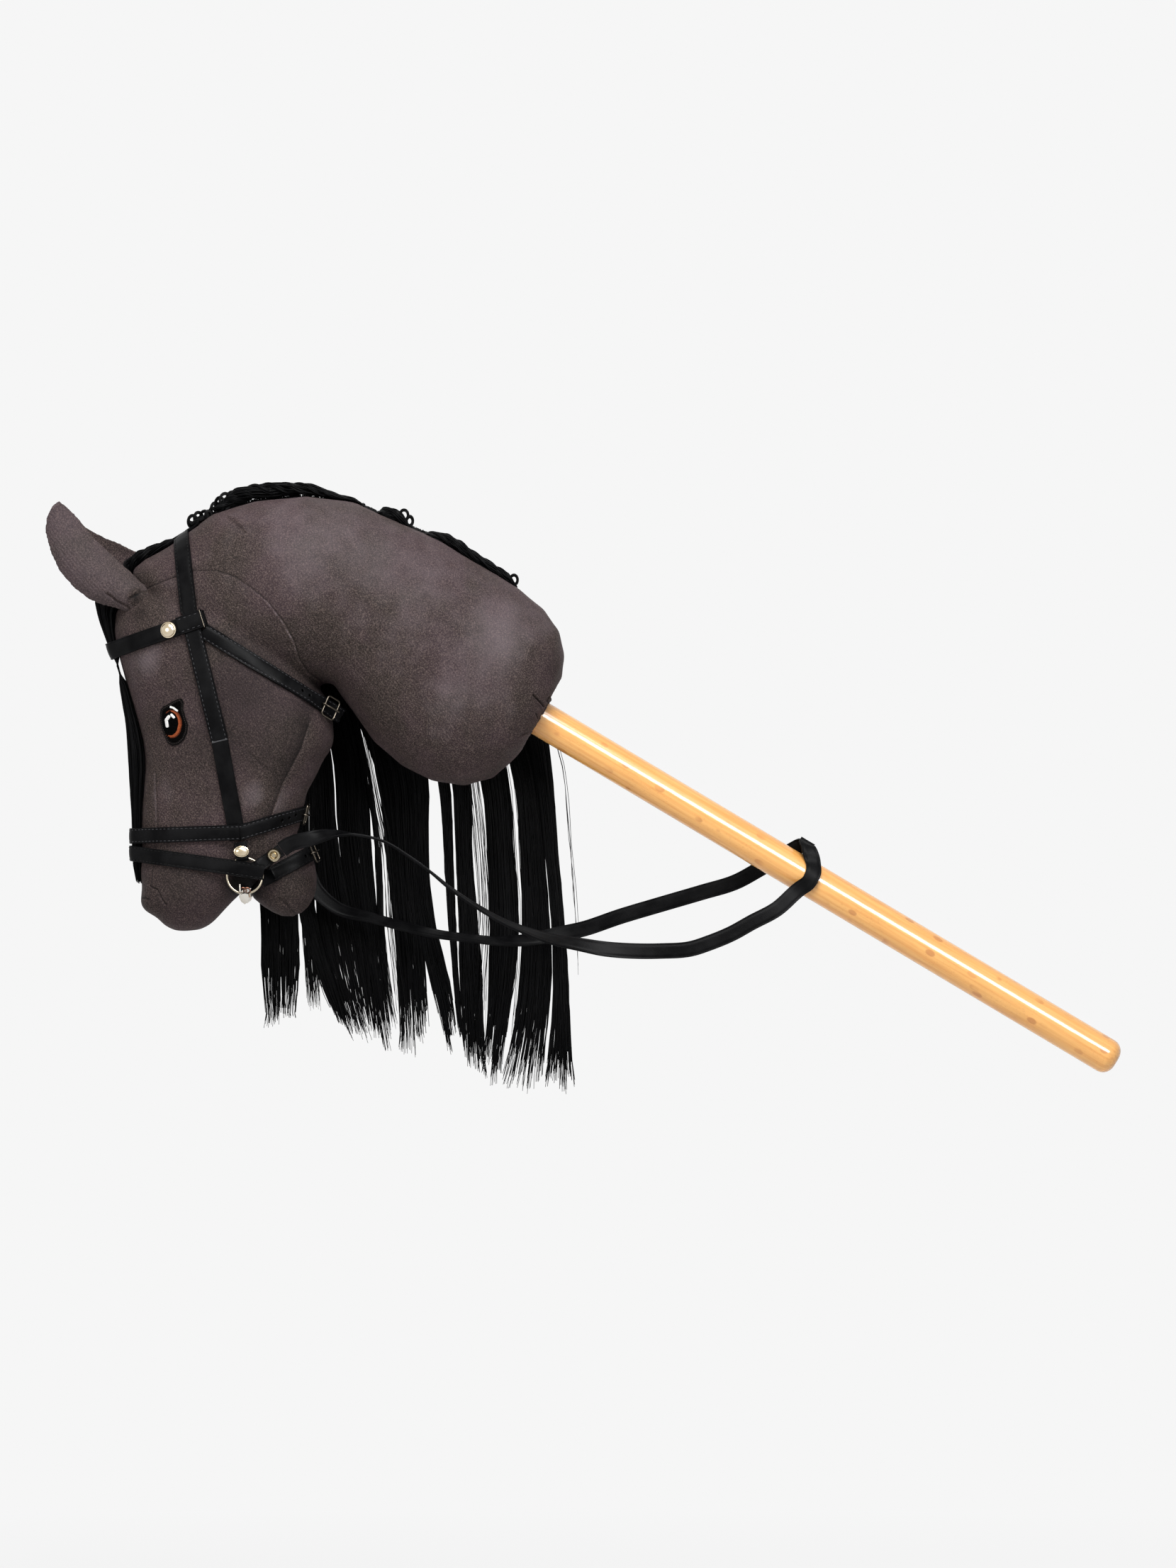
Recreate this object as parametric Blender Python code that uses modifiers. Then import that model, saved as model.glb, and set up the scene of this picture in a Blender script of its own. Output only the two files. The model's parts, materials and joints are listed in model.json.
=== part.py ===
"""Hobby horse: a stuffed horse head and neck on a wooden stick, with a mane, a bridle and reins.

Metres, +Z up. The horse looks along -X, its left side faces -Y and its plane of symmetry is y = 0.
The origin lies on the stick's axis where the stick leaves the neck.
"""
import math

import bmesh
import bpy
import numpy as np
from mathutils import Matrix, Vector
from mathutils.bvhtree import BVHTree

MM = 0.001

# Fits
FIT = 0.3 * MM
LAY = 0.4 * MM
RING_RUN = 0.4 * MM

# Stick
STICK_DIA = 25.0 * MM
STICK_OUT = 472.7 * MM
STICK_IN = 180.0 * MM
STICK_DROP = math.radians(30.8)
STICK_END_ROUND = 9.0 * MM

# Stuffed forms
CHEEK_WIDTH = 100.0 * MM
NECK_WIDTH = 112.0 * MM
CHIN_WIDTH = 50.0 * MM
NECK_MOUTH_LIP = 2.5 * MM
FORM_POINTS = 28
EAR_THICK = 4.0 * MM
EAR_CUP = 6.0 * MM
EAR_SPREAD = 26.0 * MM
EYE_THICK = 0.8 * MM

# Leather
STRAP_WIDTH = 10.0 * MM
CROWN_WIDTH = 11.0 * MM
STRAP_THICK = 1.8 * MM
CHEEK_THICK = 2.6 * MM
KEEPER_THICK = 1.6 * MM
KEEPER_LENGTH = 17.0 * MM
KEEPER_WIDTH = 12.6 * MM
PUNCH_DIA = 2.2 * MM
PUNCH_PITCH = 6.5 * MM

# Metal
RING_DIA = 25.0 * MM
RING_WIRE = 2.0 * MM
RING_PLACE = (-208.0, -110.5)
CHEEK_LOOP_ANGLE = math.radians(98.0)
CHEEK_LOOP_LENGTH = 11.4 * MM
REIN_LOOP_ANGLE = math.radians(35.3)
REIN_LOOP_LENGTH = 19.0 * MM
BIT_BAR_DIA = 6.0 * MM
BARREL_DIA = 9.0 * MM
BARREL_LENGTH = 10.0 * MM
LOOP_LEATHER = 1.2 * MM
STUD_DIA = 12.0 * MM
STUD_HEIGHT = 3.6 * MM
RIVET_DIA = 10.5 * MM
RIVET_HEIGHT = 2.8 * MM
PRESS_STUD_DIA = 10.0 * MM
PRESS_STUD_HEIGHT = 3.2 * MM
BUCKLE_WIRE = 1.8 * MM
BUCKLE_LENGTH = 11.0 * MM
BUCKLE_WIDTH = 14.5 * MM
TONGUE_WIRE = 1.5 * MM
TONGUE_RUN = 0.25 * MM

# Reins
REIN_WIDTH = 11.0 * MM
REIN_THICK = 2.0 * MM

# Hair
LOCK_THICK = 6.0 * MM
LOCK_TIP_THICK = 2.0 * MM
CREST_WIDTH = 13.0 * MM
FORELOCK_WIDTH = 26.0 * MM

STICK_DIR = Vector((math.cos(STICK_DROP), 0.0, -math.sin(STICK_DROP)))
STICK_UP = Vector((math.sin(STICK_DROP), 0.0, math.cos(STICK_DROP)))
Y_AXIS = Vector((0.0, 1.0, 0.0))

# Level sections of the head in millimetres: height, front, rear, share of the cheek width
HEAD_LEVELS = [
    (104.0, -242.5, -230.5, 0.20), (99.5, -258.5, -215.0, 0.48), (93.0, -275.5, -205.0, 0.66),
    (84.5, -291.5, -194.0, 0.80), (75.5, -299.5, -186.0, 0.88), (63.5, -301.5, -178.0, 0.94),
    (52.0, -300.0, -173.0, 0.96), (41.0, -297.0, -168.5, 0.98), (27.5, -293.0, -160.0, 1.00),
    (14.0, -289.0, -151.0, 1.00), (4.5, -286.5, -148.0, 1.00), (-4.5, -284.0, -146.0, 0.99),
    (-15.5, -281.5, -146.0, 0.97), (-22.5, -280.5, -148.5, 0.955), (-29.0, -280.0, -153.0, 0.935),
    (-36.0, -279.5, -156.5, 0.905), (-43.0, -280.0, -160.0, 0.875), (-52.0, -280.5, -164.5, 0.84),
    (-63.0, -281.5, -167.0, 0.80), (-73.0, -282.0, -169.5, 0.775), (-83.0, -282.0, -172.5, 0.755),
    (-93.0, -282.0, -176.5, 0.74), (-100.5, -282.0, -182.5, 0.73), (-108.5, -282.5, -189.0, 0.72),
    (-117.5, -281.5, -200.5, 0.70), (-124.5, -280.5, -212.5, 0.67), (-130.5, -278.5, -219.0, 0.63),
    (-135.5, -275.0, -224.0, 0.57), (-140.5, -269.0, -228.5, 0.49), (-145.0, -263.5, -233.5, 0.38),
    (-148.5, -256.0, -241.0, 0.22),
]

# Sections of the neck in millimetres: crest point, underside point, share of the neck width
NECK_SECTIONS = [
    ((-288.5, 104.0), (-279.0, 82.0), 0.28), ((-280.0, 112.0), (-261.5, 67.0), 0.54),
    ((-260.5, 123.0), (-236.5, 42.0), 0.75), ((-231.5, 144.0), (-201.5, 27.0), 0.89),
    ((-201.5, 153.5), (-171.5, 24.5), 0.95), ((-166.5, 157.0), (-146.5, 24.5), 0.98),
    ((-131.5, 152.5), (-133.0, 5.5), 1.00), ((-101.5, 139.0), (-116.5, -17.0), 1.00),
    ((-71.5, 126.0), (-98.5, -33.0), 1.00), ((-41.5, 108.0), (-76.5, -44.0), 0.985),
    ((-16.5, 92.0), (-54.0, -47.5), 0.95), ((2.5, 77.0), (-34.0, -42.0), 0.87),
    ((13.5, 62.0), (-22.5, -32.0), 0.75), ((17.0, 44.5), (-16.5, -26.0), 0.61),
    ((14.5, 28.0), (-11.5, -19.0), 0.45),
]

# Cheek seam from the ear to the throat, then round the jaw, in millimetres
CHEEK_SEAM = [
    (-330.0, 84.0), (-291.0, 84.0), (-274.0, 93.0), (-259.5, 99.0), (-243.5, 104.0), (-228.5, 104.0),
    (-215.5, 100.0), (-203.5, 92.0), (-191.5, 82.0), (-181.5, 69.0), (-173.5, 55.0), (-169.5, 41.0),
    (-163.5, 32.0), (-153.0, 24.5), (-147.0, 21.0), (-143.0, 5.0), (-141.0, -60.0), (-141.0, -190.0),
    (-330.0, -190.0),
]

# Level sections of the chin in millimetres: height, front, rear, share of the chin width
CHIN_LEVELS = [
    (-86.0, -186.0, -166.0, 0.50), (-95.0, -194.0, -161.5, 0.78), (-104.0, -202.0, -159.0, 0.93),
    (-113.0, -206.0, -158.0, 1.00), (-120.5, -205.5, -158.5, 0.98), (-126.5, -202.5, -160.5, 0.90),
    (-132.5, -195.5, -164.0, 0.74), (-136.5, -189.0, -168.5, 0.54), (-139.0, -182.5, -174.5, 0.28),
]

# Ear outline in millimetres: lower edge, upper edge
EAR_SECTIONS = [
    ((-286.0, 73.0), (-272.0, 88.5)), ((-296.0, 77.0), (-281.0, 95.5)), ((-308.0, 80.0), (-289.0, 103.5)),
    ((-318.0, 84.0), (-297.0, 111.0)), ((-328.5, 92.0), (-304.0, 117.5)), ((-339.0, 104.5), (-313.0, 126.0)),
    ((-344.5, 117.0), (-320.5, 135.0)), ((-348.5, 131.5), (-328.0, 144.0)), ((-347.5, 140.5), (-334.0, 149.5)),
    ((-343.5, 149.0), (-338.5, 153.0)),
]

# Eye outline in millimetres, with its upper rear corner
EYE_OUTLINE = [
    (-254.0, 13.5), (-251.3, 5.5), (-249.8, -1.5), (-250.6, -8.5), (-254.0, -15.0), (-258.5, -19.0),
    (-262.5, -17.5), (-265.6, -11.5), (-267.3, -4.0), (-267.0, 3.0), (-264.0, 8.0), (-259.5, 10.5),
]

# Forelock in millimetres: outer line, inner line, share of its width
FORELOCK = [
    ((-262.0, 127.5), (-262.0, 123.6), 0.40), ((-276.0, 122.5), (-274.0, 118.0), 0.55),
    ((-287.0, 118.0), (-284.0, 111.5), 0.70), ((-301.0, 106.0), (-296.0, 99.0), 0.90),
    ((-312.0, 93.0), (-305.0, 88.0), 1.00), ((-315.0, 82.0), (-306.0, 80.0), 1.00),
    ((-311.0, 68.0), (-304.5, 67.5), 0.95), ((-305.5, 54.0), (-302.2, 53.0), 0.90),
    ((-300.6, 41.0), (-298.2, 40.5), 0.85), ((-296.8, 23.0), (-294.0, 23.0), 0.85),
    ((-292.5, -2.0), (-286.8, -2.0), 0.90), ((-291.0, -22.5), (-281.8, -22.5), 0.95),
    ((-289.5, -49.5), (-282.0, -49.5), 0.90), ((-288.0, -74.5), (-283.2, -74.5), 0.75),
    ((-288.0, -95.0), (-283.4, -95.0), 0.65), ((-286.5, -111.0), (-283.8, -111.0), 0.45),
    ((-284.4, -117.5), (-283.6, -117.5), 0.20),
]

# Crest rolls of the mane in millimetres: place along X, height over the crest
CREST_ROLLS = {
    "mane_roll_1": [(-245.5, 3.0), (-243.5, 8.0), (-237.5, 8.5), (-233.5, 5.0)],
    "mane_roll_2": [(-230.5, 5.0), (-226.5, 9.0), (-211.5, 12.5), (-199.5, 12.2), (-187.5, 11.5),
                    (-173.5, 10.5), (-163.5, 8.8), (-155.5, 6.5), (-143.5, 3.5), (-133.5, 2.4), (-124.5, 2.2)],
    "mane_roll_3": [(-118.5, 4.0), (-114.5, 8.0), (-106.5, 10.5), (-100.5, 8.5), (-95.5, 4.5), (-91.5, 2.0)],
    "mane_roll_4": [(-85.5, 2.5), (-78.5, 6.0), (-70.5, 9.0), (-61.5, 10.0), (-53.5, 8.5), (-44.5, 7.5),
                    (-35.5, 7.5), (-26.5, 7.5), (-20.5, 5.0), (-15.5, 2.0)],
}

# Hanging mane in millimetres: height, left side, right side; the first row's height is below the crest
MANE_LOCKS = {
    "mane_lock_01": [(None, -245.0, -230.5), (20.0, -218.0, -198.0), (-80.0, -203.0, -180.0),
                     (-138.0, -194.5, -174.5), (-180.0, -197.5, -172.5), (-209.0, -191.0, -178.0)],
    "mane_lock_02": [(None, -229.5, -215.5), (20.0, -196.5, -183.5), (-80.0, -178.5, -168.0),
                     (-138.0, -172.0, -161.5), (-180.0, -160.5, -149.0), (-217.0, -143.0, -138.5)],
    "mane_lock_03": [(None, -214.5, -196.5), (20.0, -182.0, -166.0), (-43.0, -166.0, -150.5),
                     (-93.0, -160.0, -146.0), (-143.0, -160.0, -133.0), (-190.0, -147.5, -127.0),
                     (-221.0, -134.0, -122.5)],
    "mane_lock_04": [(None, -195.5, -175.5), (20.0, -164.5, -146.0), (-43.0, -146.5, -129.0),
                     (-93.0, -142.0, -123.0), (-143.0, -131.5, -118.0), (-190.0, -125.5, -111.5),
                     (-227.0, -118.0, -109.0)],
    "mane_lock_05": [(None, -174.5, -144.5), (20.0, -144.5, -118.0), (-43.0, -113.0, -92.0),
                     (-93.0, -109.0, -90.5), (-143.0, -101.5, -88.0), (-190.0, -100.0, -82.5),
                     (-232.0, -95.0, -83.0)],
    "mane_lock_06": [(None, -143.5, -125.5), (20.0, -116.5, -101.0), (-43.0, -91.0, -82.5),
                     (-93.0, -89.5, -82.0), (-143.0, -87.0, -79.0), (-193.0, -75.5, -63.0),
                     (-231.0, -66.0, -61.0)],
    "mane_lock_07": [(None, -124.5, -112.5), (20.0, -99.5, -87.0), (-43.0, -73.0, -66.0),
                     (-93.0, -69.0, -63.0), (-143.0, -65.0, -61.0), (-193.0, -61.5, -58.5),
                     (-226.0, -57.5, -55.5)],
    "mane_lock_08": [(None, -111.5, -92.5), (20.0, -85.5, -68.0), (-43.0, -62.5, -51.0),
                     (-93.0, -60.5, -50.5), (-143.0, -57.5, -45.5), (-193.0, -57.0, -41.5),
                     (-249.0, -52.0, -41.5)],
    "mane_lock_09": [(None, -91.5, -69.5), (20.0, -66.5, -45.5), (-43.0, -42.0, -24.5),
                     (-93.0, -37.0, -21.0), (-143.0, -35.0, -15.5), (-193.0, -36.0, -20.5),
                     (-248.0, -40.0, -30.0)],
    "mane_lock_10": [(None, -68.5, -44.5), (20.0, -43.5, -24.0), (-43.0, -18.5, -3.5),
                     (-93.0, -14.5, 1.0), (-143.0, -11.5, 5.5), (-193.0, -14.5, 7.5),
                     (-253.0, -23.0, -3.0)],
    "mane_lock_11": [(None, -43.5, -22.5), (20.0, -22.0, -4.0), (-43.0, -2.0, 7.0),
                     (-93.0, 3.0, 11.0), (-143.0, 8.5, 16.0), (-193.0, 10.0, 19.0),
                     (-258.0, 5.0, 20.0)],
}

# Left rein in millimetres: point, then the direction of its width
REIN_LEFT = [
    ((-162.0, -43.5, -84.5), (-0.3, 0.3, 1.0)), ((-145.5, -42.5, -81.0), (0.0, 0.9, 0.4)),
    ((-131.5, -42.0, -81.5), (0.0, 1.0, 0.0)),
    ((-110.0, -40.5, -86.5), (0.0, 1.0, 0.0)), ((-92.5, -39.5, -97.0), (0.0, 1.0, 0.0)),
    ((-78.0, -38.5, -107.5), (0.0, 1.0, 0.0)), ((-64.0, -37.5, -119.0), (0.0, 1.0, 0.1)),
    ((-46.5, -36.5, -131.0), (0.0, 0.95, 0.3)), ((-29.5, -35.5, -141.0), (0.0, 0.8, 0.6)),
    ((-12.5, -34.5, -148.5), (0.1, 0.6, 0.8)), ((9.0, -33.0, -155.5), (0.1, 0.3, 0.95)),
    ((28.0, -32.0, -159.0), (0.1, 0.1, 1.0)), ((45.0, -31.0, -162.0), (0.1, 0.0, 1.0)),
    ((65.0, -30.0, -163.5), (0.0, 0.0, 1.0)), ((85.0, -28.5, -163.5), (0.0, 0.0, 1.0)),
    ((105.5, -27.0, -162.0), (-0.1, 0.0, 1.0)), ((119.5, -25.5, -157.5), (-0.3, 0.0, 1.0)),
    ((134.0, -24.0, -151.5), (-0.4, 0.0, 0.9)), ((148.5, -22.5, -143.5), (-0.5, 0.0, 0.9)),
    ((165.5, -20.0, -134.5), (-0.6, 0.0, 0.8)),
]

# Right rein in millimetres
REIN_RIGHT = [
    ((-166.0, 43.0, -92.5), (0.4, 0.0, 0.9)), ((-156.0, 42.5, -101.5), (0.7, 0.0, 0.7)),
    ((-139.0, 41.0, -118.0), (0.5, 0.0, 0.9)), ((-116.5, 39.5, -132.0), (0.4, 0.0, 0.9)),
    ((-101.5, 38.5, -140.0), (0.3, 0.0, 0.95)), ((-71.5, 37.0, -150.0), (0.2, 0.0, 1.0)),
    ((-51.5, 36.0, -153.5), (0.1, 0.0, 1.0)), ((-31.5, 35.0, -156.0), (0.1, 0.0, 1.0)),
    ((-11.5, 34.0, -156.0), (0.0, 0.0, 1.0)), ((13.5, 32.0, -152.0), (-0.2, 0.0, 1.0)),
    ((28.0, 31.0, -149.0), (-0.3, 0.0, 1.0)), ((56.5, 29.0, -139.5), (-0.3, 0.0, 1.0)),
    ((85.0, 27.0, -131.0), (-0.3, 0.0, 1.0)), ((114.0, 24.0, -122.5), (-0.3, 0.0, 1.0)),
    ((137.0, 21.0, -115.5), (-0.35, 0.0, 0.95)),
]

# Where the reins wrap the stick, in millimetres from its axis: along it, above it, beside it
REIN_WRAP_LEFT = [(218.0, -9.5, 5.0), (221.0, -2.5, 2.4), (220.5, 5.0, 2.2), (216.5, 11.5, 3.6), (211.0, 16.5, 0.0)]
REIN_WRAP_RIGHT = [(189.0, -8.5, 4.8), (193.0, -2.0, 2.4), (196.5, 5.0, 2.2), (200.0, 11.5, 3.6), (203.0, 16.5, 0.0)]
REIN_JOIN_ALONG = 206.0 * MM
REIN_JOIN_RISE = 8.0 * MM
REIN_JOIN_HALF = 1.8 * MM

PARTS = None
CUTTERS = None


def mm(x, y, z):
    """Point from millimetres."""
    return Vector((x * MM, y * MM, z * MM))


def clear_scene():
    """Empty the scene and make the two collections."""
    global PARTS, CUTTERS
    for old in list(bpy.data.objects):
        bpy.data.objects.remove(old, do_unlink=True)
    PARTS = bpy.data.collections.new("hobby_horse")
    CUTTERS = bpy.data.collections.new("cutters")
    bpy.context.scene.collection.children.link(PARTS)
    bpy.context.scene.collection.children.link(CUTTERS)


def make_material(name, rgb, metallic=0.0, roughness=0.6):
    """Principled material with plain values."""
    material = bpy.data.materials.new(name)
    material.use_nodes = True
    shader = material.node_tree.nodes["Principled BSDF"]
    shader.inputs["Base Color"].default_value = (*rgb, 1.0)
    shader.inputs["Metallic"].default_value = metallic
    shader.inputs["Roughness"].default_value = roughness
    return material


def suede():
    """Dark grey-brown brushed fabric."""
    return bpy.data.materials.get("suede") or make_material("suede", (0.075, 0.06, 0.062), 0.0, 0.9)


def hair():
    """Straight black hair."""
    return bpy.data.materials.get("hair") or make_material("hair", (0.008, 0.008, 0.009), 0.0, 0.45)


def leather():
    """Black bridle leather."""
    return bpy.data.materials.get("leather") or make_material("leather", (0.012, 0.013, 0.014), 0.0, 0.45)


def silver():
    """Polished white metal."""
    return bpy.data.materials.get("silver") or make_material("silver", (0.8, 0.79, 0.76), 1.0, 0.2)


def brass():
    """Press stud metal."""
    return bpy.data.materials.get("brass") or make_material("brass", (0.65, 0.55, 0.38), 1.0, 0.3)


def beech():
    """Varnished beech."""
    return bpy.data.materials.get("beech") or make_material("beech", (0.75, 0.42, 0.16), 0.0, 0.25)


def thread():
    """Embroidery thread."""
    return bpy.data.materials.get("thread") or make_material("thread", (0.02, 0.015, 0.012), 0.0, 0.6)


def finish_mesh(name, mesh, material, cutter=False):
    """Wrap a mesh in an object of its collection."""
    body = bpy.data.objects.new(name, mesh)
    if cutter:
        CUTTERS.objects.link(body)
        body.hide_render = True
        body.display_type = "WIRE"
    else:
        PARTS.objects.link(body)
        mesh.materials.append(material)
    return body


def loft(name, rings, material=None, cutter=False, smooth=True):
    """Closed skin through rings of equal length, with a flat cap on each end."""
    mesh_builder = bmesh.new()
    rows = [[mesh_builder.verts.new(p) for p in ring] for ring in rings]
    count = len(rows[0])
    for low, high in zip(rows[:-1], rows[1:]):
        for i in range(count):
            j = (i + 1) % count
            mesh_builder.faces.new((low[i], low[j], high[j], high[i]))
    mesh_builder.faces.new(list(reversed(rows[0])))
    mesh_builder.faces.new(rows[-1])
    bmesh.ops.recalc_face_normals(mesh_builder, faces=mesh_builder.faces)
    mesh = bpy.data.meshes.new(name)
    mesh_builder.to_mesh(mesh)
    mesh_builder.free()
    if smooth:
        mesh.shade_smooth()
        mesh.set_sharp_from_angle(angle=math.radians(40))
    return finish_mesh(name, mesh, material, cutter)


def superellipse(count, power):
    """Unit section as cosine and sine pairs, squarer as the power grows."""
    pairs = []
    for i in range(count):
        t = 2.0 * math.pi * i / count
        c, s = math.cos(t), math.sin(t)
        pairs.append((math.copysign(abs(c) ** (2.0 / power), c), math.copysign(abs(s) ** (2.0 / power), s)))
    return pairs


def level_rings(levels, full_width, grow=0.0, power=2.3, taper=0.10):
    """Rings of a form given by level sections, narrower towards its front."""
    rings = []
    last = len(levels) - 1
    for index, (z, front, rear, share) in enumerate(levels):
        rise = grow if index == 0 else (-grow if index == last else 0.0)
        centre = 0.5 * (front + rear) * MM
        half = 0.5 * (rear - front) * MM + grow
        width = 0.5 * full_width * share + grow
        rings.append([Vector((centre + half * c, width * s * (1.0 + taper * c), z * MM + rise))
                      for c, s in superellipse(FORM_POINTS, power)])
    return rings


def neck_rings(grow=0.0):
    """Rings of the neck from the poll to the mouth round the stick."""
    rings = []
    for index, (crest, under, share) in enumerate(NECK_SECTIONS):
        top = mm(crest[0], 0.0, crest[1])
        low = mm(under[0], 0.0, under[1])
        centre = 0.5 * (top + low)
        half = 0.5 * (top - low)
        half = half + half.normalized() * grow
        width = 0.5 * NECK_WIDTH * share + grow
        shift = Vector((-grow, 0.0, 0.0)) if index == 0 else Vector((0.0, 0.0, 0.0))
        rings.append([centre + shift + half * c + Y_AXIS * width * s
                      for c, s in superellipse(FORM_POINTS, 2.2)])
    mouth = 0.5 * STICK_DIA + FIT + NECK_MOUTH_LIP + grow
    for along, spread in ((-6.0 * MM, 1.35), (0.0, 1.0)):
        rings.append([STICK_DIR * along + STICK_UP * mouth * spread * c + Y_AXIS * mouth * spread * s
                      for c, s in superellipse(FORM_POINTS, 2.0)])
    return rings


def grown_outline(outline, grow):
    """Offset a closed outline outwards by its own normals."""
    count = len(outline)
    area = sum(outline[i][0] * outline[(i + 1) % count][1] - outline[(i + 1) % count][0] * outline[i][1]
               for i in range(count))
    turn = 1.0 if area > 0 else -1.0
    moved = []
    for i in range(count):
        before, here, after = outline[i - 1], outline[i], outline[(i + 1) % count]
        a = Vector((here[0] - before[0], here[1] - before[1])).normalized()
        b = Vector((after[0] - here[0], after[1] - here[1])).normalized()
        na, nb = Vector((a.y, -a.x)) * turn, Vector((b.y, -b.x)) * turn
        n = (na + nb).normalized()
        step = grow / max(0.5, n.dot(na))
        moved.append((here[0] + n.x * step, here[1] + n.y * step))
    return moved


def prism(name, outline, half_depth):
    """Cutter with an outline in the XZ plane, extruded along Y."""
    rings = []
    for side in (-1.0, 1.0):
        rings.append([Vector((x, side * half_depth, z)) for x, z in outline])
    return loft(name, rings, cutter=True, smooth=False)


def cylinder(name, centre, axis, radius, length, material=None, cutter=False, sides=24):
    """Round bar by its centre, axis and length."""
    builder = bmesh.new()
    bmesh.ops.create_cone(builder, cap_ends=True, segments=sides, radius1=radius, radius2=radius, depth=length)
    mesh = bpy.data.meshes.new(name)
    builder.to_mesh(mesh)
    builder.free()
    mesh.shade_smooth()
    mesh.set_sharp_from_angle(angle=math.radians(40))
    body = finish_mesh(name, mesh, material, cutter)
    body.rotation_mode = "QUATERNION"
    body.rotation_quaternion = Vector((0.0, 0.0, 1.0)).rotation_difference(axis)
    body.location = centre
    return body


def boolean(body, cutter, operation="DIFFERENCE"):
    """Exact Boolean of a body with a cutter."""
    modifier = body.modifiers.new(operation.lower(), "BOOLEAN")
    modifier.operation = operation
    modifier.solver = "EXACT"
    modifier.object = cutter
    return modifier


def solid_mesh(body):
    """Evaluated mesh of a body in world space."""
    bpy.context.view_layer.update()
    graph = bpy.context.evaluated_depsgraph_get()
    mesh = bpy.data.meshes.new_from_object(body.evaluated_get(graph))
    mesh.transform(body.matrix_world)
    return mesh


def tree_of(*bodies):
    """Search tree over the surfaces of several bodies."""
    points, faces = [], []
    for body in bodies:
        mesh = solid_mesh(body)
        start = len(points)
        points.extend(v.co.copy() for v in mesh.vertices)
        faces.extend([start + i for i in p.vertices] for p in mesh.polygons)
        bpy.data.meshes.remove(mesh)
    return BVHTree.FromPolygons(points, faces)


def mirrored(body, name):
    """Copy of a left piece on the right side."""
    mesh = solid_mesh(body)
    mesh.transform(Matrix.Scale(-1.0, 4, Y_AXIS))
    mesh.flip_normals()
    mesh.name = name
    mesh.materials.clear()
    return finish_mesh(name, mesh, body.data.materials[0])


def recentre(body, point):
    """Move a body's origin to a point without moving its surface."""
    body.data.transform(Matrix.Translation(-point))
    body.location = point


def first_hit(tree, start, direction, distance):
    """Distance to the surface from a start, or None."""
    found = tree.ray_cast(start, direction, distance)
    return found[3] if found[0] is not None else None


def hull_2d(points):
    """Convex hull, anticlockwise."""
    ordered = sorted(set((round(p[0], 8), round(p[1], 8)) for p in points))
    chains = []
    for sequence in (ordered, ordered[::-1]):
        chain = []
        for p in sequence:
            while len(chain) > 1:
                ax, ay = chain[-1][0] - chain[-2][0], chain[-1][1] - chain[-2][1]
                bx, by = p[0] - chain[-2][0], p[1] - chain[-2][1]
                if ax * by - ay * bx > 0:
                    break
                chain.pop()
            chain.append(p)
        chains.append(chain[:-1])
    return chains[0] + chains[1]


def hull_reach(hull, angle):
    """Distance from the origin to the hull along an angle."""
    dx, dy = math.cos(angle), math.sin(angle)
    best = 0.0
    for i, a in enumerate(hull):
        b = hull[(i + 1) % len(hull)]
        ex, ey = b[0] - a[0], b[1] - a[1]
        cross = dx * ey - dy * ex
        if abs(cross) < 1e-12:
            continue
        r = (a[0] * ey - a[1] * ex) / cross
        s = (a[0] * dy - a[1] * dx) / cross
        if r > 0 and -1e-9 <= s <= 1 + 1e-9:
            best = max(best, r)
    return best


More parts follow.
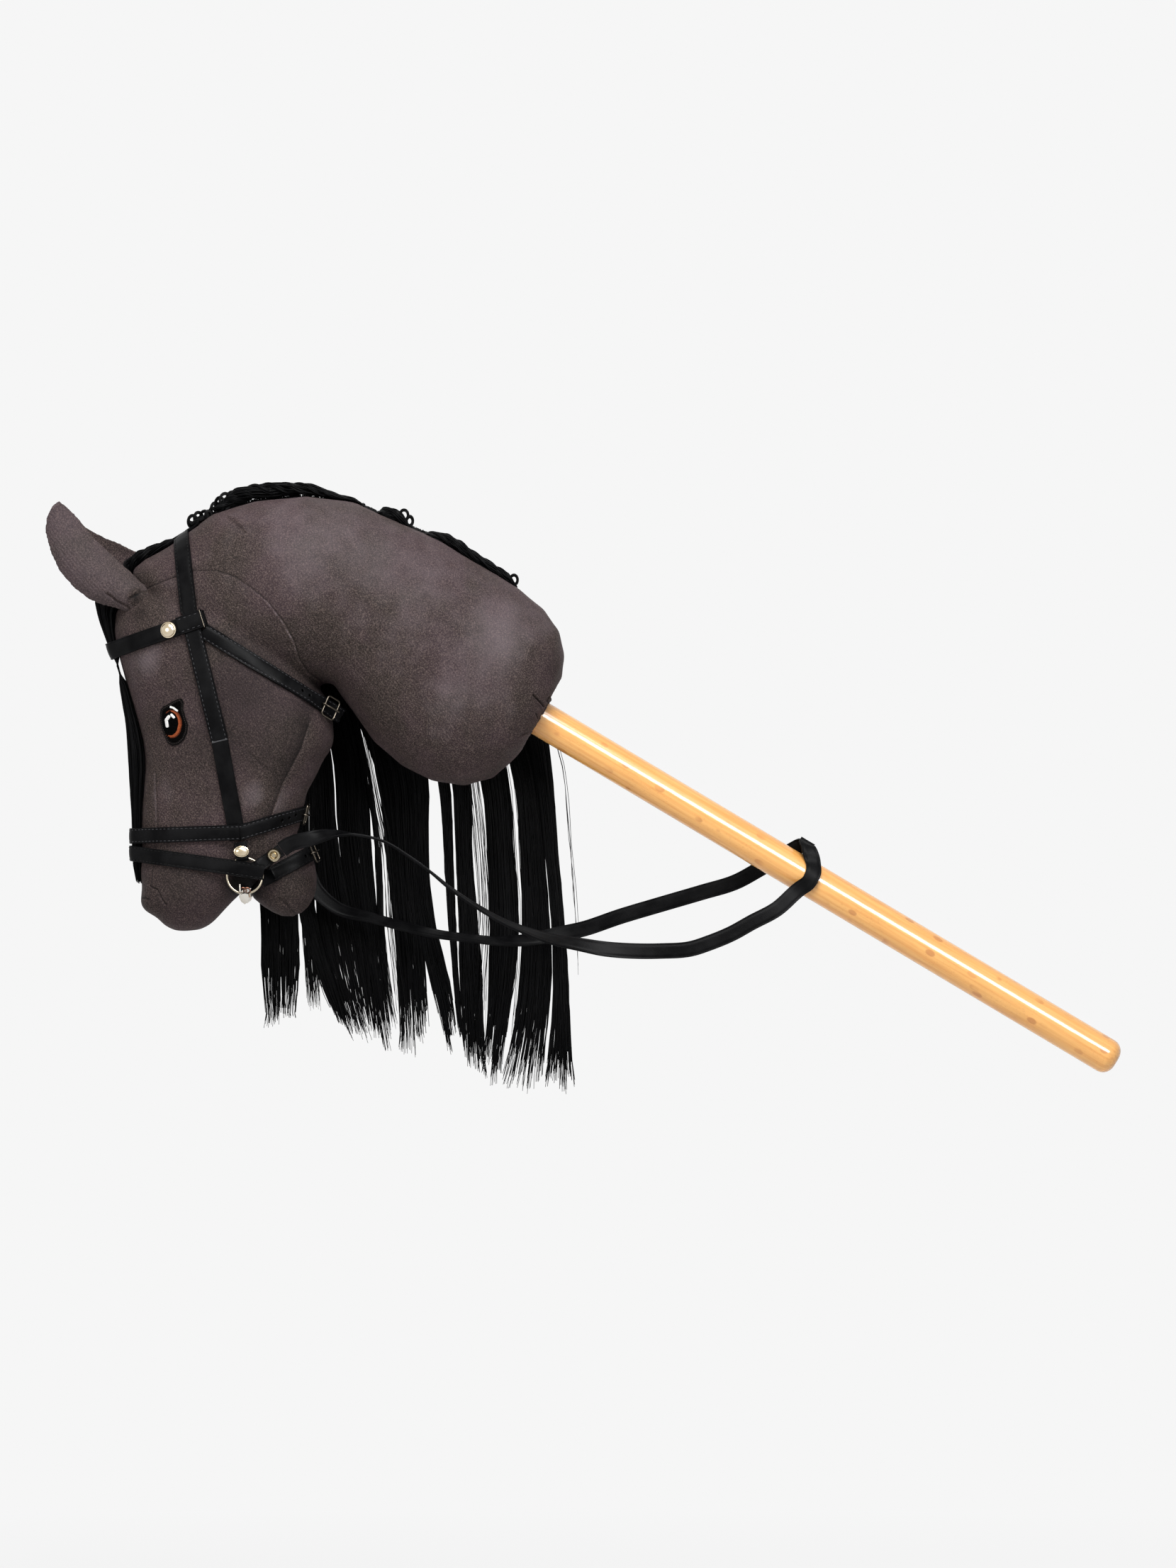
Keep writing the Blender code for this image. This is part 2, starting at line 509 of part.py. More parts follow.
class Band:
    """A strap pulled taut over the forms, with its two edge lines kept for what sits on it."""

    def __init__(self, centre, forward, sideways, width, trees, reach, spread, keep, slack=(), step=1.5, near=None):
        """Measure the taut lines under both edges of the strap."""
        self.centre, self.forward, self.sideways = centre, forward, sideways
        self.across = forward.cross(sideways).normalized()
        self.width = width
        self.trees = trees
        near = near or reach
        angles = np.radians(np.arange(-spread, spread + 0.01, step))
        hulls = []
        for offset in (-0.5 * width, 0.0, 0.5 * width):
            flat = [(0.0, 0.0)] + list(slack)
            for angle in angles:
                ray = forward * math.cos(angle) + sideways * math.sin(angle)
                limit = near if abs(angle) < math.radians(50.0) else reach
                start = centre + self.across * offset + ray * limit
                best = 0.0
                for tree in trees:
                    hit = first_hit(tree, start, -ray, limit)
                    if hit is not None:
                        best = max(best, limit - hit)
                flat.append((math.cos(angle) * best, math.sin(angle) * best))
            hulls.append(hull_2d(flat))
        first, last = (self.walk(hulls[1], keep, turn * spread) for turn in (-1.0, 1.0))
        corners = sorted(math.atan2(p[1], p[0]) for hull in hulls for p in hull if abs(p[0]) + abs(p[1]) > 1e-6)
        chosen = [first]
        for a in corners:
            if first < a < last and a - chosen[-1] > math.radians(1.2):
                chosen.append(a)
        if last - chosen[-1] < math.radians(0.8):
            chosen.pop()
        chosen.append(last)
        self.low, self.high = [], []
        for a in chosen:
            ray = forward * math.cos(a) + sideways * math.sin(a)
            r = [hull_reach(h, a) for h in hulls]
            lift = max(0.0, r[1] - 0.5 * (r[0] + r[2])) + LAY
            self.low.append(centre - self.across * 0.5 * width + ray * (r[0] + lift))
            self.high.append(centre + self.across * 0.5 * width + ray * (r[2] + lift))
        self.thin_out()
        self.ease_twist()
        for _ in range(4):
            self.clear_forms()

    @staticmethod
    def walk(hull, keep, spread):
        """Furthest angle from the middle that the strap still covers."""
        angle = 0.0
        for a in np.radians(np.arange(0.0, abs(spread) - 0.5, 0.25)) * math.copysign(1.0, spread):
            r = hull_reach(hull, a)
            if r <= 0.0 or not keep(r * math.cos(a), r * math.sin(a)):
                break
            angle = a
        return angle

    def clear_forms(self):
        """Lift each run of the strap off anything that still reaches into it."""
        rise = [0.0] * len(self.low)
        back = 3.0 * MM
        for i in range(len(self.low) - 1):
            worst = 0.0
            count = 2 + int((self.low[i] - self.low[i + 1]).length / (0.8 * MM))
            for k in range(count):
                low = self.low[i].lerp(self.low[i + 1], k / (count - 1))
                high = self.high[i].lerp(self.high[i + 1], k / (count - 1))
                for m in range(9):
                    p = low.lerp(high, m / 8.0)
                    root = self.centre + self.across * (p - self.centre).dot(self.across)
                    ray = (p - root).normalized()
                    for tree in self.trees:
                        hit = first_hit(tree, p + ray * back, -ray, back + FIT)
                        if hit is not None and hit > 1e-6:
                            worst = max(worst, back + FIT - hit)
            rise[i] = max(rise[i], worst)
            rise[i + 1] = max(rise[i + 1], worst)
        for i, lift in enumerate(rise):
            if lift > 0.0:
                for line in (self.low, self.high):
                    root = self.centre + self.across * (line[i] - self.centre).dot(self.across)
                    line[i] = line[i] + (line[i] - root).normalized() * lift

    def thin_out(self, tolerance=0.04 * MM):
        """Drop points that lie on straight runs of both edges."""
        kept = [0]
        for i in range(1, len(self.low) - 1):
            a, b = kept[-1], i + 1
            off = 0.0
            for line in (self.low, self.high):
                span = line[b] - line[a]
                d = (line[i] - line[a]).cross(span).length / max(span.length, 1e-9)
                off = max(off, d)
            if off > tolerance:
                kept.append(i)
        kept.append(len(self.low) - 1)
        self.low = [self.low[i] for i in kept]
        self.high = [self.high[i] for i in kept]

    def ease_twist(self):
        """Split runs along which the strap turns about its own length."""
        low, high = [self.low[0]], [self.high[0]]
        for i in range(1, len(self.low)):
            turn = (self.high[i - 1] - self.low[i - 1]).angle(self.high[i] - self.low[i])
            pieces = 1 + int(turn / math.radians(5.0))
            for k in range(1, pieces + 1):
                low.append(self.low[i - 1].lerp(self.low[i], k / pieces))
                high.append(self.high[i - 1].lerp(self.high[i], k / pieces))
        self.low, self.high = low, high

    def build(self, name, thick, material):
        """Ribbon through both edges, made solid outwards."""
        self.thick = thick
        builder = bmesh.new()
        low = [builder.verts.new(p) for p in self.low]
        high = [builder.verts.new(p) for p in self.high]
        for i in range(len(low) - 1):
            builder.faces.new((low[i], low[i + 1], high[i + 1], high[i]))
        builder.normal_update()
        outward = sum(((f.calc_center_median() - self.centre).dot(f.normal) for f in builder.faces))
        if outward < 0:
            bmesh.ops.reverse_faces(builder, faces=builder.faces)
        mesh = bpy.data.meshes.new(name)
        builder.to_mesh(mesh)
        builder.free()
        body = finish_mesh(name, mesh, material)
        shell = body.modifiers.new("thickness", "SOLIDIFY")
        shell.thickness = thick
        shell.offset = 1.0
        shell.use_even_offset = True
        self.body = body
        return body

    def frame_at(self, forward_at, side=1.0):
        """Place, direction along, across and outward normal where the left run reaches a forward value."""
        middle = [0.5 * (a + b) for a, b in zip(self.low, self.high)]
        values = [((p - self.centre).dot(self.forward), (p - self.centre).dot(self.sideways) * side) for p in middle]
        best = None
        for i in range(len(middle) - 1):
            a, b = values[i], values[i + 1]
            if max(a[1], b[1]) <= 0 or (a[0] - forward_at) * (b[0] - forward_at) > 0:
                continue
            t = (forward_at - a[0]) / (b[0] - a[0]) if abs(b[0] - a[0]) > 1e-9 else 0.5
            place = middle[i].lerp(middle[i + 1], t)
            along = (middle[i + 1] - middle[i]).normalized()
            across = (self.high[i].lerp(self.high[i + 1], t) - self.low[i].lerp(self.low[i + 1], t)).normalized()
            best = (place, along, across)
        place, along, across = best
        if along.dot(self.forward) < 0:
            along = -along
        across = (across - along * across.dot(along)).normalized()
        normal = along.cross(across)
        if normal.dot(place - self.centre) < 0:
            normal, across = -normal, -across
        return place, along, across, normal


def rise_over(tree, base, along, across, normal, half_along, half_across):
    """How far the surface rises over a base point, within a footprint."""
    high = 0.0
    for i in range(-16, 17):
        for j in range(-5, 6):
            start = base + along * (half_along * i / 16.0) + across * (half_across * j / 5.0) + normal * 12.0 * MM
            hit = first_hit(tree, start, -normal, 14.0 * MM)
            if hit is not None:
                high = max(high, 12.0 * MM - hit)
    return high


def in_plane(x0, z0, x1, z1):
    """Unit direction in the XZ plane from one point to another, in millimetres."""
    return Vector((x1 - x0, 0.0, z1 - z0)).normalized()


def turned(name, profile, centre, axis, material, steps=18, cutter=False):
    """Turned solid: a profile of radius and height, spun round the axis."""
    mesh = bpy.data.meshes.new(name)
    points = [(r, 0.0, h) for r, h in profile]
    mesh.from_pydata(points, [(i, i + 1) for i in range(len(points) - 1)], [])
    body = finish_mesh(name, mesh, material, cutter)
    screw = body.modifiers.new("turn", "SCREW")
    screw.axis = "Z"
    screw.angle = 2.0 * math.pi
    screw.steps = steps
    screw.render_steps = steps
    screw.use_merge_vertices = True
    screw.merge_threshold = 0.00001
    screw.use_smooth_shade = True
    body.rotation_mode = "QUATERNION"
    body.rotation_quaternion = Vector((0.0, 0.0, 1.0)).rotation_difference(axis)
    body.location = centre
    return body


def torus(name, centre, radius, wire, material=None, cutter=False, major=28, minor=8):
    """Ring of round wire in the XZ plane."""
    rings = []
    for i in range(major):
        a = 2.0 * math.pi * i / major
        out = Vector((math.cos(a), 0.0, math.sin(a)))
        rings.append([centre + out * (radius + wire * math.cos(b)) + Y_AXIS * wire * math.sin(b)
                      for b in (2.0 * math.pi * k / minor for k in range(minor))])
    builder = bmesh.new()
    rows = [[builder.verts.new(p) for p in ring] for ring in rings]
    for i in range(major):
        low, high = rows[i], rows[(i + 1) % major]
        for k in range(minor):
            builder.faces.new((low[k], low[(k + 1) % minor], high[(k + 1) % minor], high[k]))
    bmesh.ops.recalc_face_normals(builder, faces=builder.faces)
    mesh = bpy.data.meshes.new(name)
    builder.to_mesh(mesh)
    builder.free()
    mesh.shade_smooth()
    return finish_mesh(name, mesh, material, cutter)


def dome_profile(radius, height, base):
    """Profile of a domed head, from its crown down to its flat base."""
    points = [(0.0, base + height)]
    for i in range(1, 6):
        a = math.radians(18.0 * i)
        points.append((radius * math.sin(a), base + 0.35 * height + 0.65 * height * math.cos(a)))
    points.append((radius, base))
    points.append((0.0, base))
    return points


def make_stick():
    """Round beech stick with a rounded free end that keeps a small flat."""
    radius = 0.5 * STICK_DIA
    corner = min(STICK_END_ROUND, radius - 2.0 * MM)
    profile = [(0.0, STICK_OUT), (radius - corner, STICK_OUT)]
    for i in range(1, 6):
        a = math.radians(18.0 * i)
        profile.append((radius - corner + corner * math.sin(a), STICK_OUT - corner + corner * math.cos(a)))
    profile += [(radius, 0.5 * STICK_OUT), (radius, 0.0), (radius, -STICK_IN + 1.5 * MM)]
    profile += [(radius - 1.5 * MM, -STICK_IN), (0.0, -STICK_IN)]
    return turned("stick", profile, Vector((0.0, 0.0, 0.0)), STICK_DIR, beech(), steps=32)


def make_forms():
    """Head and neck share one outline and meet at the cheek seam; the chin is cut by the head."""
    seam = [(x * MM, z * MM) for x, z in CHEEK_SEAM]
    head_side = prism("head_side_cutter", seam, 0.09)
    head_side_wide = prism("head_side_wide_cutter", grown_outline(seam, FIT), 0.09)
    neck_blank = loft("neck_blank_cutter", neck_rings(), cutter=True)
    neck = loft("neck", neck_rings(), suede())
    boolean(neck, head_side_wide)
    bore = cylinder("stick_bore_cutter", STICK_DIR * 0.5 * (0.02 - STICK_IN - FIT), STICK_DIR,
                    0.5 * STICK_DIA + FIT, 0.02 + STICK_IN + FIT, cutter=True, sides=32)
    boolean(neck, bore)
    head = loft("head", level_rings(HEAD_LEVELS, CHEEK_WIDTH), suede())
    boolean(head, neck_blank, "UNION")
    boolean(head, head_side, "INTERSECT")
    chin = loft("chin", level_rings(CHIN_LEVELS, CHIN_WIDTH, taper=0.0), suede())
    head_wide = loft("head_wide_cutter", level_rings(HEAD_LEVELS, CHEEK_WIDTH, grow=FIT), cutter=True)
    neck_wide = loft("neck_wide_cutter", neck_rings(grow=FIT), cutter=True)
    boolean(chin, head_wide)
    return head, neck, chin, head_wide, neck_wide


def ear_rings(side, lean=0.0, lift=0.0, spread=EAR_SPREAD, shrink=1.0):
    """Cupped leaf rings; a leaning ear turns about its base."""
    base = mm(-279.0, 0.0, 83.0)
    turn = Matrix.Rotation(lean, 3, "Y")
    rings = []
    last = len(EAR_SECTIONS) - 1
    for index, (lower, upper) in enumerate(EAR_SECTIONS):
        share = index / last
        a, b = mm(lower[0], 0.0, lower[1]), mm(upper[0], 0.0, upper[1])
        a, b = ((turn @ ((p - base) * shrink)) + base + Vector((0.0, 0.0, lift)) for p in (a, b))
        out = Vector((0.0, side, 0.0))
        centre = 0.5 * (a + b) + out * (20.0 * MM + spread * share)
        half = 0.5 * (b - a)
        cup = EAR_CUP * math.sin(math.pi * min(1.0, 0.25 + 0.75 * share)) * min(1.0, half.length / (9.0 * MM))
        thick = EAR_THICK * (1.25 - 0.6 * share)
        outer, inner = [], []
        for k in range(7):
            u = -1.0 + 2.0 * k / 6.0
            bow = cup * (1.0 - u * u)
            edge = 0.25 + 0.75 * math.sqrt(max(0.0, 1.0 - u * u))
            outer.append(centre + half * u + out * (bow + 0.5 * thick * edge))
            inner.append(centre + half * u + out * (bow - 0.5 * thick * edge))
        rings.append(outer + inner[::-1])
    return rings


def make_ears(head_wide, neck_wide):
    """Two leaf ears, seated on the head; the right one leans further forward."""
    left = loft("ear_left", ear_rings(-1.0), suede())
    right = loft("ear_right", ear_rings(1.0, lean=math.radians(-9.0), lift=12.0 * MM, spread=34.0 * MM, shrink=0.90),
                 suede())
    for ear in (left, right):
        boolean(ear, head_wide)
        boolean(ear, neck_wide)
    return left, right


def side_point(tree, x, z, side=-1.0, reach=0.12):
    """Surface point seen from the side at a place in the XZ plane, or None."""
    start = Vector((x, side * reach, z))
    found = tree.ray_cast(start, Vector((0.0, -side, 0.0)), reach)
    return found[0]


def make_eye(head_tree):
    """Embroidered eye patch laid on the left cheek."""
    centre = (-258.5, -3.0)
    rows = [[centre]]
    for share in (0.35, 0.7, 1.0):
        rows.append([(centre[0] + (x - centre[0]) * share, centre[1] + (z - centre[1]) * share)
                     for x, z in EYE_OUTLINE])
    builder = bmesh.new()
    placed = []
    for row in rows:
        placed.append([builder.verts.new(side_point(head_tree, x * MM, z * MM) - Y_AXIS * LAY) for x, z in row])
    count = len(EYE_OUTLINE)
    for i in range(count):
        builder.faces.new((placed[0][0], placed[1][i], placed[1][(i + 1) % count]))
    for a, b in zip(placed[1:-1], placed[2:]):
        for i in range(count):
            builder.faces.new((a[i], b[i], b[(i + 1) % count], a[(i + 1) % count]))
    bmesh.ops.recalc_face_normals(builder, faces=builder.faces)
    builder.normal_update()
    if builder.faces[0].normal.y > 0:
        bmesh.ops.reverse_faces(builder, faces=builder.faces)
    mesh = bpy.data.meshes.new("eye_left")
    builder.to_mesh(mesh)
    builder.free()
    body = finish_mesh("eye_left", mesh, thread())
    shell = body.modifiers.new("thickness", "SOLIDIFY")
    shell.thickness = EYE_THICK
    shell.offset = 1.0
    return body


def make_forelock():
    """Flat bundle of hair from the poll down the middle of the face."""
    rings = []
    for outer, inner, share in FORELOCK:
        a, b = mm(outer[0], 0.0, outer[1]), mm(inner[0], 0.0, inner[1])
        half = 0.5 * FORELOCK_WIDTH * share
        middle = 0.5 * (a + b)
        ring = []
        for u, v in ((-1.0, 0.45), (-0.62, 1.0), (0.62, 1.0), (1.0, 0.45), (1.0, -0.45), (0.62, -1.0),
                     (-0.62, -1.0), (-1.0, -0.45)):
            ring.append(middle + Y_AXIS * half * u + (a - middle) * v)
        rings.append(ring)
    return loft("forelock", rings, hair())


def crest_height(neck_tree, x):
    """Height of the neck's crest at a place along X."""
    found = neck_tree.ray_cast(Vector((x, 0.0, 0.4)), Vector((0.0, 0.0, -1.0)), 0.6)
    return found[0].z if found[0] is not None else None


def make_crest_rolls(neck_tree):
    """Rolled and knotted roots of the mane along the crest."""
    for name, row in CREST_ROLLS.items():
        rings = []
        for x, height in row:
            x, height = x * MM, height * MM
            here = Vector((x, 0.0, crest_height(neck_tree, x)))
            slope = (crest_height(neck_tree, x + 2 * MM) - crest_height(neck_tree, x - 2 * MM)) / (4 * MM)
            up = Vector((-slope, 0.0, 1.0)).normalized()
            centre = here + up * (2.0 * LAY + 0.5 * height)
            half_width = 0.5 * CREST_WIDTH * min(1.0, 0.35 + height / (9.0 * MM))
            rings.append([centre + up * 0.5 * height * s + Y_AXIS * half_width * c
                          for c, s in superellipse(10, 2.4)])
        loft(name, rings, hair())


def make_locks(neck_tree, trees):
    """Hanging locks behind the neck: each follows its far side, then falls straight."""
    down = Vector((0.0, -1.0, 0.0))
    for name, rows in MANE_LOCKS.items():
        top_x = 0.5 * (rows[0][1] + rows[0][2]) * MM
        top_z = crest_height(neck_tree, top_x) - 2.2 * MM
        slope = (crest_height(neck_tree, top_x + 5 * MM) - crest_height(neck_tree, top_x - 5 * MM)) / (10 * MM)
        stations = [(top_z, rows[0][1] * MM, rows[0][2] * MM)]
        stations += [(z * MM, left * MM, right * MM) for z, left, right in rows[1:]]
        heights = []
        for (z0, _, _), (z1, _, _) in zip(stations[:-1], stations[1:]):
            pieces = max(1, int(round((z0 - z1) / (26.0 * MM))))
            if z0 == top_z:
                heights += [z0, z0 - 3 * MM, z0 - 8 * MM, z0 - 16 * MM, z0 - 28 * MM, z0 - 45 * MM]
                heights += [z0 - 45 * MM + (z1 - z0 + 45 * MM) * k / 3.0 for k in (1, 2)]
            else:
                heights += [z0 + (z1 - z0) * k / pieces for k in range(pieces)]
        heights.append(stations[-1][0])
        zs = [s[0] for s in stations][::-1]
        lefts = [s[1] for s in stations][::-1]
        rights = [s[2] for s in stations][::-1]
        rings = []
        total = top_z - stations[-1][0]

        def sides(z):
            return float(np.interp(z, zs, lefts)), float(np.interp(z, zs, rights))

        def tilt_at(z):
            return slope * max(0.0, 1.0 - (top_z - z) / (60.0 * MM))

        dense = list(np.arange(top_z, heights[-1], -1.5 * MM))
        surface, out = [], 0.0
        for z in dense:
            left, right = sides(z)
            for k in range(9):
                x = left + (right - left) * k / 8.0
                zx = z + tilt_at(z) * (x - 0.5 * (left + right))
                for tree in trees:
                    hit = tree.ray_cast(Vector((x, 0.14, zx)), down, 0.14)
                    if hit[0] is not None:
                        out = max(out, hit[0].y)
            surface.append(out + LAY)
        inners = [float(np.interp(-z, [-d for d in dense], surface)) for z in heights]
        for _ in range(4):
            for i in range(len(heights) - 1):
                short = 0.0
                for z, y in zip(dense, surface):
                    if heights[i + 1] <= z <= heights[i]:
                        t = (heights[i] - z) / (heights[i] - heights[i + 1])
                        short = max(short, y - (inners[i] + (inners[i + 1] - inners[i]) * t))
                inners[i] += short
                inners[i + 1] += short
        for z, inner in zip(heights, inners):
            left, right = sides(z)
            gone = (top_z - z) / total
            tilt = tilt_at(z)
            centre = 0.5 * (left + right)
            thick = LOCK_THICK + (LOCK_TIP_THICK - LOCK_THICK) * gone
            ring = []
            for u, v in ((0.0, 0.5), (0.18, 0.0), (0.82, 0.0), (1.0, 0.5), (0.82, 1.0), (0.18, 1.0)):
                x = left + (right - left) * u
                ring.append(Vector((x, inner + thick * v, z + tilt * (x - centre))))
            rings.append(ring)
        loft(name, rings, hair())


def punch(body, frame, gap_from, count, name):
    """Row of round holes through a strap."""
    place, along, across, normal = frame
    for k in range(count):
        centre = place + along * (gap_from + k * PUNCH_PITCH)
        cutter = cylinder(f"{name}_{k + 1}_cutter", centre, normal, 0.5 * PUNCH_DIA, 8.0 * MM, cutter=True, sides=10)
        boolean(body, cutter)


def wire_mesh(name, points, radius, closed, material, sides_level=1):
    """Round wire through points, as a mesh."""
    curve = bpy.data.curves.new(name + "_line", "CURVE")
    curve.dimensions = "3D"
    curve.bevel_depth = radius
    curve.bevel_resolution = sides_level
    curve.use_fill_caps = True
    spline = curve.splines.new("POLY")
    spline.points.add(len(points) - 1)
    for slot, p in zip(spline.points, points):
        slot.co = (*p, 1.0)
    spline.use_cyclic_u = closed
    guide = bpy.data.objects.new(name + "_line", curve)
    PARTS.objects.link(guide)
    bpy.context.view_layer.update()
    mesh = bpy.data.meshes.new_from_object(guide.evaluated_get(bpy.context.evaluated_depsgraph_get()))
    builder = bmesh.new()
    builder.from_mesh(mesh)
    bmesh.ops.remove_doubles(builder, verts=builder.verts, dist=0.00001)
    bmesh.ops.recalc_face_normals(builder, faces=builder.faces)
    builder.to_mesh(mesh)
    builder.free()
    bpy.data.objects.remove(guide, do_unlink=True)
    mesh.shade_smooth()
    return finish_mesh(name, mesh, material)


def make_buckle(band, forward_at, name):
    """Wire frame on a strap, and its tongue hinged on the heel bar through a slot in the strap."""
    place, along, across, normal = band.frame_at(forward_at)
    radius = 0.5 * BUCKLE_WIRE
    half_l, half_w = 0.5 * BUCKLE_LENGTH, 0.5 * BUCKLE_WIDTH
    base = place + normal * band.thick
    high = rise_over(tree_of(band.body), base, along, across, normal, half_l + radius, half_w + radius)
    lift = high + FIT + radius
    corner = 2.2 * MM
    points = []
    for sx, sy, start in ((1, 1, 0), (-1, 1, 90), (-1, -1, 180), (1, -1, 270)):
        for k in range(4):
            a = math.radians(start + 30.0 * k)
            u = sx * (half_l - corner) + corner * math.cos(a)
            v = sy * (half_w - corner) + corner * math.sin(a)
            points.append(base + normal * lift + along * u + across * v)
    frame = wire_mesh(name + "_frame", points, radius, True, silver())
    heel = base + normal * lift - along * half_l
    tongue_r = 0.5 * TONGUE_WIRE
    eye_in = radius + TONGUE_RUN
    eye_out = eye_in + TONGUE_WIRE
    eye = cylinder(name + "_tongue", heel, across, eye_out, 2.2 * MM, silver(), sides=16)
    shank_top = radius + FIT + tongue_r
    shank = wire_mesh(name + "_shank_cutter", [heel + along * (0.5 * (eye_in + eye_out)) + normal * 0.4 * MM,
                                              heel + along * 3.6 * MM + normal * shank_top * 0.8,
                                              heel + along * (BUCKLE_LENGTH - 2.0 * MM) + normal * shank_top,
                                              heel + along * (BUCKLE_LENGTH + 1.6 * MM) + normal * shank_top],
                      tongue_r, False, silver())
    to_cutter(shank)
    boolean(eye, shank, "UNION")
    hole = cylinder(name + "_eye_cutter", heel, across, eye_in, 6.0 * MM, cutter=True, sides=16)
    boolean(eye, hole)
    slot = box(name + "_slot_cutter", heel - normal * lift, along, across, normal,
               (2.0 * eye_out + 1.2 * MM, 3.4 * MM, 9.0 * MM))
    boolean(band.body, slot)
    return frame, eye


def to_cutter(body):
    """Move a helper solid among the cutters."""
    PARTS.objects.unlink(body)
    CUTTERS.objects.link(body)
    body.hide_render = True
    body.display_type = "WIRE"


def box(name, centre, along, across, normal, sizes, material=None, cutter=True):
    """Box by its centre, three directions and full sizes."""
    builder = bmesh.new()
    bmesh.ops.create_cube(builder, size=1.0)
    frame = Matrix((along * sizes[0], across * sizes[1], normal * sizes[2])).transposed().to_4x4()
    bmesh.ops.transform(builder, matrix=frame, verts=builder.verts)
    bmesh.ops.translate(builder, vec=centre, verts=builder.verts)
    bmesh.ops.recalc_face_normals(builder, faces=builder.faces)
    mesh = bpy.data.meshes.new(name)
    builder.to_mesh(mesh)
    builder.free()
    return finish_mesh(name, mesh, material, cutter)


def knuckle(name, ring_centre, angle, length, tail, wire_clear, material):
    """Folded strap end round the bit ring: an eye on the wire and a flat tail away from the ring."""
    out = Vector((math.cos(angle), 0.0, math.sin(angle)))
    side = Vector((-math.sin(angle), 0.0, math.cos(angle)))
    eye = 0.5 * RING_WIRE + RING_RUN + LOOP_LEATHER
    wire = 0.5 * RING_DIA
    profile = [(wire - eye * 0.98, 0.0), (wire - eye * 0.7, -eye * 0.7), (wire, -eye),
               (wire + eye * 0.8, -eye * 0.75), (wire + eye * 1.6, -tail * 0.5), (wire + length, -tail * 0.5),
               (wire + length, tail * 0.5), (wire + eye * 1.6, tail * 0.5), (wire + eye * 0.8, eye * 0.75),
               (wire, eye), (wire - eye * 0.7, eye * 0.7)]
    rings = []
    for s in (-0.5, 0.5):
        rings.append([ring_centre + out * r + Y_AXIS * y + side * s * (STRAP_WIDTH - 1.0 * MM) for r, y in profile])
    body = loft(name, rings, material, smooth=False)
    boolean(body, wire_clear)
    return body


def smooth_path(points, widths, count):
    """Close points on a smooth line through uneven ones, with their width directions."""
    gaps = [(b - a).length for a, b in zip(points[:-1], points[1:])]
    slopes = [(points[1] - points[0]) / gaps[0]]
    for i in range(1, len(points) - 1):
        before = (points[i] - points[i - 1]) / gaps[i - 1]
        after = (points[i + 1] - points[i]) / gaps[i]
        slopes.append((before * gaps[i] + after * gaps[i - 1]) / (gaps[i] + gaps[i - 1]))
    slopes.append((points[-1] - points[-2]) / gaps[-1])
    dense, dense_w = [], []
    for i, h in enumerate(gaps):
        for k in range(12):
            t = k / 12.0
            a, b = points[i], points[i + 1]
            dense.append(a * (2 * t ** 3 - 3 * t * t + 1) + b * (3 * t * t - 2 * t ** 3)
                         + slopes[i] * h * (t ** 3 - 2 * t * t + t) + slopes[i + 1] * h * (t ** 3 - t * t))
            dense_w.append(widths[i].lerp(widths[i + 1], t))
    dense.append(points[-1])
    dense_w.append(widths[-1])
    runs = [0.0]
    for a, b in zip(dense[:-1], dense[1:]):
        runs.append(runs[-1] + (b - a).length)
    fine = 75.0 * MM
    places = [0.0, 2.0 * MM, 4.5 * MM]
    places += [4.5 * MM + (runs[-1] - fine - 4.5 * MM) * (k + 1) / count for k in range(count)]
    places += [runs[-1] - fine + (fine - 2.4 * MM) * (k + 1) / 22.0 for k in range(22)] + [runs[-1]]
    even = [Vector([float(np.interp(s, runs, [p[j] for p in dense])) for j in range(3)]) for s in places]
    even_w = [Vector([float(np.interp(s, runs, [w[j] for w in dense_w])) for j in range(3)]) for s in places]
    return even, even_w, runs[-1]


def stick_point(along, above, beside):
    """Point by its place on the stick, in metres."""
    return STICK_DIR * along + STICK_UP * above + Y_AXIS * beside


def make_rein(name, side, rows, wrap, ring_plane):
    """Flat rein from its bit loop, hanging, then round the stick to the join on top."""
    radius = 0.5 * STICK_DIA
    away = Vector((math.cos(REIN_LOOP_ANGLE), 0.0, math.sin(REIN_LOOP_ANGLE)))
    flat = Vector((-away.z, 0.0, away.x))
    start = mm(RING_PLACE[0], 0.0, RING_PLACE[1]) + Y_AXIS * side * ring_plane
    out = 0.5 * RING_DIA + REIN_LOOP_LENGTH + FIT
    points = [start + away * out, start + away * (out + 5.0 * MM)] + [mm(*p) for p, _ in rows]
    widths = [flat, flat] + [Vector(w).normalized() for _, w in rows]
    across = -STICK_DIR
    for along, above, clear in wrap[:-1]:
        rise = above * MM
        beside = math.sqrt(max(0.0, radius * radius - rise * rise)) + clear * MM + 0.5 * REIN_THICK
        points.append(stick_point(along * MM, rise, side * beside))
        widths.append(across)
    along, above, _ = wrap[-1]
    points.append(stick_point(along * MM, above * MM, side * 8.5 * MM))
    widths.append(across)
    for beside in (3.5 * MM, FIT):
        points.append(stick_point(REIN_JOIN_ALONG, radius + REIN_JOIN_RISE - 0.6 * MM,
                                  side * (REIN_JOIN_HALF + beside)))
        widths.append(across)
    even, even_w, length = smooth_path(points, widths, 38)
    rings = []
    for i, p in enumerate(even):
        ahead = (even[min(i + 1, len(even) - 1)] - even[max(i - 1, 0)]).normalized()
        w = (even_w[i] - ahead * even_w[i].dot(ahead)).normalized() * 0.5 * REIN_WIDTH
        t = ahead.cross(w).normalized() * 0.5 * REIN_THICK
        rings.append([p - w - t, p + w - t, p + w + t, p - w + t])
    loft(name, rings, leather())
    print(f"{name} length {length * 1000:.0f} mm")
    return length


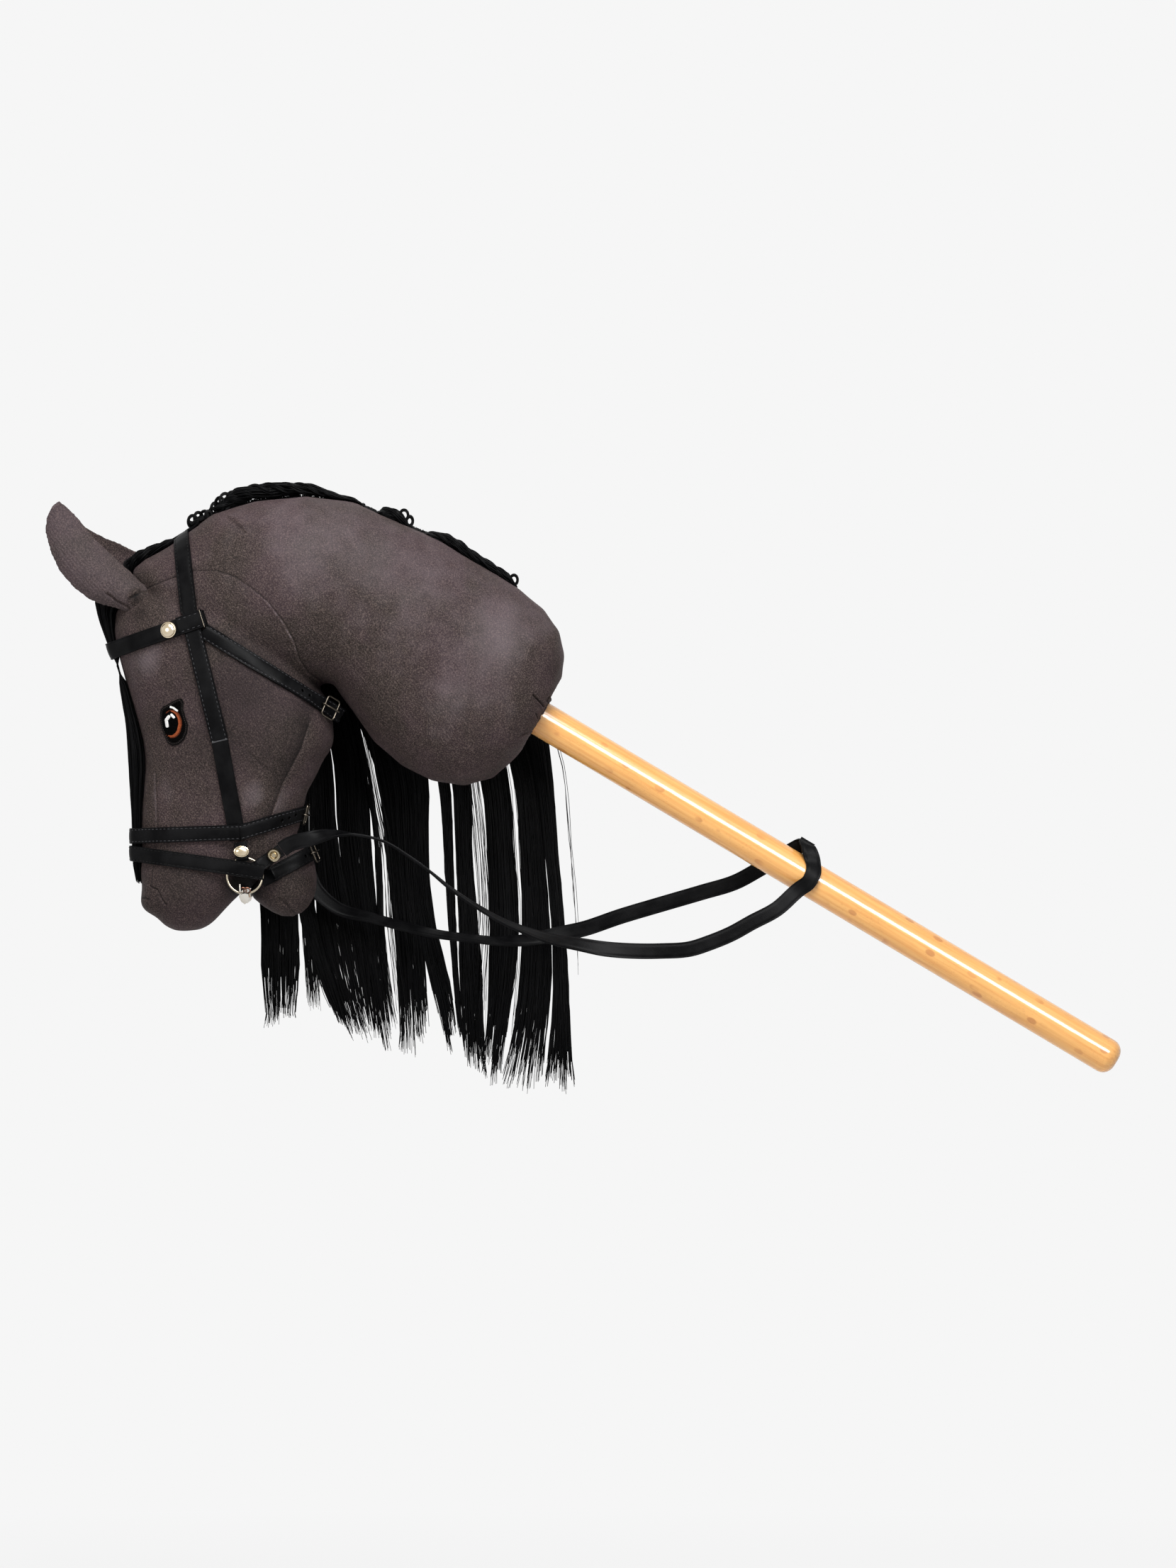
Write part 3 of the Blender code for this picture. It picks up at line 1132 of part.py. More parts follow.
def make_rein_join():
    """Stitched ridge that joins the two reins above the stick."""
    radius = 0.5 * STICK_DIA
    high = radius + REIN_JOIN_RISE
    profile = [(-REIN_JOIN_HALF, high - 2.0 * MM), (-REIN_JOIN_HALF, high + 0.8 * MM), (0.0, high + 2.4 * MM),
               (REIN_JOIN_HALF, high + 0.8 * MM), (REIN_JOIN_HALF, high - 2.0 * MM)]
    rings = []
    for s in (-0.5, 0.5):
        rings.append([stick_point(REIN_JOIN_ALONG + s * REIN_WIDTH, v, y) for y, v in profile])
    return loft("rein_join", rings, leather(), smooth=False)


def make_bridle(head, neck, chin, forelock, eye):
    """Straps from the inside out, then the bit, the studs and the buckles."""
    forms = tree_of(head, neck, chin)
    lock = tree_of(forelock)
    left = -Y_AXIS
    straps = {}

    crown = Band(mm(-249.3, 0.0, 95.0), in_plane(-247.0, 74.0, -253.5, 133.0), left, CROWN_WIDTH, [forms], 0.10, 130.0,
                 lambda u, v: u >= -20.5 * MM)
    crown.build("crownpiece", STRAP_THICK, leather())
    straps["crown"] = crown

    for name, start, end, thick, width in (
            ("cheekpiece_upper_left", (-243.6, 59.5), (-226.0, -12.6), CHEEK_THICK, CROWN_WIDTH),
            ("cheekpiece_lower_left", (-225.7, -13.6), (-212.8, -85.5), STRAP_THICK, STRAP_WIDTH)):
        middle = mm(0.5 * (start[0] + end[0]), 0.0, 0.5 * (start[1] + end[1]))
        down = in_plane(start[0], start[1], end[0], end[1])
        half = 0.5 * math.dist(start, end) * MM
        strap = Band(middle, left, down, width, [forms], 0.10, 66.0, lambda u, v, half=half: abs(v) <= half, step=3.0)
        strap.build(name, thick, leather())
        straps[name] = strap

    cheek = tree_of(straps["cheekpiece_upper_left"].body, straps["cheekpiece_lower_left"].body,
                    mirror_for_tree(straps["cheekpiece_upper_left"].body),
                    mirror_for_tree(straps["cheekpiece_lower_left"].body))
    throat = Band(mm(-192.5, 0.0, 34.0), in_plane(-234.5, 62.0, -154.0, 12.0), left, STRAP_WIDTH, [forms], 0.10, 150.0,
                  lambda u, v: u >= -49.0 * MM, near=0.062, slack=((59.0 * MM, 18.0 * MM), (59.0 * MM, -18.0 * MM)))
    throat.build("throatlatch", STRAP_THICK, leather())
    straps["throat"] = throat

    brow = Band(mm(-256.5, 0.0, 63.5), in_plane(-236.5, 70.5, -303.0, 48.0), left, CROWN_WIDTH,
                [forms, lock, cheek, tree_of(crown.body, throat.body)], 0.08, 140.0, lambda u, v: u >= -23.0 * MM)
    brow.build("browband", STRAP_THICK, leather())
    straps["brow"] = brow

    nose_rear = Band(mm(-206.5, 0.0, -78.5), in_plane(-209.0, -79.0, -166.5, -66.0), left, STRAP_WIDTH,
                     [forms, cheek], 0.07, 110.0, lambda u, v: u >= -6.0 * MM)
    nose_rear.build("noseband_strap", STRAP_THICK, leather())
    nose_front = Band(mm(-236.5, 0.0, -80.8), in_plane(-213.0, -80.0, -282.0, -82.5), left, STRAP_WIDTH,
                      [forms, lock, cheek, tree_of(nose_rear.body)], 0.07, 125.0, lambda u, v: u >= -25.0 * MM)
    nose_front.build("noseband", STRAP_THICK, leather())

    ring_xz = RING_PLACE
    plane = 0.0
    for k in range(24):
        a = 2.0 * math.pi * k / 24.0
        for r in (0.35, 1.0, 1.25):
            x = ring_xz[0] * MM + r * 0.5 * RING_DIA * math.cos(a)
            z = ring_xz[1] * MM + r * 0.5 * RING_DIA * math.sin(a)
            p = side_point(forms, x, z)
            if p is not None:
                plane = max(plane, -p.y)
    eye_out = 0.5 * RING_WIRE + RING_RUN + LOOP_LEATHER
    for angle, far in ((95.0, 22.0), (35.0, 30.0)):
        out = Vector((math.cos(math.radians(angle)), 0.0, math.sin(math.radians(angle))))
        side = Vector((-out.z, 0.0, out.x))
        for r in np.arange(8.0, far, 1.5):
            for s in (-0.5, 0.0, 0.5):
                q = mm(ring_xz[0], 0.0, ring_xz[1]) + out * (float(r) * MM) + side * s * STRAP_WIDTH
                p = side_point(forms, q.x, q.z)
                if p is not None:
                    plane = max(plane, -p.y)
    plane += eye_out + LAY
    centre = Vector((ring_xz[0] * MM, -plane, ring_xz[1] * MM))
    wire_clear = torus("ring_clear_cutter", centre, 0.5 * RING_DIA, 0.5 * RING_WIRE + RING_RUN, cutter=True, minor=10)
    tail = 2.0 * LOOP_LEATHER + 0.4 * MM
    cheek_loop = knuckle("cheek_loop_left", centre, CHEEK_LOOP_ANGLE, CHEEK_LOOP_LENGTH, tail, wire_clear, leather())
    rein_loop = knuckle("rein_loop_left", centre, REIN_LOOP_ANGLE, REIN_LOOP_LENGTH, tail, wire_clear, leather())
    ring = torus("bit_ring_left", centre, 0.5 * RING_DIA, 0.5 * RING_WIRE, silver())
    recentre(ring, centre)

    flash_rear = Band(mm(-196.0, 0.0, -113.5), in_plane(-191.0, -111.5, -160.0, -94.5), left, STRAP_WIDTH,
                      [forms], 0.055, 115.0, lambda u, v: u >= 6.0 * MM)
    flash_rear.build("flash_strap", STRAP_THICK, leather())
    bit_things = tree_of(cheek_loop, rein_loop, ring, flash_rear.body, mirror_for_tree(cheek_loop),
                         mirror_for_tree(rein_loop), mirror_for_tree(ring), mirror_for_tree(flash_rear.body))
    flash_front = Band(mm(-236.5, 0.0, -102.0), in_plane(-196.5, -107.5, -283.0, -95.5), left, STRAP_WIDTH,
                       [forms, lock, bit_things], 0.08, 140.0, lambda u, v: u >= -41.0 * MM)
    flash_front.build("flash_band", STRAP_THICK, leather())

    holes = {"noseband_strap": (nose_rear, 24.0 * MM), "flash_strap": (flash_rear, 17.0 * MM),
             "throatlatch": (throat, 28.0 * MM)}
    for name, (band, start) in holes.items():
        punch(band.body, band.frame_at(start), 0.0, 3 if name != "throatlatch" else 2, name + "_hole")
    make_buckle(throat, 50.0 * MM, "throatlatch_buckle")
    make_buckle(nose_rear, 40.0 * MM, "noseband_buckle")
    make_buckle(flash_rear, 38.5 * MM, "flash_buckle")

    keeper = keeper_plate(brow, -12.0 * MM)
    stud = seated_dome(brow, 4.5 * MM, "browband_stud_left", STUD_DIA, STUD_HEIGHT, silver())
    cheek_rivet = loop_dome(centre, CHEEK_LOOP_ANGLE, 17.2 * MM, tail, "cheek_rivet_left", RIVET_DIA,
                            RIVET_HEIGHT, silver())
    rein_rivet = loop_dome(centre, REIN_LOOP_ANGLE, 25.0 * MM, tail, "rein_rivet_left", PRESS_STUD_DIA,
                           PRESS_STUD_HEIGHT, brass())

    make_bit_bar(centre, wire_clear, head, chin)
    for body, name in ((straps["cheekpiece_upper_left"].body, "cheekpiece_upper_right"),
                       (straps["cheekpiece_lower_left"].body, "cheekpiece_lower_right"),
                       (cheek_loop, "cheek_loop_right"), (rein_loop, "rein_loop_right"),
                       (keeper, "browband_keeper_right"), (stud, "browband_stud_right"),
                       (cheek_rivet, "cheek_rivet_right"), (rein_rivet, "rein_rivet_right"),
                       (eye, "eye_right")):
        mirrored(body, name)
    other = mirrored(ring, "bit_ring_right")
    recentre(other, Vector((centre.x, -centre.y, centre.z)))
    return plane


def mirror_for_tree(body):
    """Hidden right-hand copy, used only to lay straps over it."""
    copy = mirrored(body, body.name + "_guide")
    to_cutter(copy)
    return copy


def keeper_plate(band, forward_at):
    """Leather keeper over the end of the browband."""
    place, along, across, normal = band.frame_at(forward_at)
    base = place + normal * band.thick
    high = rise_over(tree_of(band.body), base, along, across, normal, 0.5 * KEEPER_LENGTH, 0.5 * KEEPER_WIDTH)
    centre = base + normal * (high + FIT + 0.5 * KEEPER_THICK)
    return box("browband_keeper_left", centre, along, across, normal,
               (KEEPER_LENGTH, KEEPER_WIDTH, KEEPER_THICK), leather(), cutter=False)


def seated_dome(band, forward_at, name, diameter, height, material):
    """Domed stud on a strap."""
    place, along, across, normal = band.frame_at(forward_at)
    base = place + normal * band.thick
    high = rise_over(tree_of(band.body), base, along, across, normal, 0.5 * diameter, 0.5 * diameter)
    return turned(name, dome_profile(0.5 * diameter, height, high + FIT), base, normal, material)


def loop_dome(ring_centre, angle, distance, tail, name, diameter, height, material):
    """Domed rivet head on the flat tail of a bit loop."""
    out = Vector((math.cos(angle), 0.0, math.sin(angle)))
    eye = 0.5 * RING_WIRE + RING_RUN + LOOP_LEATHER
    raised = distance - 0.5 * diameter < 0.5 * RING_DIA + 1.6 * eye
    place = ring_centre + out * distance - Y_AXIS * (eye if raised else 0.5 * tail)
    return turned(name, dome_profile(0.5 * diameter, height, FIT), place, -Y_AXIS, material, steps=16)


def bar_profile(half, grow=0.0):
    """Profile of the mouthpiece, grown alike all over for its bed in the mouth."""
    end = half + 0.5 * BARREL_LENGTH + grow
    r, b = 0.5 * BIT_BAR_DIA + grow, 0.5 * BARREL_DIA + grow
    inner = half - 0.5 * BARREL_LENGTH - grow
    return [(0.0, end), (0.62 * b, end), (b, end - 2.2 * MM), (b, inner + 1.0 * MM), (r, inner - 1.5 * MM),
            (0.82 * r, 0.0), (r, -inner + 1.5 * MM), (b, -inner - 1.0 * MM), (b, -end + 2.2 * MM),
            (0.62 * b, -end), (0.0, -end)]


def make_bit_bar(centre, wire_clear, head, chin):
    """Mouthpiece across the mouth, with a faceted barrel on each ring, and its bed in the lips."""
    half = abs(centre.y)
    axis_point = Vector((centre.x, 0.0, centre.z - 0.5 * RING_DIA))
    bar = turned("bit_mouthpiece", bar_profile(half), axis_point, Y_AXIS, silver(), steps=12)
    bed = turned("mouth_cutter", bar_profile(half, 2.0 * FIT), axis_point, Y_AXIS, silver(), steps=16, cutter=True)
    boolean(head, bed)
    boolean(chin, bed)
    boolean(bar, wire_clear)
    far_clear = torus("ring_clear_right_cutter", Vector((centre.x, half, centre.z)), 0.5 * RING_DIA,
                      0.5 * RING_WIRE + RING_RUN, cutter=True, minor=10)
    boolean(bar, far_clear)
    return bar


def build():
    """Model the whole hobby horse."""
    clear_scene()
    make_stick()
    head, neck, chin, head_wide, neck_wide = make_forms()
    ears = make_ears(head_wide, neck_wide)
    head_tree = tree_of(head)
    neck_tree = tree_of(neck)
    eye = make_eye(head_tree)
    forelock = make_forelock()
    make_crest_rolls(neck_tree)
    plane = make_bridle(head, neck, chin, forelock, eye)
    make_locks(neck_tree, [neck_tree, head_tree, tree_of(*ears),
                           tree_of(*[o for o in PARTS.objects if o.name in (
                               "throatlatch", "crownpiece", "noseband_strap", "cheekpiece_upper_right")])])
    make_rein("rein_left", -1.0, REIN_LEFT, REIN_WRAP_LEFT, plane)
    make_rein("rein_right", 1.0, REIN_RIGHT, REIN_WRAP_RIGHT, plane)
    make_rein_join()


build()
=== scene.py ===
"""Hobby horse: suede covers, combed black hair, a strap bridle, a ring bit and a beech stick."""
import json
import logging
import math
from collections.abc import Sequence
from dataclasses import dataclass, field
from enum import Enum

import bmesh
import bpy
import numpy as np
from mathutils import Matrix, Vector, noise
from mathutils.bvhtree import BVHTree
from mathutils.kdtree import KDTree


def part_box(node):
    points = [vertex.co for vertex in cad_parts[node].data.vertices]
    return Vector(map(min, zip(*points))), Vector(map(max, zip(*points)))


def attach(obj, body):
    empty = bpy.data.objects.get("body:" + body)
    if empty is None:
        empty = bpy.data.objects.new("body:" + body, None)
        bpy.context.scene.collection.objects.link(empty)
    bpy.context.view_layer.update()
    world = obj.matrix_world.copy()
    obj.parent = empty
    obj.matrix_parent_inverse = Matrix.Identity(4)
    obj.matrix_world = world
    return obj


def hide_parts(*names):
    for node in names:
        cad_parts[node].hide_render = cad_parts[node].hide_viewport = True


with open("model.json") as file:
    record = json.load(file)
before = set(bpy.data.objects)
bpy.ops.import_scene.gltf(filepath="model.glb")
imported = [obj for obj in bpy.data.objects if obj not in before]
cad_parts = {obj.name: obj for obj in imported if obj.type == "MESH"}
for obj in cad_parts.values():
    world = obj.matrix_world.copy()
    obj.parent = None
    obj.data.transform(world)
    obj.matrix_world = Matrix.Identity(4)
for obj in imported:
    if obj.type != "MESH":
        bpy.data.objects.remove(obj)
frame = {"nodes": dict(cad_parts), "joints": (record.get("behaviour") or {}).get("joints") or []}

Piece = bpy.types.Object
Mesh = bpy.types.Mesh
Material = bpy.types.Material
NodeTree = bpy.types.NodeTree
Node = bpy.types.Node
Socket = bpy.types.NodeSocket
Section = tuple[Vector, Vector, Vector]

for default_name in ("Cube", "Light", "Camera"):
    if default_name in bpy.data.objects:
        bpy.data.objects.remove(bpy.data.objects[default_name], do_unlink=True)
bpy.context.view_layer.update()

MM = 0.001
STICK_RADIUS = 12.5 * MM
STICK_DROP = math.radians(30.8)
STICK_DIR = Vector((math.cos(STICK_DROP), 0.0, -math.sin(STICK_DROP)))
STICK_UP = Vector((math.sin(STICK_DROP), 0.0, math.cos(STICK_DROP)))
LEFT = Vector((0.0, -1.0, 0.0))
RIGHT = Vector((0.0, 1.0, 0.0))
UP = Vector((0.0, 0.0, 1.0))
X_AXIS = Vector((1.0, 0.0, 0.0))

LOG = logging.getLogger("hobby_horse")


class Body(Enum):
    """Bodies of the frame that pieces ride on."""

    HORSE = "horse"
    LEFT_RING = "left_ring"
    RIGHT_RING = "right_ring"
    THROAT_TONGUE = "throatlatch_tongue"
    NOSE_TONGUE = "noseband_tongue"
    FLASH_TONGUE = "flash_tongue"


class Slot(Enum):
    """Material slots of the record."""

    SUEDE = "suede"
    HAIR = "hair"
    LEATHER = "leather"
    THREAD = "thread"
    SILVER = "silver"
    BRASS = "brass"
    BEECH = "beech"


class Stitching(Enum):
    """Thread along a strap's edges."""

    NONE = "none"
    DARK = "dark"
    PALE = "pale"


def mm(x: float, y: float, z: float) -> Vector:
    """Point from millimetres."""
    return Vector((x * MM, y * MM, z * MM))


def linear(code: str) -> tuple[float, float, float, float]:
    """Turn an sRGB hex colour to linear.

    Args:
        code: Six hex digits after a hash.
    Returns:
        Linear red, green, blue and an alpha of one.
    """
    parts = [int(code[i:i + 2], 16) / 255.0 for i in (1, 3, 5)]
    return (*[p / 12.92 if p <= 0.04045 else ((p + 0.055) / 1.055) ** 2.4 for p in parts], 1.0)


def node(tree: NodeTree, kind: str, inputs: dict | None = None,
         stops: Sequence[tuple[float, str]] = (), **settings) -> Node:
    """Add a node with its settings, inputs and links.

    Args:
        tree: The tree that takes the node.
        kind: The node's type name.
        inputs: Values or sockets by input name or index; a socket is linked.
        stops: Places and hex colours of a colour ramp.
        settings: The node's own properties.
    Returns:
        The new node.
    """
    made = tree.nodes.new(kind)
    for name, value in settings.items():
        setattr(made, name, value)
    for key, value in (inputs or {}).items():
        if isinstance(value, Socket):
            tree.links.new(value, made.inputs[key])
        else:
            made.inputs[key].default_value = value
    for index, (place, code) in enumerate(stops):
        ramp = made.color_ramp.elements
        stop = ramp[index] if index < len(ramp) else ramp.new(place)
        stop.position = place
        stop.color = linear(code)
    return made


def blank(made: Material | bpy.types.World) -> NodeTree:
    """Empty the node tree of a material or world.

    Args:
        made: The new material or world.
    Returns:
        Its tree, with no nodes.
    """
    made.use_nodes = True
    made.node_tree.nodes.clear()
    return made.node_tree


@dataclass(frozen=True)
class Finish:
    """A surface finish, whose material is built once."""

    name: str

    def material(self) -> Material:
        """Look the material up, or build it on its first use.

        Returns:
            The finish's material.
        """
        known = bpy.data.materials.get(self.name)
        if known is not None:
            return known
        made = bpy.data.materials.new(self.name)
        shader = self.surface(blank(made))
        node(made.node_tree, "ShaderNodeOutputMaterial", {"Surface": shader.outputs[0]})
        return made

    def surface(self, tree: NodeTree) -> Node:
        """Build the shader of the finish."""
        raise NotImplementedError


@dataclass(frozen=True)
class BrushedSuede(Finish):
    """Brushed microfibre suede, dyed and knitted on fine diagonal ribs."""

    # The eye sees a matt cloth, speckled by its nap and shaded in soft purple and olive patches
    name: str = "brushed_suede"
    base: str = "#3B3130"
    pale: str = "#75655F"
    deep: str = "#120D0C"
    olive: str = "#2E2B26"
    purple: str = "#4E3F45"
    # Colour of a painted highlight on rubbed nap, and of painted shade, that the cover's attribute mixes in
    highlight_and_rubbed_nap: str = "#A2959B"
    painted_shade: str = "#0B0909"
    grain: float = 0.9 * MM
    mottle: float = 42.0 * MM
    rib: float = 2.2 * MM

    def surface(self, tree: NodeTree) -> Node:
        """Build the shader of the finish.

        Args:
            tree: The material's tree, still empty.
        Returns:
            The shader node.
        """
        place = node(tree, "ShaderNodeTexCoord").outputs["Object"]
        grain = node(tree, "ShaderNodeTexNoise", {"Vector": place, "Scale": 1.0 / self.grain, "Detail": 2.5,
                                                  "Roughness": 0.7})
        speck = node(tree, "ShaderNodeValToRGB", {"Fac": grain.outputs["Fac"]},
                     stops=[(0.33, self.deep), (0.5, self.base), (0.71, self.pale)])
        patch = node(tree, "ShaderNodeTexNoise", {"Vector": place, "Scale": 1.0 / self.mottle, "Detail": 2.5,
                                                  "Distortion": 0.4})
        tone = node(tree, "ShaderNodeValToRGB", {"Fac": patch.outputs["Fac"]},
                    stops=[(0.38, self.olive), (0.64, self.purple)])
        dyed = node(tree, "ShaderNodeMix", {0: 0.32, 6: speck.outputs["Color"], 7: tone.outputs["Color"]},
                    data_type="RGBA")
        # The cover's attribute paints light: above zero towards the painted highlight, below zero towards
        # painted shade, with a small random tone on both sides
        wear = node(tree, "ShaderNodeAttribute", attribute_name="wear")
        worn = node(tree, "ShaderNodeMath", {0: wear.outputs["Fac"], 1: 0.75}, operation="MULTIPLY",
                    use_clamp=True)
        dark = node(tree, "ShaderNodeMath", {0: wear.outputs["Fac"], 1: -1.0}, operation="MULTIPLY",
                    use_clamp=True)
        rim = node(tree, "ShaderNodeMix", {0: worn.outputs[0], 6: dyed.outputs[2], 7: linear(self.highlight_and_rubbed_nap)},
                   data_type="RGBA")
        colour = node(tree, "ShaderNodeMix", {0: dark.outputs[0], 6: rim.outputs[2], 7: linear(self.painted_shade)},
                      data_type="RGBA")
        # Real ribs are about 0.8 mm apart, and they are drawn coarser so that they show
        turned = node(tree, "ShaderNodeMapping", {"Vector": place,
                                                  "Rotation": (0.0, math.radians(40.0), 0.0)})
        ribs = node(tree, "ShaderNodeTexWave", {"Vector": turned.outputs[0], "Scale": 0.314 / self.rib,
                                                "Distortion": 1.5, "Detail": 2.0, "Detail Scale": 2.0},
                    bands_direction="X")
        height = node(tree, "ShaderNodeMath", {0: ribs.outputs["Fac"], 1: 0.6, 2: grain.outputs["Fac"]},
                      operation="MULTIPLY_ADD")
        bump = node(tree, "ShaderNodeBump", {"Strength": 0.55, "Distance": 0.3 * MM,
                                             "Height": height.outputs[0]})
        return node(tree, "ShaderNodeBsdfPrincipled", {
            "Base Color": colour.outputs[2], "Roughness": 0.7, "Specular IOR Level": 0.08,
            "Diffuse Roughness": 0.2, "Sheen Weight": 0.03, "Sheen Roughness": 0.5,
            "Sheen Tint": linear("#B9A9B4"), "Normal": bump.outputs[0]})


@dataclass(frozen=True)
class BridleLeather(Finish):
    """Black split leather with a smooth, lightly polished polyurethane face."""

    # The eye sees a near-black strap with soft broad highlights broken by a fine pebble grain
    name: str = "bridle_leather"
    base: str = "#060607"
    worn: str = "#131314"
    pebble: float = 0.8 * MM
    scuff: float = 14.0 * MM

    def surface(self, tree: NodeTree) -> Node:
        """Build the shader of the finish.

        Args:
            tree: The material's tree, still empty.
        Returns:
            The shader node.
        """
        place = node(tree, "ShaderNodeTexCoord").outputs["Object"]
        cells = node(tree, "ShaderNodeTexVoronoi", {"Vector": place, "Scale": 1.0 / self.pebble})
        wear = node(tree, "ShaderNodeTexNoise", {"Vector": place, "Scale": 1.0 / self.scuff, "Detail": 5.0})
        colour = node(tree, "ShaderNodeValToRGB", {"Fac": wear.outputs["Fac"]},
                      stops=[(0.4, self.base), (0.75, self.worn)])
        rough = node(tree, "ShaderNodeMapRange", {"Value": wear.outputs["Fac"], "From Min": 0.3,
                                                  "From Max": 0.7, "To Min": 0.34, "To Max": 0.5})
        bump = node(tree, "ShaderNodeBump", {"Strength": 0.25, "Distance": 0.12 * MM,
                                             "Height": cells.outputs["Distance"]})
        return node(tree, "ShaderNodeBsdfPrincipled", {
            "Base Color": colour.outputs["Color"], "Roughness": rough.outputs[0],
            "Specular IOR Level": 0.045, "Normal": bump.outputs[0]})


@dataclass(frozen=True)
class PlatedMetal(Finish):
    """Metal plated over zinc or wire and tumbled bright, with faint handling marks."""

    # The eye sees a mirror that takes the pale studio, dulled a little by fine scratches
    name: str = "nickel_plate"
    base: str = "#DAD6CE"
    tarnish: str = "#B9B2A6"
    rough_low: float = 0.08
    rough_high: float = 0.17
    mark: float = 9.0 * MM

    def surface(self, tree: NodeTree) -> Node:
        """Build the shader of the finish.

        Args:
            tree: The material's tree, still empty.
        Returns:
            The shader node.
        """
        place = node(tree, "ShaderNodeTexCoord").outputs["Object"]
        marks = node(tree, "ShaderNodeTexNoise", {"Vector": place, "Scale": 1.0 / self.mark, "Detail": 3.0})
        colour = node(tree, "ShaderNodeValToRGB", {"Fac": marks.outputs["Fac"]},
                      stops=[(0.45, self.base), (0.85, self.tarnish)])
        rough = node(tree, "ShaderNodeMapRange", {"Value": marks.outputs["Fac"], "From Min": 0.3,
                                                  "From Max": 0.7, "To Min": self.rough_low,
                                                  "To Max": self.rough_high})
        return node(tree, "ShaderNodeBsdfPrincipled", {
            "Base Color": colour.outputs["Color"], "Metallic": 1.0, "Roughness": rough.outputs[0]})


@dataclass(frozen=True)
class VarnishedBeech(Finish):
    """Turned beech dowel, sanded and dipped in clear varnish."""

    # The eye sees an even warm tan with short darker ray flecks under a glossy coat
    name: str = "varnished_beech"
    pale: str = "#EDB163"
    base: str = "#E09C4F"
    fleck: str = "#B4692E"
    grain_along: float = 60.0 * MM
    grain_across: float = 1.8 * MM
    fleck_along: float = 2.8 * MM
    fleck_across: float = 0.8 * MM
    knot_along: float = 17.0 * MM
    knot_across: float = 10.0 * MM

    def surface(self, tree: NodeTree) -> Node:
        """Build the shader of the finish.

        Args:
            tree: The material's tree, still empty.
        Returns:
            The shader node.
        """
        place = node(tree, "ShaderNodeTexCoord").outputs["Object"]
        along = node(tree, "ShaderNodeMapping", {"Vector": place, "Rotation": (0.0, -STICK_DROP, 0.0)})
        lines = node(tree, "ShaderNodeMapping", {"Vector": along.outputs[0], "Scale": (
            1.0 / self.grain_along, 1.0 / self.grain_across, 1.0 / self.grain_across)})
        grain = node(tree, "ShaderNodeTexNoise", {"Vector": lines.outputs[0], "Scale": 1.0, "Detail": 4.0})
        wood = node(tree, "ShaderNodeValToRGB", {"Fac": grain.outputs["Fac"]},
                    stops=[(0.35, self.base), (0.65, self.pale)])
        spots = node(tree, "ShaderNodeMapping", {"Vector": along.outputs[0], "Scale": (
            1.0 / self.fleck_along, 1.0 / self.fleck_across, 1.0 / self.fleck_across)})
        cells = node(tree, "ShaderNodeTexVoronoi", {"Vector": spots.outputs[0], "Scale": 1.0})
        fine = node(tree, "ShaderNodeMapRange", {"Value": cells.outputs["Distance"], "From Min": 0.14,
                                                 "From Max": 0.28, "To Min": 0.34, "To Max": 0.0})
        eyes = node(tree, "ShaderNodeMapping", {"Vector": along.outputs[0], "Scale": (
            1.0 / self.knot_along, 1.0 / self.knot_across, 1.0 / self.knot_across)})
        large = node(tree, "ShaderNodeTexVoronoi", {"Vector": eyes.outputs[0], "Scale": 1.0})
        ring = node(tree, "ShaderNodeMapRange", {"Value": large.outputs["Distance"], "From Min": 0.2,
                                                 "From Max": 0.26, "To Min": 0.6, "To Max": 0.0})
        patch = node(tree, "ShaderNodeTexNoise", {"Vector": along.outputs[0], "Scale": 40.0})
        there = node(tree, "ShaderNodeMapRange", {"Value": patch.outputs["Fac"], "From Min": 0.42,
                                                  "From Max": 0.58, "To Min": 0.15, "To Max": 1.0})
        most = node(tree, "ShaderNodeMath", {0: fine.outputs[0], 1: ring.outputs[0]}, operation="MAXIMUM")
        share = node(tree, "ShaderNodeMath", {0: most.outputs[0], 1: there.outputs[0]}, operation="MULTIPLY")
        colour = node(tree, "ShaderNodeMix", {0: share.outputs[0], 6: wood.outputs["Color"],
                                              7: linear(self.fleck)}, data_type="RGBA")
        bump = node(tree, "ShaderNodeBump", {"Strength": 0.08, "Distance": 0.1 * MM,
                                             "Height": grain.outputs["Fac"]})
        return node(tree, "ShaderNodeBsdfPrincipled", {
            "Base Color": colour.outputs[2], "Roughness": 0.45, "Specular IOR Level": 0.25,
            "Coat Weight": 1.0, "Coat Roughness": 0.12, "Coat IOR": 1.55, "Normal": bump.outputs[0]})


@dataclass(frozen=True)
class NylonHair(Finish):
    """Straight synthetic hair, black all through."""

    # The eye sees black bundles with thin grey glints along single strands
    name: str = "nylon_hair"
    base: str = "#040405"
    light: str = "#0E0E0F"

    def surface(self, tree: NodeTree) -> Node:
        """Build the shader of the finish.

        Args:
            tree: The material's tree, still empty.
        Returns:
            The shader node.
        """
        tone = node(tree, "ShaderNodeAttribute", attribute_name="tone")
        colour = node(tree, "ShaderNodeValToRGB", {"Fac": tone.outputs["Fac"]},
                      stops=[(0.6, self.base), (1.0, self.light)])
        return node(tree, "ShaderNodeBsdfPrincipled", {
            "Base Color": colour.outputs["Color"], "Roughness": 0.45, "Specular IOR Level": 0.06})


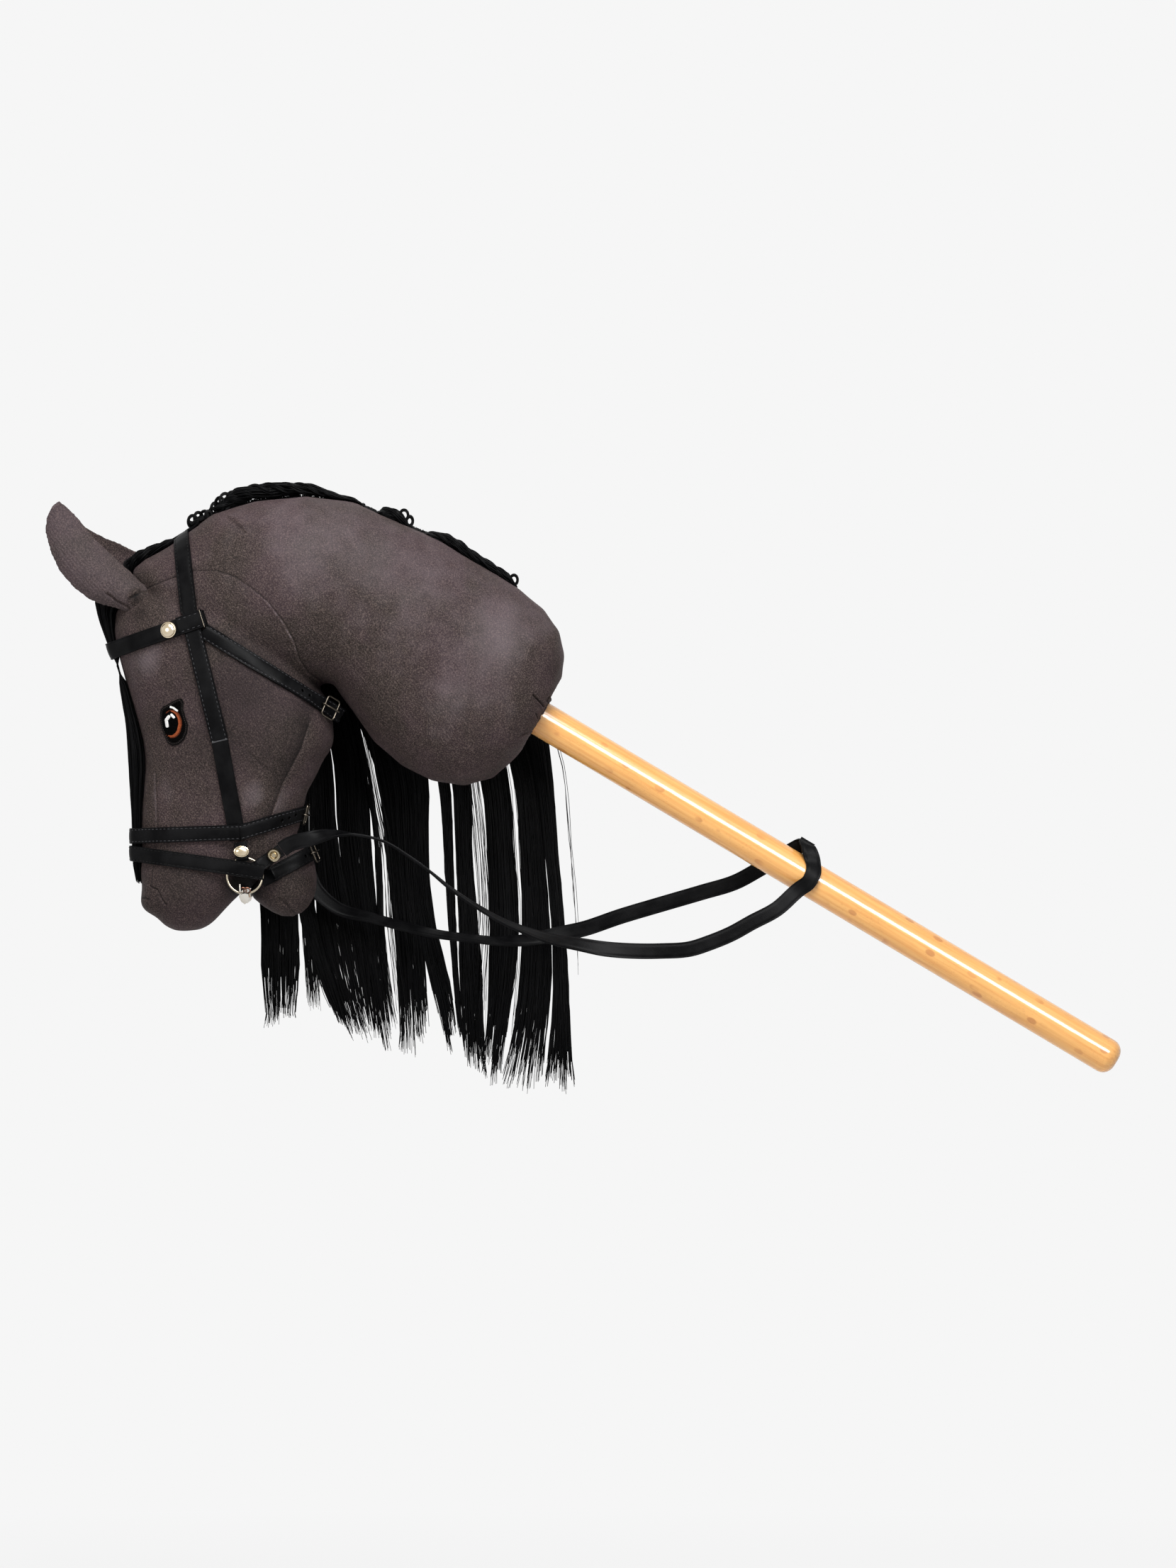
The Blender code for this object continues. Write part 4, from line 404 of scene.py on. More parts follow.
@dataclass(frozen=True)
class Thread(Finish):
    """Twisted polyester thread."""

    # The eye sees a soft satin line with a fine twist
    name: str = "dark_thread"
    base: str = "#0B0B0C"
    dip: str = "#050505"
    twist: float = 0.7 * MM
    shine: float = 0.15

    def surface(self, tree: NodeTree) -> Node:
        """Build the shader of the finish.

        Args:
            tree: The material's tree, still empty.
        Returns:
            The shader node.
        """
        place = node(tree, "ShaderNodeTexCoord").outputs["Object"]
        turn = node(tree, "ShaderNodeTexNoise", {"Vector": place, "Scale": 1.0 / self.twist, "Detail": 2.0})
        colour = node(tree, "ShaderNodeValToRGB", {"Fac": turn.outputs["Fac"]},
                      stops=[(0.3, self.dip), (0.6, self.base)])
        return node(tree, "ShaderNodeBsdfPrincipled", {
            "Base Color": colour.outputs["Color"], "Roughness": 0.5, "Specular IOR Level": self.shine})


SUEDE = BrushedSuede()
LEATHER = BridleLeather()
# Pale leather that paints a highlight on the rounded end of a strap
PAINTED_HIGHLIGHT_EDGE = BridleLeather("pressed_edge", "#3C3C3D", "#6E6E70")
SILVER = PlatedMetal()
PEARL = PlatedMetal("champagne_plate", "#D9CBB2", "#B9A582", 0.1, 0.2)
BRASS = PlatedMetal("pale_brass", "#A3977F", "#3A3126", 0.12, 0.24)
COPPER = PlatedMetal("copper_wire", "#553B30", "#2A1D17", 0.2, 0.34)
DULL = PlatedMetal("dull_nickel", "#544E46", "#302B26", 0.22, 0.36)
RING_WIRE = PlatedMetal("ring_wire", "#B3A996", "#6E6656", 0.14, 0.26)
BEECH = VarnishedBeech()
HAIR = NylonHair()
DARK_THREAD = Thread()
PALE_THREAD = Thread("pale_thread", "#434346", "#1F1F21")
SEAM_THREAD = Thread("seam_thread", "#1E1919", "#0F0C0C")


def link_piece(name: str, mesh: Mesh) -> Piece:
    """Wrap a mesh in an object of the scene.

    Args:
        name: The object's name.
        mesh: Its mesh.
    Returns:
        The new object.
    """
    piece = bpy.data.objects.new(name, mesh)
    bpy.context.scene.collection.objects.link(piece)
    return piece


def mesh_piece(name: str, points: Sequence, faces: Sequence, finish: Finish | None = None,
               edges: Sequence = (), angle: float = 40.0) -> Piece:
    """Make an object from points and faces, facing outwards.

    Args:
        name: The piece's name.
        points: Its vertices.
        faces: Its faces as vertex indices.
        finish: Its finish, or None for a guide.
        edges: Loose edges, for a guide.
        angle: Edges sharper than this many degrees stay sharp.
    Returns:
        The new object.
    """
    mesh = bpy.data.meshes.new(name)
    mesh.from_pydata([tuple(p) for p in points], list(edges), list(faces))
    if faces:
        builder = bmesh.new()
        builder.from_mesh(mesh)
        bmesh.ops.remove_doubles(builder, verts=builder.verts, dist=0.000002)
        bmesh.ops.recalc_face_normals(builder, faces=builder.faces)
        builder.to_mesh(mesh)
        builder.free()
        mesh.shade_smooth()
        mesh.set_sharp_from_angle(angle=math.radians(angle))
    if finish is not None:
        mesh.materials.append(finish.material())
    return link_piece(name, mesh)


def seat(piece: Piece, nodes: Sequence[str] = (), body: Body = Body.HORSE) -> None:
    """Put a finished piece on its body and hide what it stands for.

    Args:
        piece: The finished object.
        nodes: The CAD nodes that it replaces.
        body: The body that it rides on.
    """
    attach(piece, body.value)
    if nodes:
        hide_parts(*nodes)
    LOG.info("%s: %d faces on %s", piece.name, len(piece.data.polygons), body.value)


def joined(name: str, pieces: Sequence[Piece]) -> Piece:
    """Join meshes that already sit at the origin into one object.

    Args:
        name: The new piece's name.
        pieces: What is joined, and used up.
    Returns:
        The joined piece, with all their materials.
    """
    mesh = bpy.data.meshes.new(name)
    builder = bmesh.new()
    slots: list[Material] = []
    for piece in pieces:
        start = len(builder.faces)
        builder.from_mesh(piece.data)
        builder.faces.ensure_lookup_table()
        for face in builder.faces[start:]:
            material = piece.data.materials[face.material_index] if piece.data.materials else None
            if material not in slots:
                slots.append(material)
            face.material_index = slots.index(material)
    builder.to_mesh(mesh)
    builder.free()
    for material in slots:
        mesh.materials.append(material)
    for piece in pieces:
        bpy.data.objects.remove(piece, do_unlink=True)
    return link_piece(name, mesh)


def mirrored(piece: Piece, name: str) -> Piece:
    """Copy a left piece to the right side, facing outwards.

    Args:
        piece: The left piece.
        name: The new piece's name.
    Returns:
        The right piece.
    """
    mesh = piece.data.copy()
    mesh.transform(Matrix.Scale(-1.0, 4, RIGHT))
    mesh.flip_normals()
    return link_piece(name, mesh)


def applied(piece: Piece) -> Piece:
    """Fix all modifiers of a piece in its mesh.

    Args:
        piece: The piece.
    Returns:
        The same piece, without modifiers.
    """
    bpy.context.view_layer.update()
    graph = bpy.context.evaluated_depsgraph_get()
    mesh = bpy.data.meshes.new_from_object(piece.evaluated_get(graph))
    piece.modifiers.clear()
    piece.data = mesh
    return piece


def cut(piece: Piece, cutter: Piece) -> None:
    """Cut a piece by another, which it uses up.

    Args:
        piece: The piece that loses material.
        cutter: The shape to take away.
    """
    modifier = piece.modifiers.new("cut", "BOOLEAN")
    modifier.operation = "DIFFERENCE"
    modifier.solver = "EXACT"
    modifier.object = cutter
    applied(piece)
    bpy.data.objects.remove(cutter, do_unlink=True)


def voxel_skin(piece: Piece, size: float) -> None:
    """Remesh a piece with even faces.

    Args:
        piece: The closed piece.
        size: Width of a voxel.
    """
    modifier = piece.modifiers.new("skin", "REMESH")
    modifier.mode = "VOXEL"
    modifier.voxel_size = size
    modifier.use_smooth_shade = True
    applied(piece)


def bands(rows: int, size: int, start: int = 0) -> list[tuple[int, ...]]:
    """Faces between rows of points that each close on themselves.

    Args:
        rows: How many rows there are.
        size: Points in a row.
        start: Index of the first point.
    Returns:
        The faces, row by row.
    """
    faces = []
    for low in range(start, start + (rows - 1) * size, size):
        for k in range(size):
            j = (k + 1) % size
            faces.append((low + k, low + j, low + size + j, low + size + k))
    return faces


def ends(rows: int, size: int) -> list[tuple[int, ...]]:
    """Faces over the first and the last of the rows."""
    return [tuple(range(size)), tuple(range((rows - 1) * size, rows * size))]


def finder(points: Sequence) -> KDTree:
    """Search tree over points.

    Args:
        points: The points, found again by their index.
    Returns:
        The balanced tree.
    """
    tree = KDTree(len(points))
    for index, point in enumerate(points):
        tree.insert(point, index)
    tree.balance()
    return tree


def on_side(cover: BVHTree, x: float, z: float, side: float) -> tuple[Vector, Vector]:
    """Place on the cover and its outward direction, at X and Z in millimetres, seen from one side."""
    hit = cover.ray_cast(mm(x, side * 200.0, z), Vector((0.0, -side, 0.0)), 0.3)
    return hit[0], hit[1]


def merged_copy(node_name: str) -> Mesh:
    """Copy of a node's mesh with its loose triangles merged.

    Args:
        node_name: The CAD node.
    Returns:
        The copied mesh.
    """
    mesh = frame["nodes"][node_name].data.copy()
    builder = bmesh.new()
    builder.from_mesh(mesh)
    bmesh.ops.remove_doubles(builder, verts=builder.verts, dist=0.000002)
    builder.to_mesh(mesh)
    builder.free()
    return mesh


def tree_of(mesh: Mesh) -> BVHTree:
    """Search tree over a mesh."""
    return BVHTree.FromPolygons([v.co for v in mesh.vertices], [p.vertices for p in mesh.polygons])


def axes_of(node_name: str) -> tuple[Vector, list[Vector]]:
    """Middle of a box-like node and its own directions, longest first.

    Args:
        node_name: The CAD node.
    Returns:
        The middle and three unit vectors.
    """
    mesh = merged_copy(node_name)
    points = np.array([v.co for v in mesh.vertices])
    middle = 0.5 * (points.max(0) + points.min(0))
    _, _, rows = np.linalg.svd(points - points.mean(0))
    spread = [np.ptp((points - middle) @ row) for row in rows]
    order = np.argsort(spread)[::-1]
    axes = [Vector(rows[i]).normalized() for i in order]
    for axis in axes:
        values = (points - middle) @ np.array(axis)
        middle = middle + np.array(axis) * 0.5 * (values.max() + values.min())
    bpy.data.meshes.remove(mesh)
    return Vector(middle), axes


def section(points: np.ndarray, edges: np.ndarray, at: Vector, normal: Vector,
            first: Vector) -> Section | None:
    """Cut a solid by a plane and measure the cut.

    Args:
        points: The solid's points.
        edges: Its edges as pairs of indices.
        at: A point of the plane.
        normal: The plane's normal.
        first: The direction of the first extent.
    Returns:
        The middle of the cut and its half extents as vectors, or None if the plane misses.
    """
    side = (points - np.array(at)) @ np.array(normal)
    low, high = side[edges[:, 0]], side[edges[:, 1]]
    crossing = low * high < 0
    if crossing.sum() < 3:
        return None
    share = (low[crossing] / (low[crossing] - high[crossing]))[:, None]
    start, end = points[edges[crossing, 0]], points[edges[crossing, 1]]
    cuts = start + (end - start) * share
    second = normal.cross(first).normalized()
    u, v = cuts @ np.array(first), cuts @ np.array(second)
    middle = first * float(0.5 * (u.max() + u.min())) + second * float(0.5 * (v.max() + v.min()))
    middle += normal * at.dot(normal)
    return middle, first * float(0.5 * np.ptp(u)), second * float(0.5 * np.ptp(v))


def lathe(name: str, profile: Sequence[tuple[float, float]], centre: Vector, axis: Vector, finish: Finish,
          steps: int = 48, angle: float = 35.0) -> Piece:
    """Turned piece.

    Args:
        name: The piece's name.
        profile: Radius and height pairs from one end to the other.
        centre: Where height zero lies.
        axis: The direction of growing height.
        finish: Its finish.
        steps: Sides round the axis.
        angle: Edges sharper than this many degrees stay sharp.
    Returns:
        The new object.
    """
    turn = UP.rotation_difference(axis).to_matrix()
    points = []
    for radius, height in profile:
        for k in range(steps):
            a = 2.0 * math.pi * k / steps
            points.append(centre + turn @ Vector((radius * math.cos(a), radius * math.sin(a), height)))
    faces = bands(len(profile), steps)
    for cap, radius in zip(ends(len(profile), steps), (profile[0][0], profile[-1][0])):
        if radius > 0.0:
            faces.append(cap)
    return mesh_piece(name, points, faces, finish, angle=angle)


def tube(name: str, line: Sequence[Vector], radius: float, finish: Finish, closed: bool = False,
         sides: int = 12) -> Piece:
    """Round wire along a line.

    Args:
        name: The piece's name.
        line: Points along the middle of the wire.
        radius: The wire's radius.
        finish: Its finish.
        closed: Whether the ends meet.
        sides: Sides round the wire.
    Returns:
        The new object.
    """
    count = len(line)
    points, faces = [], []
    across = None
    for i, place in enumerate(line):
        before = line[i - 1] if closed or i > 0 else place
        after = line[(i + 1) % count] if closed or i < count - 1 else place
        ahead = (after - before).normalized()
        if across is None:
            across = ahead.orthogonal().normalized()
        across = (across - ahead * across.dot(ahead)).normalized()
        other = ahead.cross(across)
        for k in range(sides):
            a = 2.0 * math.pi * k / sides
            points.append(place + (across * math.cos(a) + other * math.sin(a)) * radius)
    twist = 0
    if closed:
        first, last = points[:sides], points[-sides:]
        twist = min(range(sides), key=lambda t: (last[0] - first[t]).length)
    for i in range(count if closed else count - 1):
        low, high = i * sides, ((i + 1) % count) * sides
        shift = twist if closed and i == count - 1 else 0
        for k in range(sides):
            j = (k + 1) % sides
            faces.append((low + k, low + j, high + (j + shift) % sides, high + (k + shift) % sides))
    if not closed:
        faces += ends(count, sides)
    return mesh_piece(name, points, faces, finish)


@dataclass
class StrapLine:
    """Run of a strap: places on its inner face, with directions across it and out of it."""

    places: list[Vector]
    across: list[Vector]
    outward: list[Vector]
    width: float
    thick: float

    def run(self) -> list[float]:
        """Distance along the strap at each place.

        Returns:
            The distances, from zero.
        """
        total = [0.0]
        for a, b in zip(self.places[:-1], self.places[1:]):
            total.append(total[-1] + (b - a).length)
        return total

    def evened(self, step: float, passes: int = 2) -> "StrapLine":
        """Respace the line evenly and take the corners off it.

        Args:
            step: Distance between places.
            passes: Smoothing passes.
        Returns:
            The new line.
        """
        run = self.run()
        count = max(4, int(run[-1] / step) + 1)
        at = np.linspace(0.0, run[-1], count)
        rows = []
        for values in (self.places, self.across, self.outward):
            table = np.array(values)
            rows.append(np.stack([np.interp(at, run, table[:, k]) for k in range(3)], axis=1))
        for _ in range(passes):
            for table in rows:
                table[1:-1] = 0.25 * table[:-2] + 0.5 * table[1:-1] + 0.25 * table[2:]
        places = [Vector(p) for p in rows[0]]
        across, outward = [], []
        for i in range(count):
            ahead = (places[min(i + 1, count - 1)] - places[max(i - 1, 0)]).normalized()
            side = Vector(rows[1][i])
            side = (side - ahead * side.dot(ahead)).normalized()
            out = ahead.cross(side)
            across.append(side)
            outward.append(out if out.dot(Vector(rows[2][i])) > 0 else -out)
        return StrapLine(places, across, outward, self.width, self.thick)

    def ribbon(self, name: str, finish: Finish, crease: float = 1.3 * MM, crown: float = 0.25 * MM,
               point: float = 0.0) -> Piece:
        """Skin of the strap with rounded edges, a pressed crease along both and a low crown.

        Args:
            name: The piece's name.
            finish: Its finish.
            crease: Distance of the creases from the edges.
            crown: Height of the middle over the edges.
            point: Length over which both ends taper, or zero.
        Returns:
            The new object.
        """
        half, thick, edge = 0.5 * self.width, self.thick, 0.35 * MM
        right = [(half - edge, 0.0), (half, edge), (half, thick - 1.2 * edge),
                 (half - 0.6 * edge, thick - 0.2 * edge), (half - 0.55 * crease, thick),
                 (half - crease, thick - 0.22 * MM), (half - 1.4 * crease, thick),
                 (0.5 * (half - crease), thick + 0.75 * crown)]
        profile = right + [(0.0, thick + crown)] + [(-u, v) for u, v in right[::-1]]
        run = self.run()
        points = []
        for i, place in enumerate(self.places):
            end = min(run[i], run[-1] - run[i])
            narrow = 1.0 if point <= 0.0 or end >= point else 0.45 + 0.55 * math.sqrt(end / point)
            for u, v in profile:
                points.append(place + self.across[i] * (u * narrow) + self.outward[i] * v)
        rows, size = len(self.places), len(profile)
        return mesh_piece(name, points, bands(rows, size) + ends(rows, size), finish, angle=50.0)

    def stitch_rows(self, inset: float, margin: float = 1.5 * MM) -> list[list[tuple[Vector, Vector]]]:
        """Places and outward directions of both stitch rows.

        Args:
            inset: How far in from the edges the rows lie.
            margin: How far from the strap's ends they stop.
        Returns:
            The left and the right row, each with places and directions.
        """
        run = self.run()
        rows = []
        for side in (-1.0, 1.0):
            offset = side * (0.5 * self.width - inset)
            rows.append([(p + a * offset + n * (self.thick + 0.08 * MM), n)
                         for p, a, n, s in zip(self.places, self.across, self.outward, run)
                         if margin <= s <= run[-1] - margin])
        return rows


class GrowTree:
    """A Geometry Nodes tree that turns guide lines into repeated or swept shapes."""

    def __init__(self, name: str, sizes: dict[str, str]) -> None:
        """Make the tree with its inputs.

        Args:
            name: The tree's name.
            sizes: Socket type of each named input.
        """
        self.tree = bpy.data.node_groups.new(name, "GeometryNodeTree")
        self.tree.interface.new_socket("Geometry", in_out="INPUT", socket_type="NodeSocketGeometry")
        for label, kind in sizes.items():
            self.tree.interface.new_socket(label, in_out="INPUT", socket_type=kind)
        self.tree.interface.new_socket("Material", in_out="INPUT", socket_type="NodeSocketMaterial")
        self.tree.interface.new_socket("Geometry", in_out="OUTPUT", socket_type="NodeSocketGeometry")
        self.given = self.tree.nodes.new("NodeGroupInput").outputs
        self.build()

    def build(self) -> None:
        """Fill the tree."""
        raise NotImplementedError

    def close(self, geometry: Socket) -> None:
        """End the tree: smooth shading, plain geometry and the material.

        Args:
            geometry: What the tree has made.
        """
        smooth = node(self.tree, "GeometryNodeSetShadeSmooth", {"Geometry": geometry})
        plain = node(self.tree, "GeometryNodeRealizeInstances", {"Geometry": smooth.outputs[0]})
        done = node(self.tree, "GeometryNodeSetMaterial", {"Geometry": plain.outputs[0],
                                                           "Material": self.given["Material"]})
        node(self.tree, "NodeGroupOutput", {"Geometry": done.outputs[0]})

    def grow(self, name: str, guide: Piece, finish: Finish, **sizes) -> Piece:
        """Run the tree on a guide, which it uses up.

        Args:
            name: The new piece's name.
            guide: An object of loose edges.
            finish: The finish of what grows.
            sizes: Values of the named inputs.
        Returns:
            The new object, a plain mesh.
        """
        values = {**sizes, "Material": finish.material()}
        modifier = guide.modifiers.new("grow", "NODES")
        modifier.node_group = self.tree
        for item in self.tree.interface.items_tree:
            if item.in_out == "INPUT" and item.name in values:
                modifier[item.identifier] = values[item.name]
        bpy.context.view_layer.update()
        graph = bpy.context.evaluated_depsgraph_get()
        mesh = bpy.data.meshes.new_from_object(guide.evaluated_get(graph))
        mesh.name = name
        bpy.data.objects.remove(guide, do_unlink=True)
        return link_piece(name, mesh)


class StitchTree(GrowTree):
    """Stitches along guide lines, lying on the surface."""

    def __init__(self) -> None:
        """Make the tree."""
        super().__init__("stitches", {"Pitch": "NodeSocketFloat", "Length": "NodeSocketFloat",
                                      "Thickness": "NodeSocketFloat"})

    def build(self) -> None:
        """One low grain of thread at each pitch, along the line and square to the surface."""
        tree, given = self.tree, self.given
        line = node(tree, "GeometryNodeMeshToCurve", {"Mesh": given["Geometry"]})
        even = node(tree, "GeometryNodeResampleCurve", {"Curve": line.outputs[0], "Length": given["Pitch"]},
                    mode="LENGTH")
        grain = node(tree, "GeometryNodeMeshUVSphere", {"Segments": 6, "Rings": 5, "Radius": 0.5})
        out = node(tree, "GeometryNodeInputNamedAttribute", {"Name": "outward"}, data_type="FLOAT_VECTOR")
        tangent = node(tree, "GeometryNodeInputTangent")
        lie = node(tree, "FunctionNodeAlignRotationToVector", {"Vector": tangent.outputs[0]}, axis="X")
        stand = node(tree, "FunctionNodeAlignRotationToVector",
                     {"Rotation": lie.outputs[0], "Vector": out.outputs[0]}, axis="Z", pivot_axis="X")
        flat = node(tree, "ShaderNodeMath", {0: given["Thickness"], 1: 0.7}, operation="MULTIPLY")
        size = node(tree, "ShaderNodeCombineXYZ", {0: given["Length"], 1: given["Thickness"],
                                                   2: flat.outputs[0]})
        many = node(tree, "GeometryNodeInstanceOnPoints", {"Points": even.outputs[0],
                                                           "Instance": grain.outputs[0],
                                                           "Rotation": stand.outputs[0],
                                                           "Scale": size.outputs[0]})
        self.close(many.outputs[0])


class ThreadTree(GrowTree):
    """Round thread laid along guide lines."""

    def __init__(self) -> None:
        """Make the tree."""
        super().__init__("laid_threads", {"Radius": "NodeSocketFloat"})

    def build(self) -> None:
        """Sweep a small section along each line."""
        tree, given = self.tree, self.given
        line = node(tree, "GeometryNodeMeshToCurve", {"Mesh": given["Geometry"]})
        ring = node(tree, "GeometryNodeCurvePrimitiveCircle", {0: 5, 4: given["Radius"]}, mode="RADIUS")
        swept = node(tree, "GeometryNodeCurveToMesh", {"Curve": line.outputs[0],
                                                       "Profile Curve": ring.outputs[0], "Fill Caps": True})
        self.close(swept.outputs[0])


class HairTree(GrowTree):
    """Strands round guide lines, gathered into finer locks towards ragged tips."""

    def __init__(self) -> None:
        """Make the tree."""
        super().__init__("combed_hair", {"Strands": "NodeSocketInt", "Steps": "NodeSocketInt",
                                         "Radius": "NodeSocketFloat", "Gathers": "NodeSocketFloat",
                                         "Gather": "NodeSocketFloat", "Frizz": "NodeSocketFloat",
                                         "Drift": "NodeSocketFloat", "Ragged": "NodeSocketFloat",
                                         "Seed": "NodeSocketInt"})

    def math(self, operation: str, *values) -> Socket:
        """Result of an arithmetic step."""
        return node(self.tree, "ShaderNodeMath", dict(enumerate(values)), operation=operation).outputs[0]

    def vector(self, operation: str, *values, scale: Socket | None = None) -> Socket:
        """Result of a step on vectors.

        Args:
            operation: Name of the step.
            values: Vectors that it takes.
            scale: Its factor, where it has one.
        Returns:
            The resulting vector.
        """
        inputs = dict(enumerate(values))
        if scale is not None:
            inputs["Scale"] = scale
        return node(self.tree, "ShaderNodeVectorMath", inputs, operation=operation).outputs[0]

    def build(self) -> None:
        """Copy each guide, spread the copies over its section and sweep them."""
        tree, given = self.tree, self.given
        line = node(tree, "GeometryNodeMeshToCurve", {"Mesh": given["Geometry"]})
        even = node(tree, "GeometryNodeResampleCurve", {"Curve": line.outputs[0], "Count": given["Steps"]},
                    mode="COUNT")
        strands = node(tree, "GeometryNodeDuplicateElements", {"Geometry": even.outputs[0],
                                                               "Amount": given["Strands"]}, domain="SPLINE")
        curve = strands.outputs[0]
        for index, (label, low, high) in enumerate((("u", -1.0, 1.0), ("v", -1.0, 1.0), ("tone", 0.0, 1.0))):
            seed = self.math("ADD", given["Seed"], float(index))
            value = node(tree, "FunctionNodeRandomValue", {2: low, 3: high, "Seed": seed}, data_type="FLOAT")
            curve = node(tree, "GeometryNodeStoreNamedAttribute", {
                "Geometry": curve, "Name": label, "Value": value.outputs[1]},
                data_type="FLOAT", domain="CURVE").outputs[0]
        u, v, tone = (node(tree, "GeometryNodeInputNamedAttribute", {"Name": label},
                           data_type="FLOAT").outputs[0] for label in ("u", "v", "tone"))
        side, depth = (node(tree, "GeometryNodeInputNamedAttribute", {"Name": label},
                            data_type="FLOAT_VECTOR").outputs[0] for label in ("side", "depth"))
        along = node(tree, "GeometryNodeSplineParameter").outputs["Factor"]
        far = self.math("POWER", along, 1.3)
        cell = self.math("ADD", self.math("FLOOR", self.math("MULTIPLY", u, given["Gathers"])), 0.5)
        middle = self.math("DIVIDE", cell, given["Gathers"])
        pull = self.math("MULTIPLY", given["Gather"], far)
        apart = self.math("MULTIPLY_ADD", self.math("SUBTRACT", middle, u), pull, u)
        seeded = self.math("ADD", cell, self.math("MULTIPLY", given["Seed"], 0.37))
        lot = node(tree, "ShaderNodeTexWhiteNoise", {"W": seeded}, noise_dimensions="1D").outputs["Value"]
        drift = self.math("MULTIPLY", self.math("MULTIPLY", self.math("SUBTRACT", lot, 0.5), given["Drift"]),
                          self.math("POWER", along, 2.0))
        round_off = self.math("SQRT", self.math("MAXIMUM", 0.0, self.math(
            "SUBTRACT", 1.0, self.math("MULTIPLY", self.math("MULTIPLY", u, u), 0.8))))
        offset = self.vector("ADD", self.vector("SCALE", side, scale=self.math("ADD", apart, drift)),
                             self.vector("SCALE", depth, scale=self.math("MULTIPLY", v, round_off)))
        place = node(tree, "GeometryNodeInputPosition").outputs[0]
        shifted = self.vector("ADD", self.vector("SCALE", place, scale=38.0), node(
            tree, "ShaderNodeCombineXYZ", {0: self.math("MULTIPLY", u, 9.0), 1: self.math(
                "MULTIPLY", v, 9.0), 2: 0.0}).outputs[0])
        wave = node(tree, "ShaderNodeTexNoise", {"Vector": shifted, "Scale": 1.0, "Detail": 1.0})
        curl = self.vector("SCALE", self.vector("SUBTRACT", wave.outputs["Color"], (0.5, 0.5, 0.5)),
                           scale=self.math("MULTIPLY", given["Frizz"], along))
        placed = node(tree, "GeometryNodeSetPosition", {"Geometry": curve,
                                                        "Offset": self.vector("ADD", offset, curl)})
        thin = self.math("MULTIPLY", given["Radius"], self.math(
            "MULTIPLY_ADD", self.math("POWER", along, 6.0), -0.6, 1.0))
        sized = node(tree, "GeometryNodeSetCurveRadius", {"Curve": placed.outputs[0], "Radius": thin})
        short = self.math("MULTIPLY", given["Ragged"], self.math(
            "MULTIPLY_ADD", lot, 0.25, self.math("MULTIPLY", tone, 0.75)))
        trimmed = node(tree, "GeometryNodeTrimCurve", {0: sized.outputs[0], 3: self.math(
            "SUBTRACT", 1.0, short)}, mode="FACTOR")
        radius = node(tree, "GeometryNodeInputRadius").outputs[0]
        ring = node(tree, "GeometryNodeCurvePrimitiveCircle", {0: 3, 4: 1.0}, mode="RADIUS")
        swept = node(tree, "GeometryNodeCurveToMesh", {"Curve": trimmed.outputs[0], "Scale": radius,
                                                       "Profile Curve": ring.outputs[0], "Fill Caps": True})
        self.close(swept.outputs[0])


def guide_mesh(name: str, lines: Sequence[Sequence[Vector]], **vectors: Sequence[Sequence[Vector]]) -> Piece:
    """Object of loose lines with vectors at their points.

    Args:
        name: The guide's name.
        lines: Points of each line.
        vectors: For each attribute name, a vector at each point of each line.
    Returns:
        The guide object.
    """
    points = [p for line in lines for p in line]
    edges, start = [], 0
    for line in lines:
        edges += [(start + i, start + i + 1) for i in range(len(line) - 1)]
        start += len(line)
    guide = mesh_piece(name, points, [], edges=edges)
    for label, rows in vectors.items():
        layer = guide.data.attributes.new(label, "FLOAT_VECTOR", "POINT")
        layer.data.foreach_set("vector", [c for row in rows for v in row for c in v])
    return guide


@dataclass
class Sewing:
    """Collects stitch rows and sews each kind with one tree."""

    pitch: float = 3.3 * MM
    length: float = 2.2 * MM
    thickness: float = 0.55 * MM
    rows: dict[Stitching, list] = field(default_factory=dict)

    def add(self, kind: Stitching, rows: Sequence) -> None:
        """Keep rows of places and outward directions for one kind of thread."""
        self.rows.setdefault(kind, []).extend(row for row in rows if len(row) > 1)

    def sew(self, name: str, finish: Finish, kind: Stitching, tree: StitchTree) -> Piece:
        """Make all stitches of one kind as one piece.

        Args:
            name: The piece's name.
            finish: The thread's finish.
            kind: Which rows are sewn, and used up.
            tree: The tree that sews.
        Returns:
            The stitches.
        """
        rows = self.rows.pop(kind)
        guide = guide_mesh(name + "_guide", [[p for p, _ in row] for row in rows],
                           outward=[[n for _, n in row] for row in rows])
        return tree.grow(name, guide, finish, Pitch=self.pitch, Length=self.length, Thickness=self.thickness)


@dataclass
class Stick:
    """The beech stick, with its rounded end."""

    outside: float = 472.7 * MM
    inside: float = 180.0 * MM
    corner: float = 9.0 * MM

    def build(self) -> None:
        """Turn the stick."""
        radius = STICK_RADIUS
        profile = [(0.0, self.outside), (radius - self.corner, self.outside)]
        for i in range(1, 13):
            a = math.radians(7.5 * i)
            profile.append((radius - self.corner + self.corner * math.sin(a),
                            self.outside - self.corner + self.corner * math.cos(a)))
        profile += [(radius, self.outside * (1.0 - k / 12.0)) for k in range(1, 13)]
        profile += [(radius, 1.5 * MM - self.inside), (radius - 1.5 * MM, -self.inside), (0.0, -self.inside)]
        stick = lathe("stick_varnished", profile, Vector(), STICK_DIR, BEECH, steps=72, angle=60.0)
        seat(stick, ["stick"])


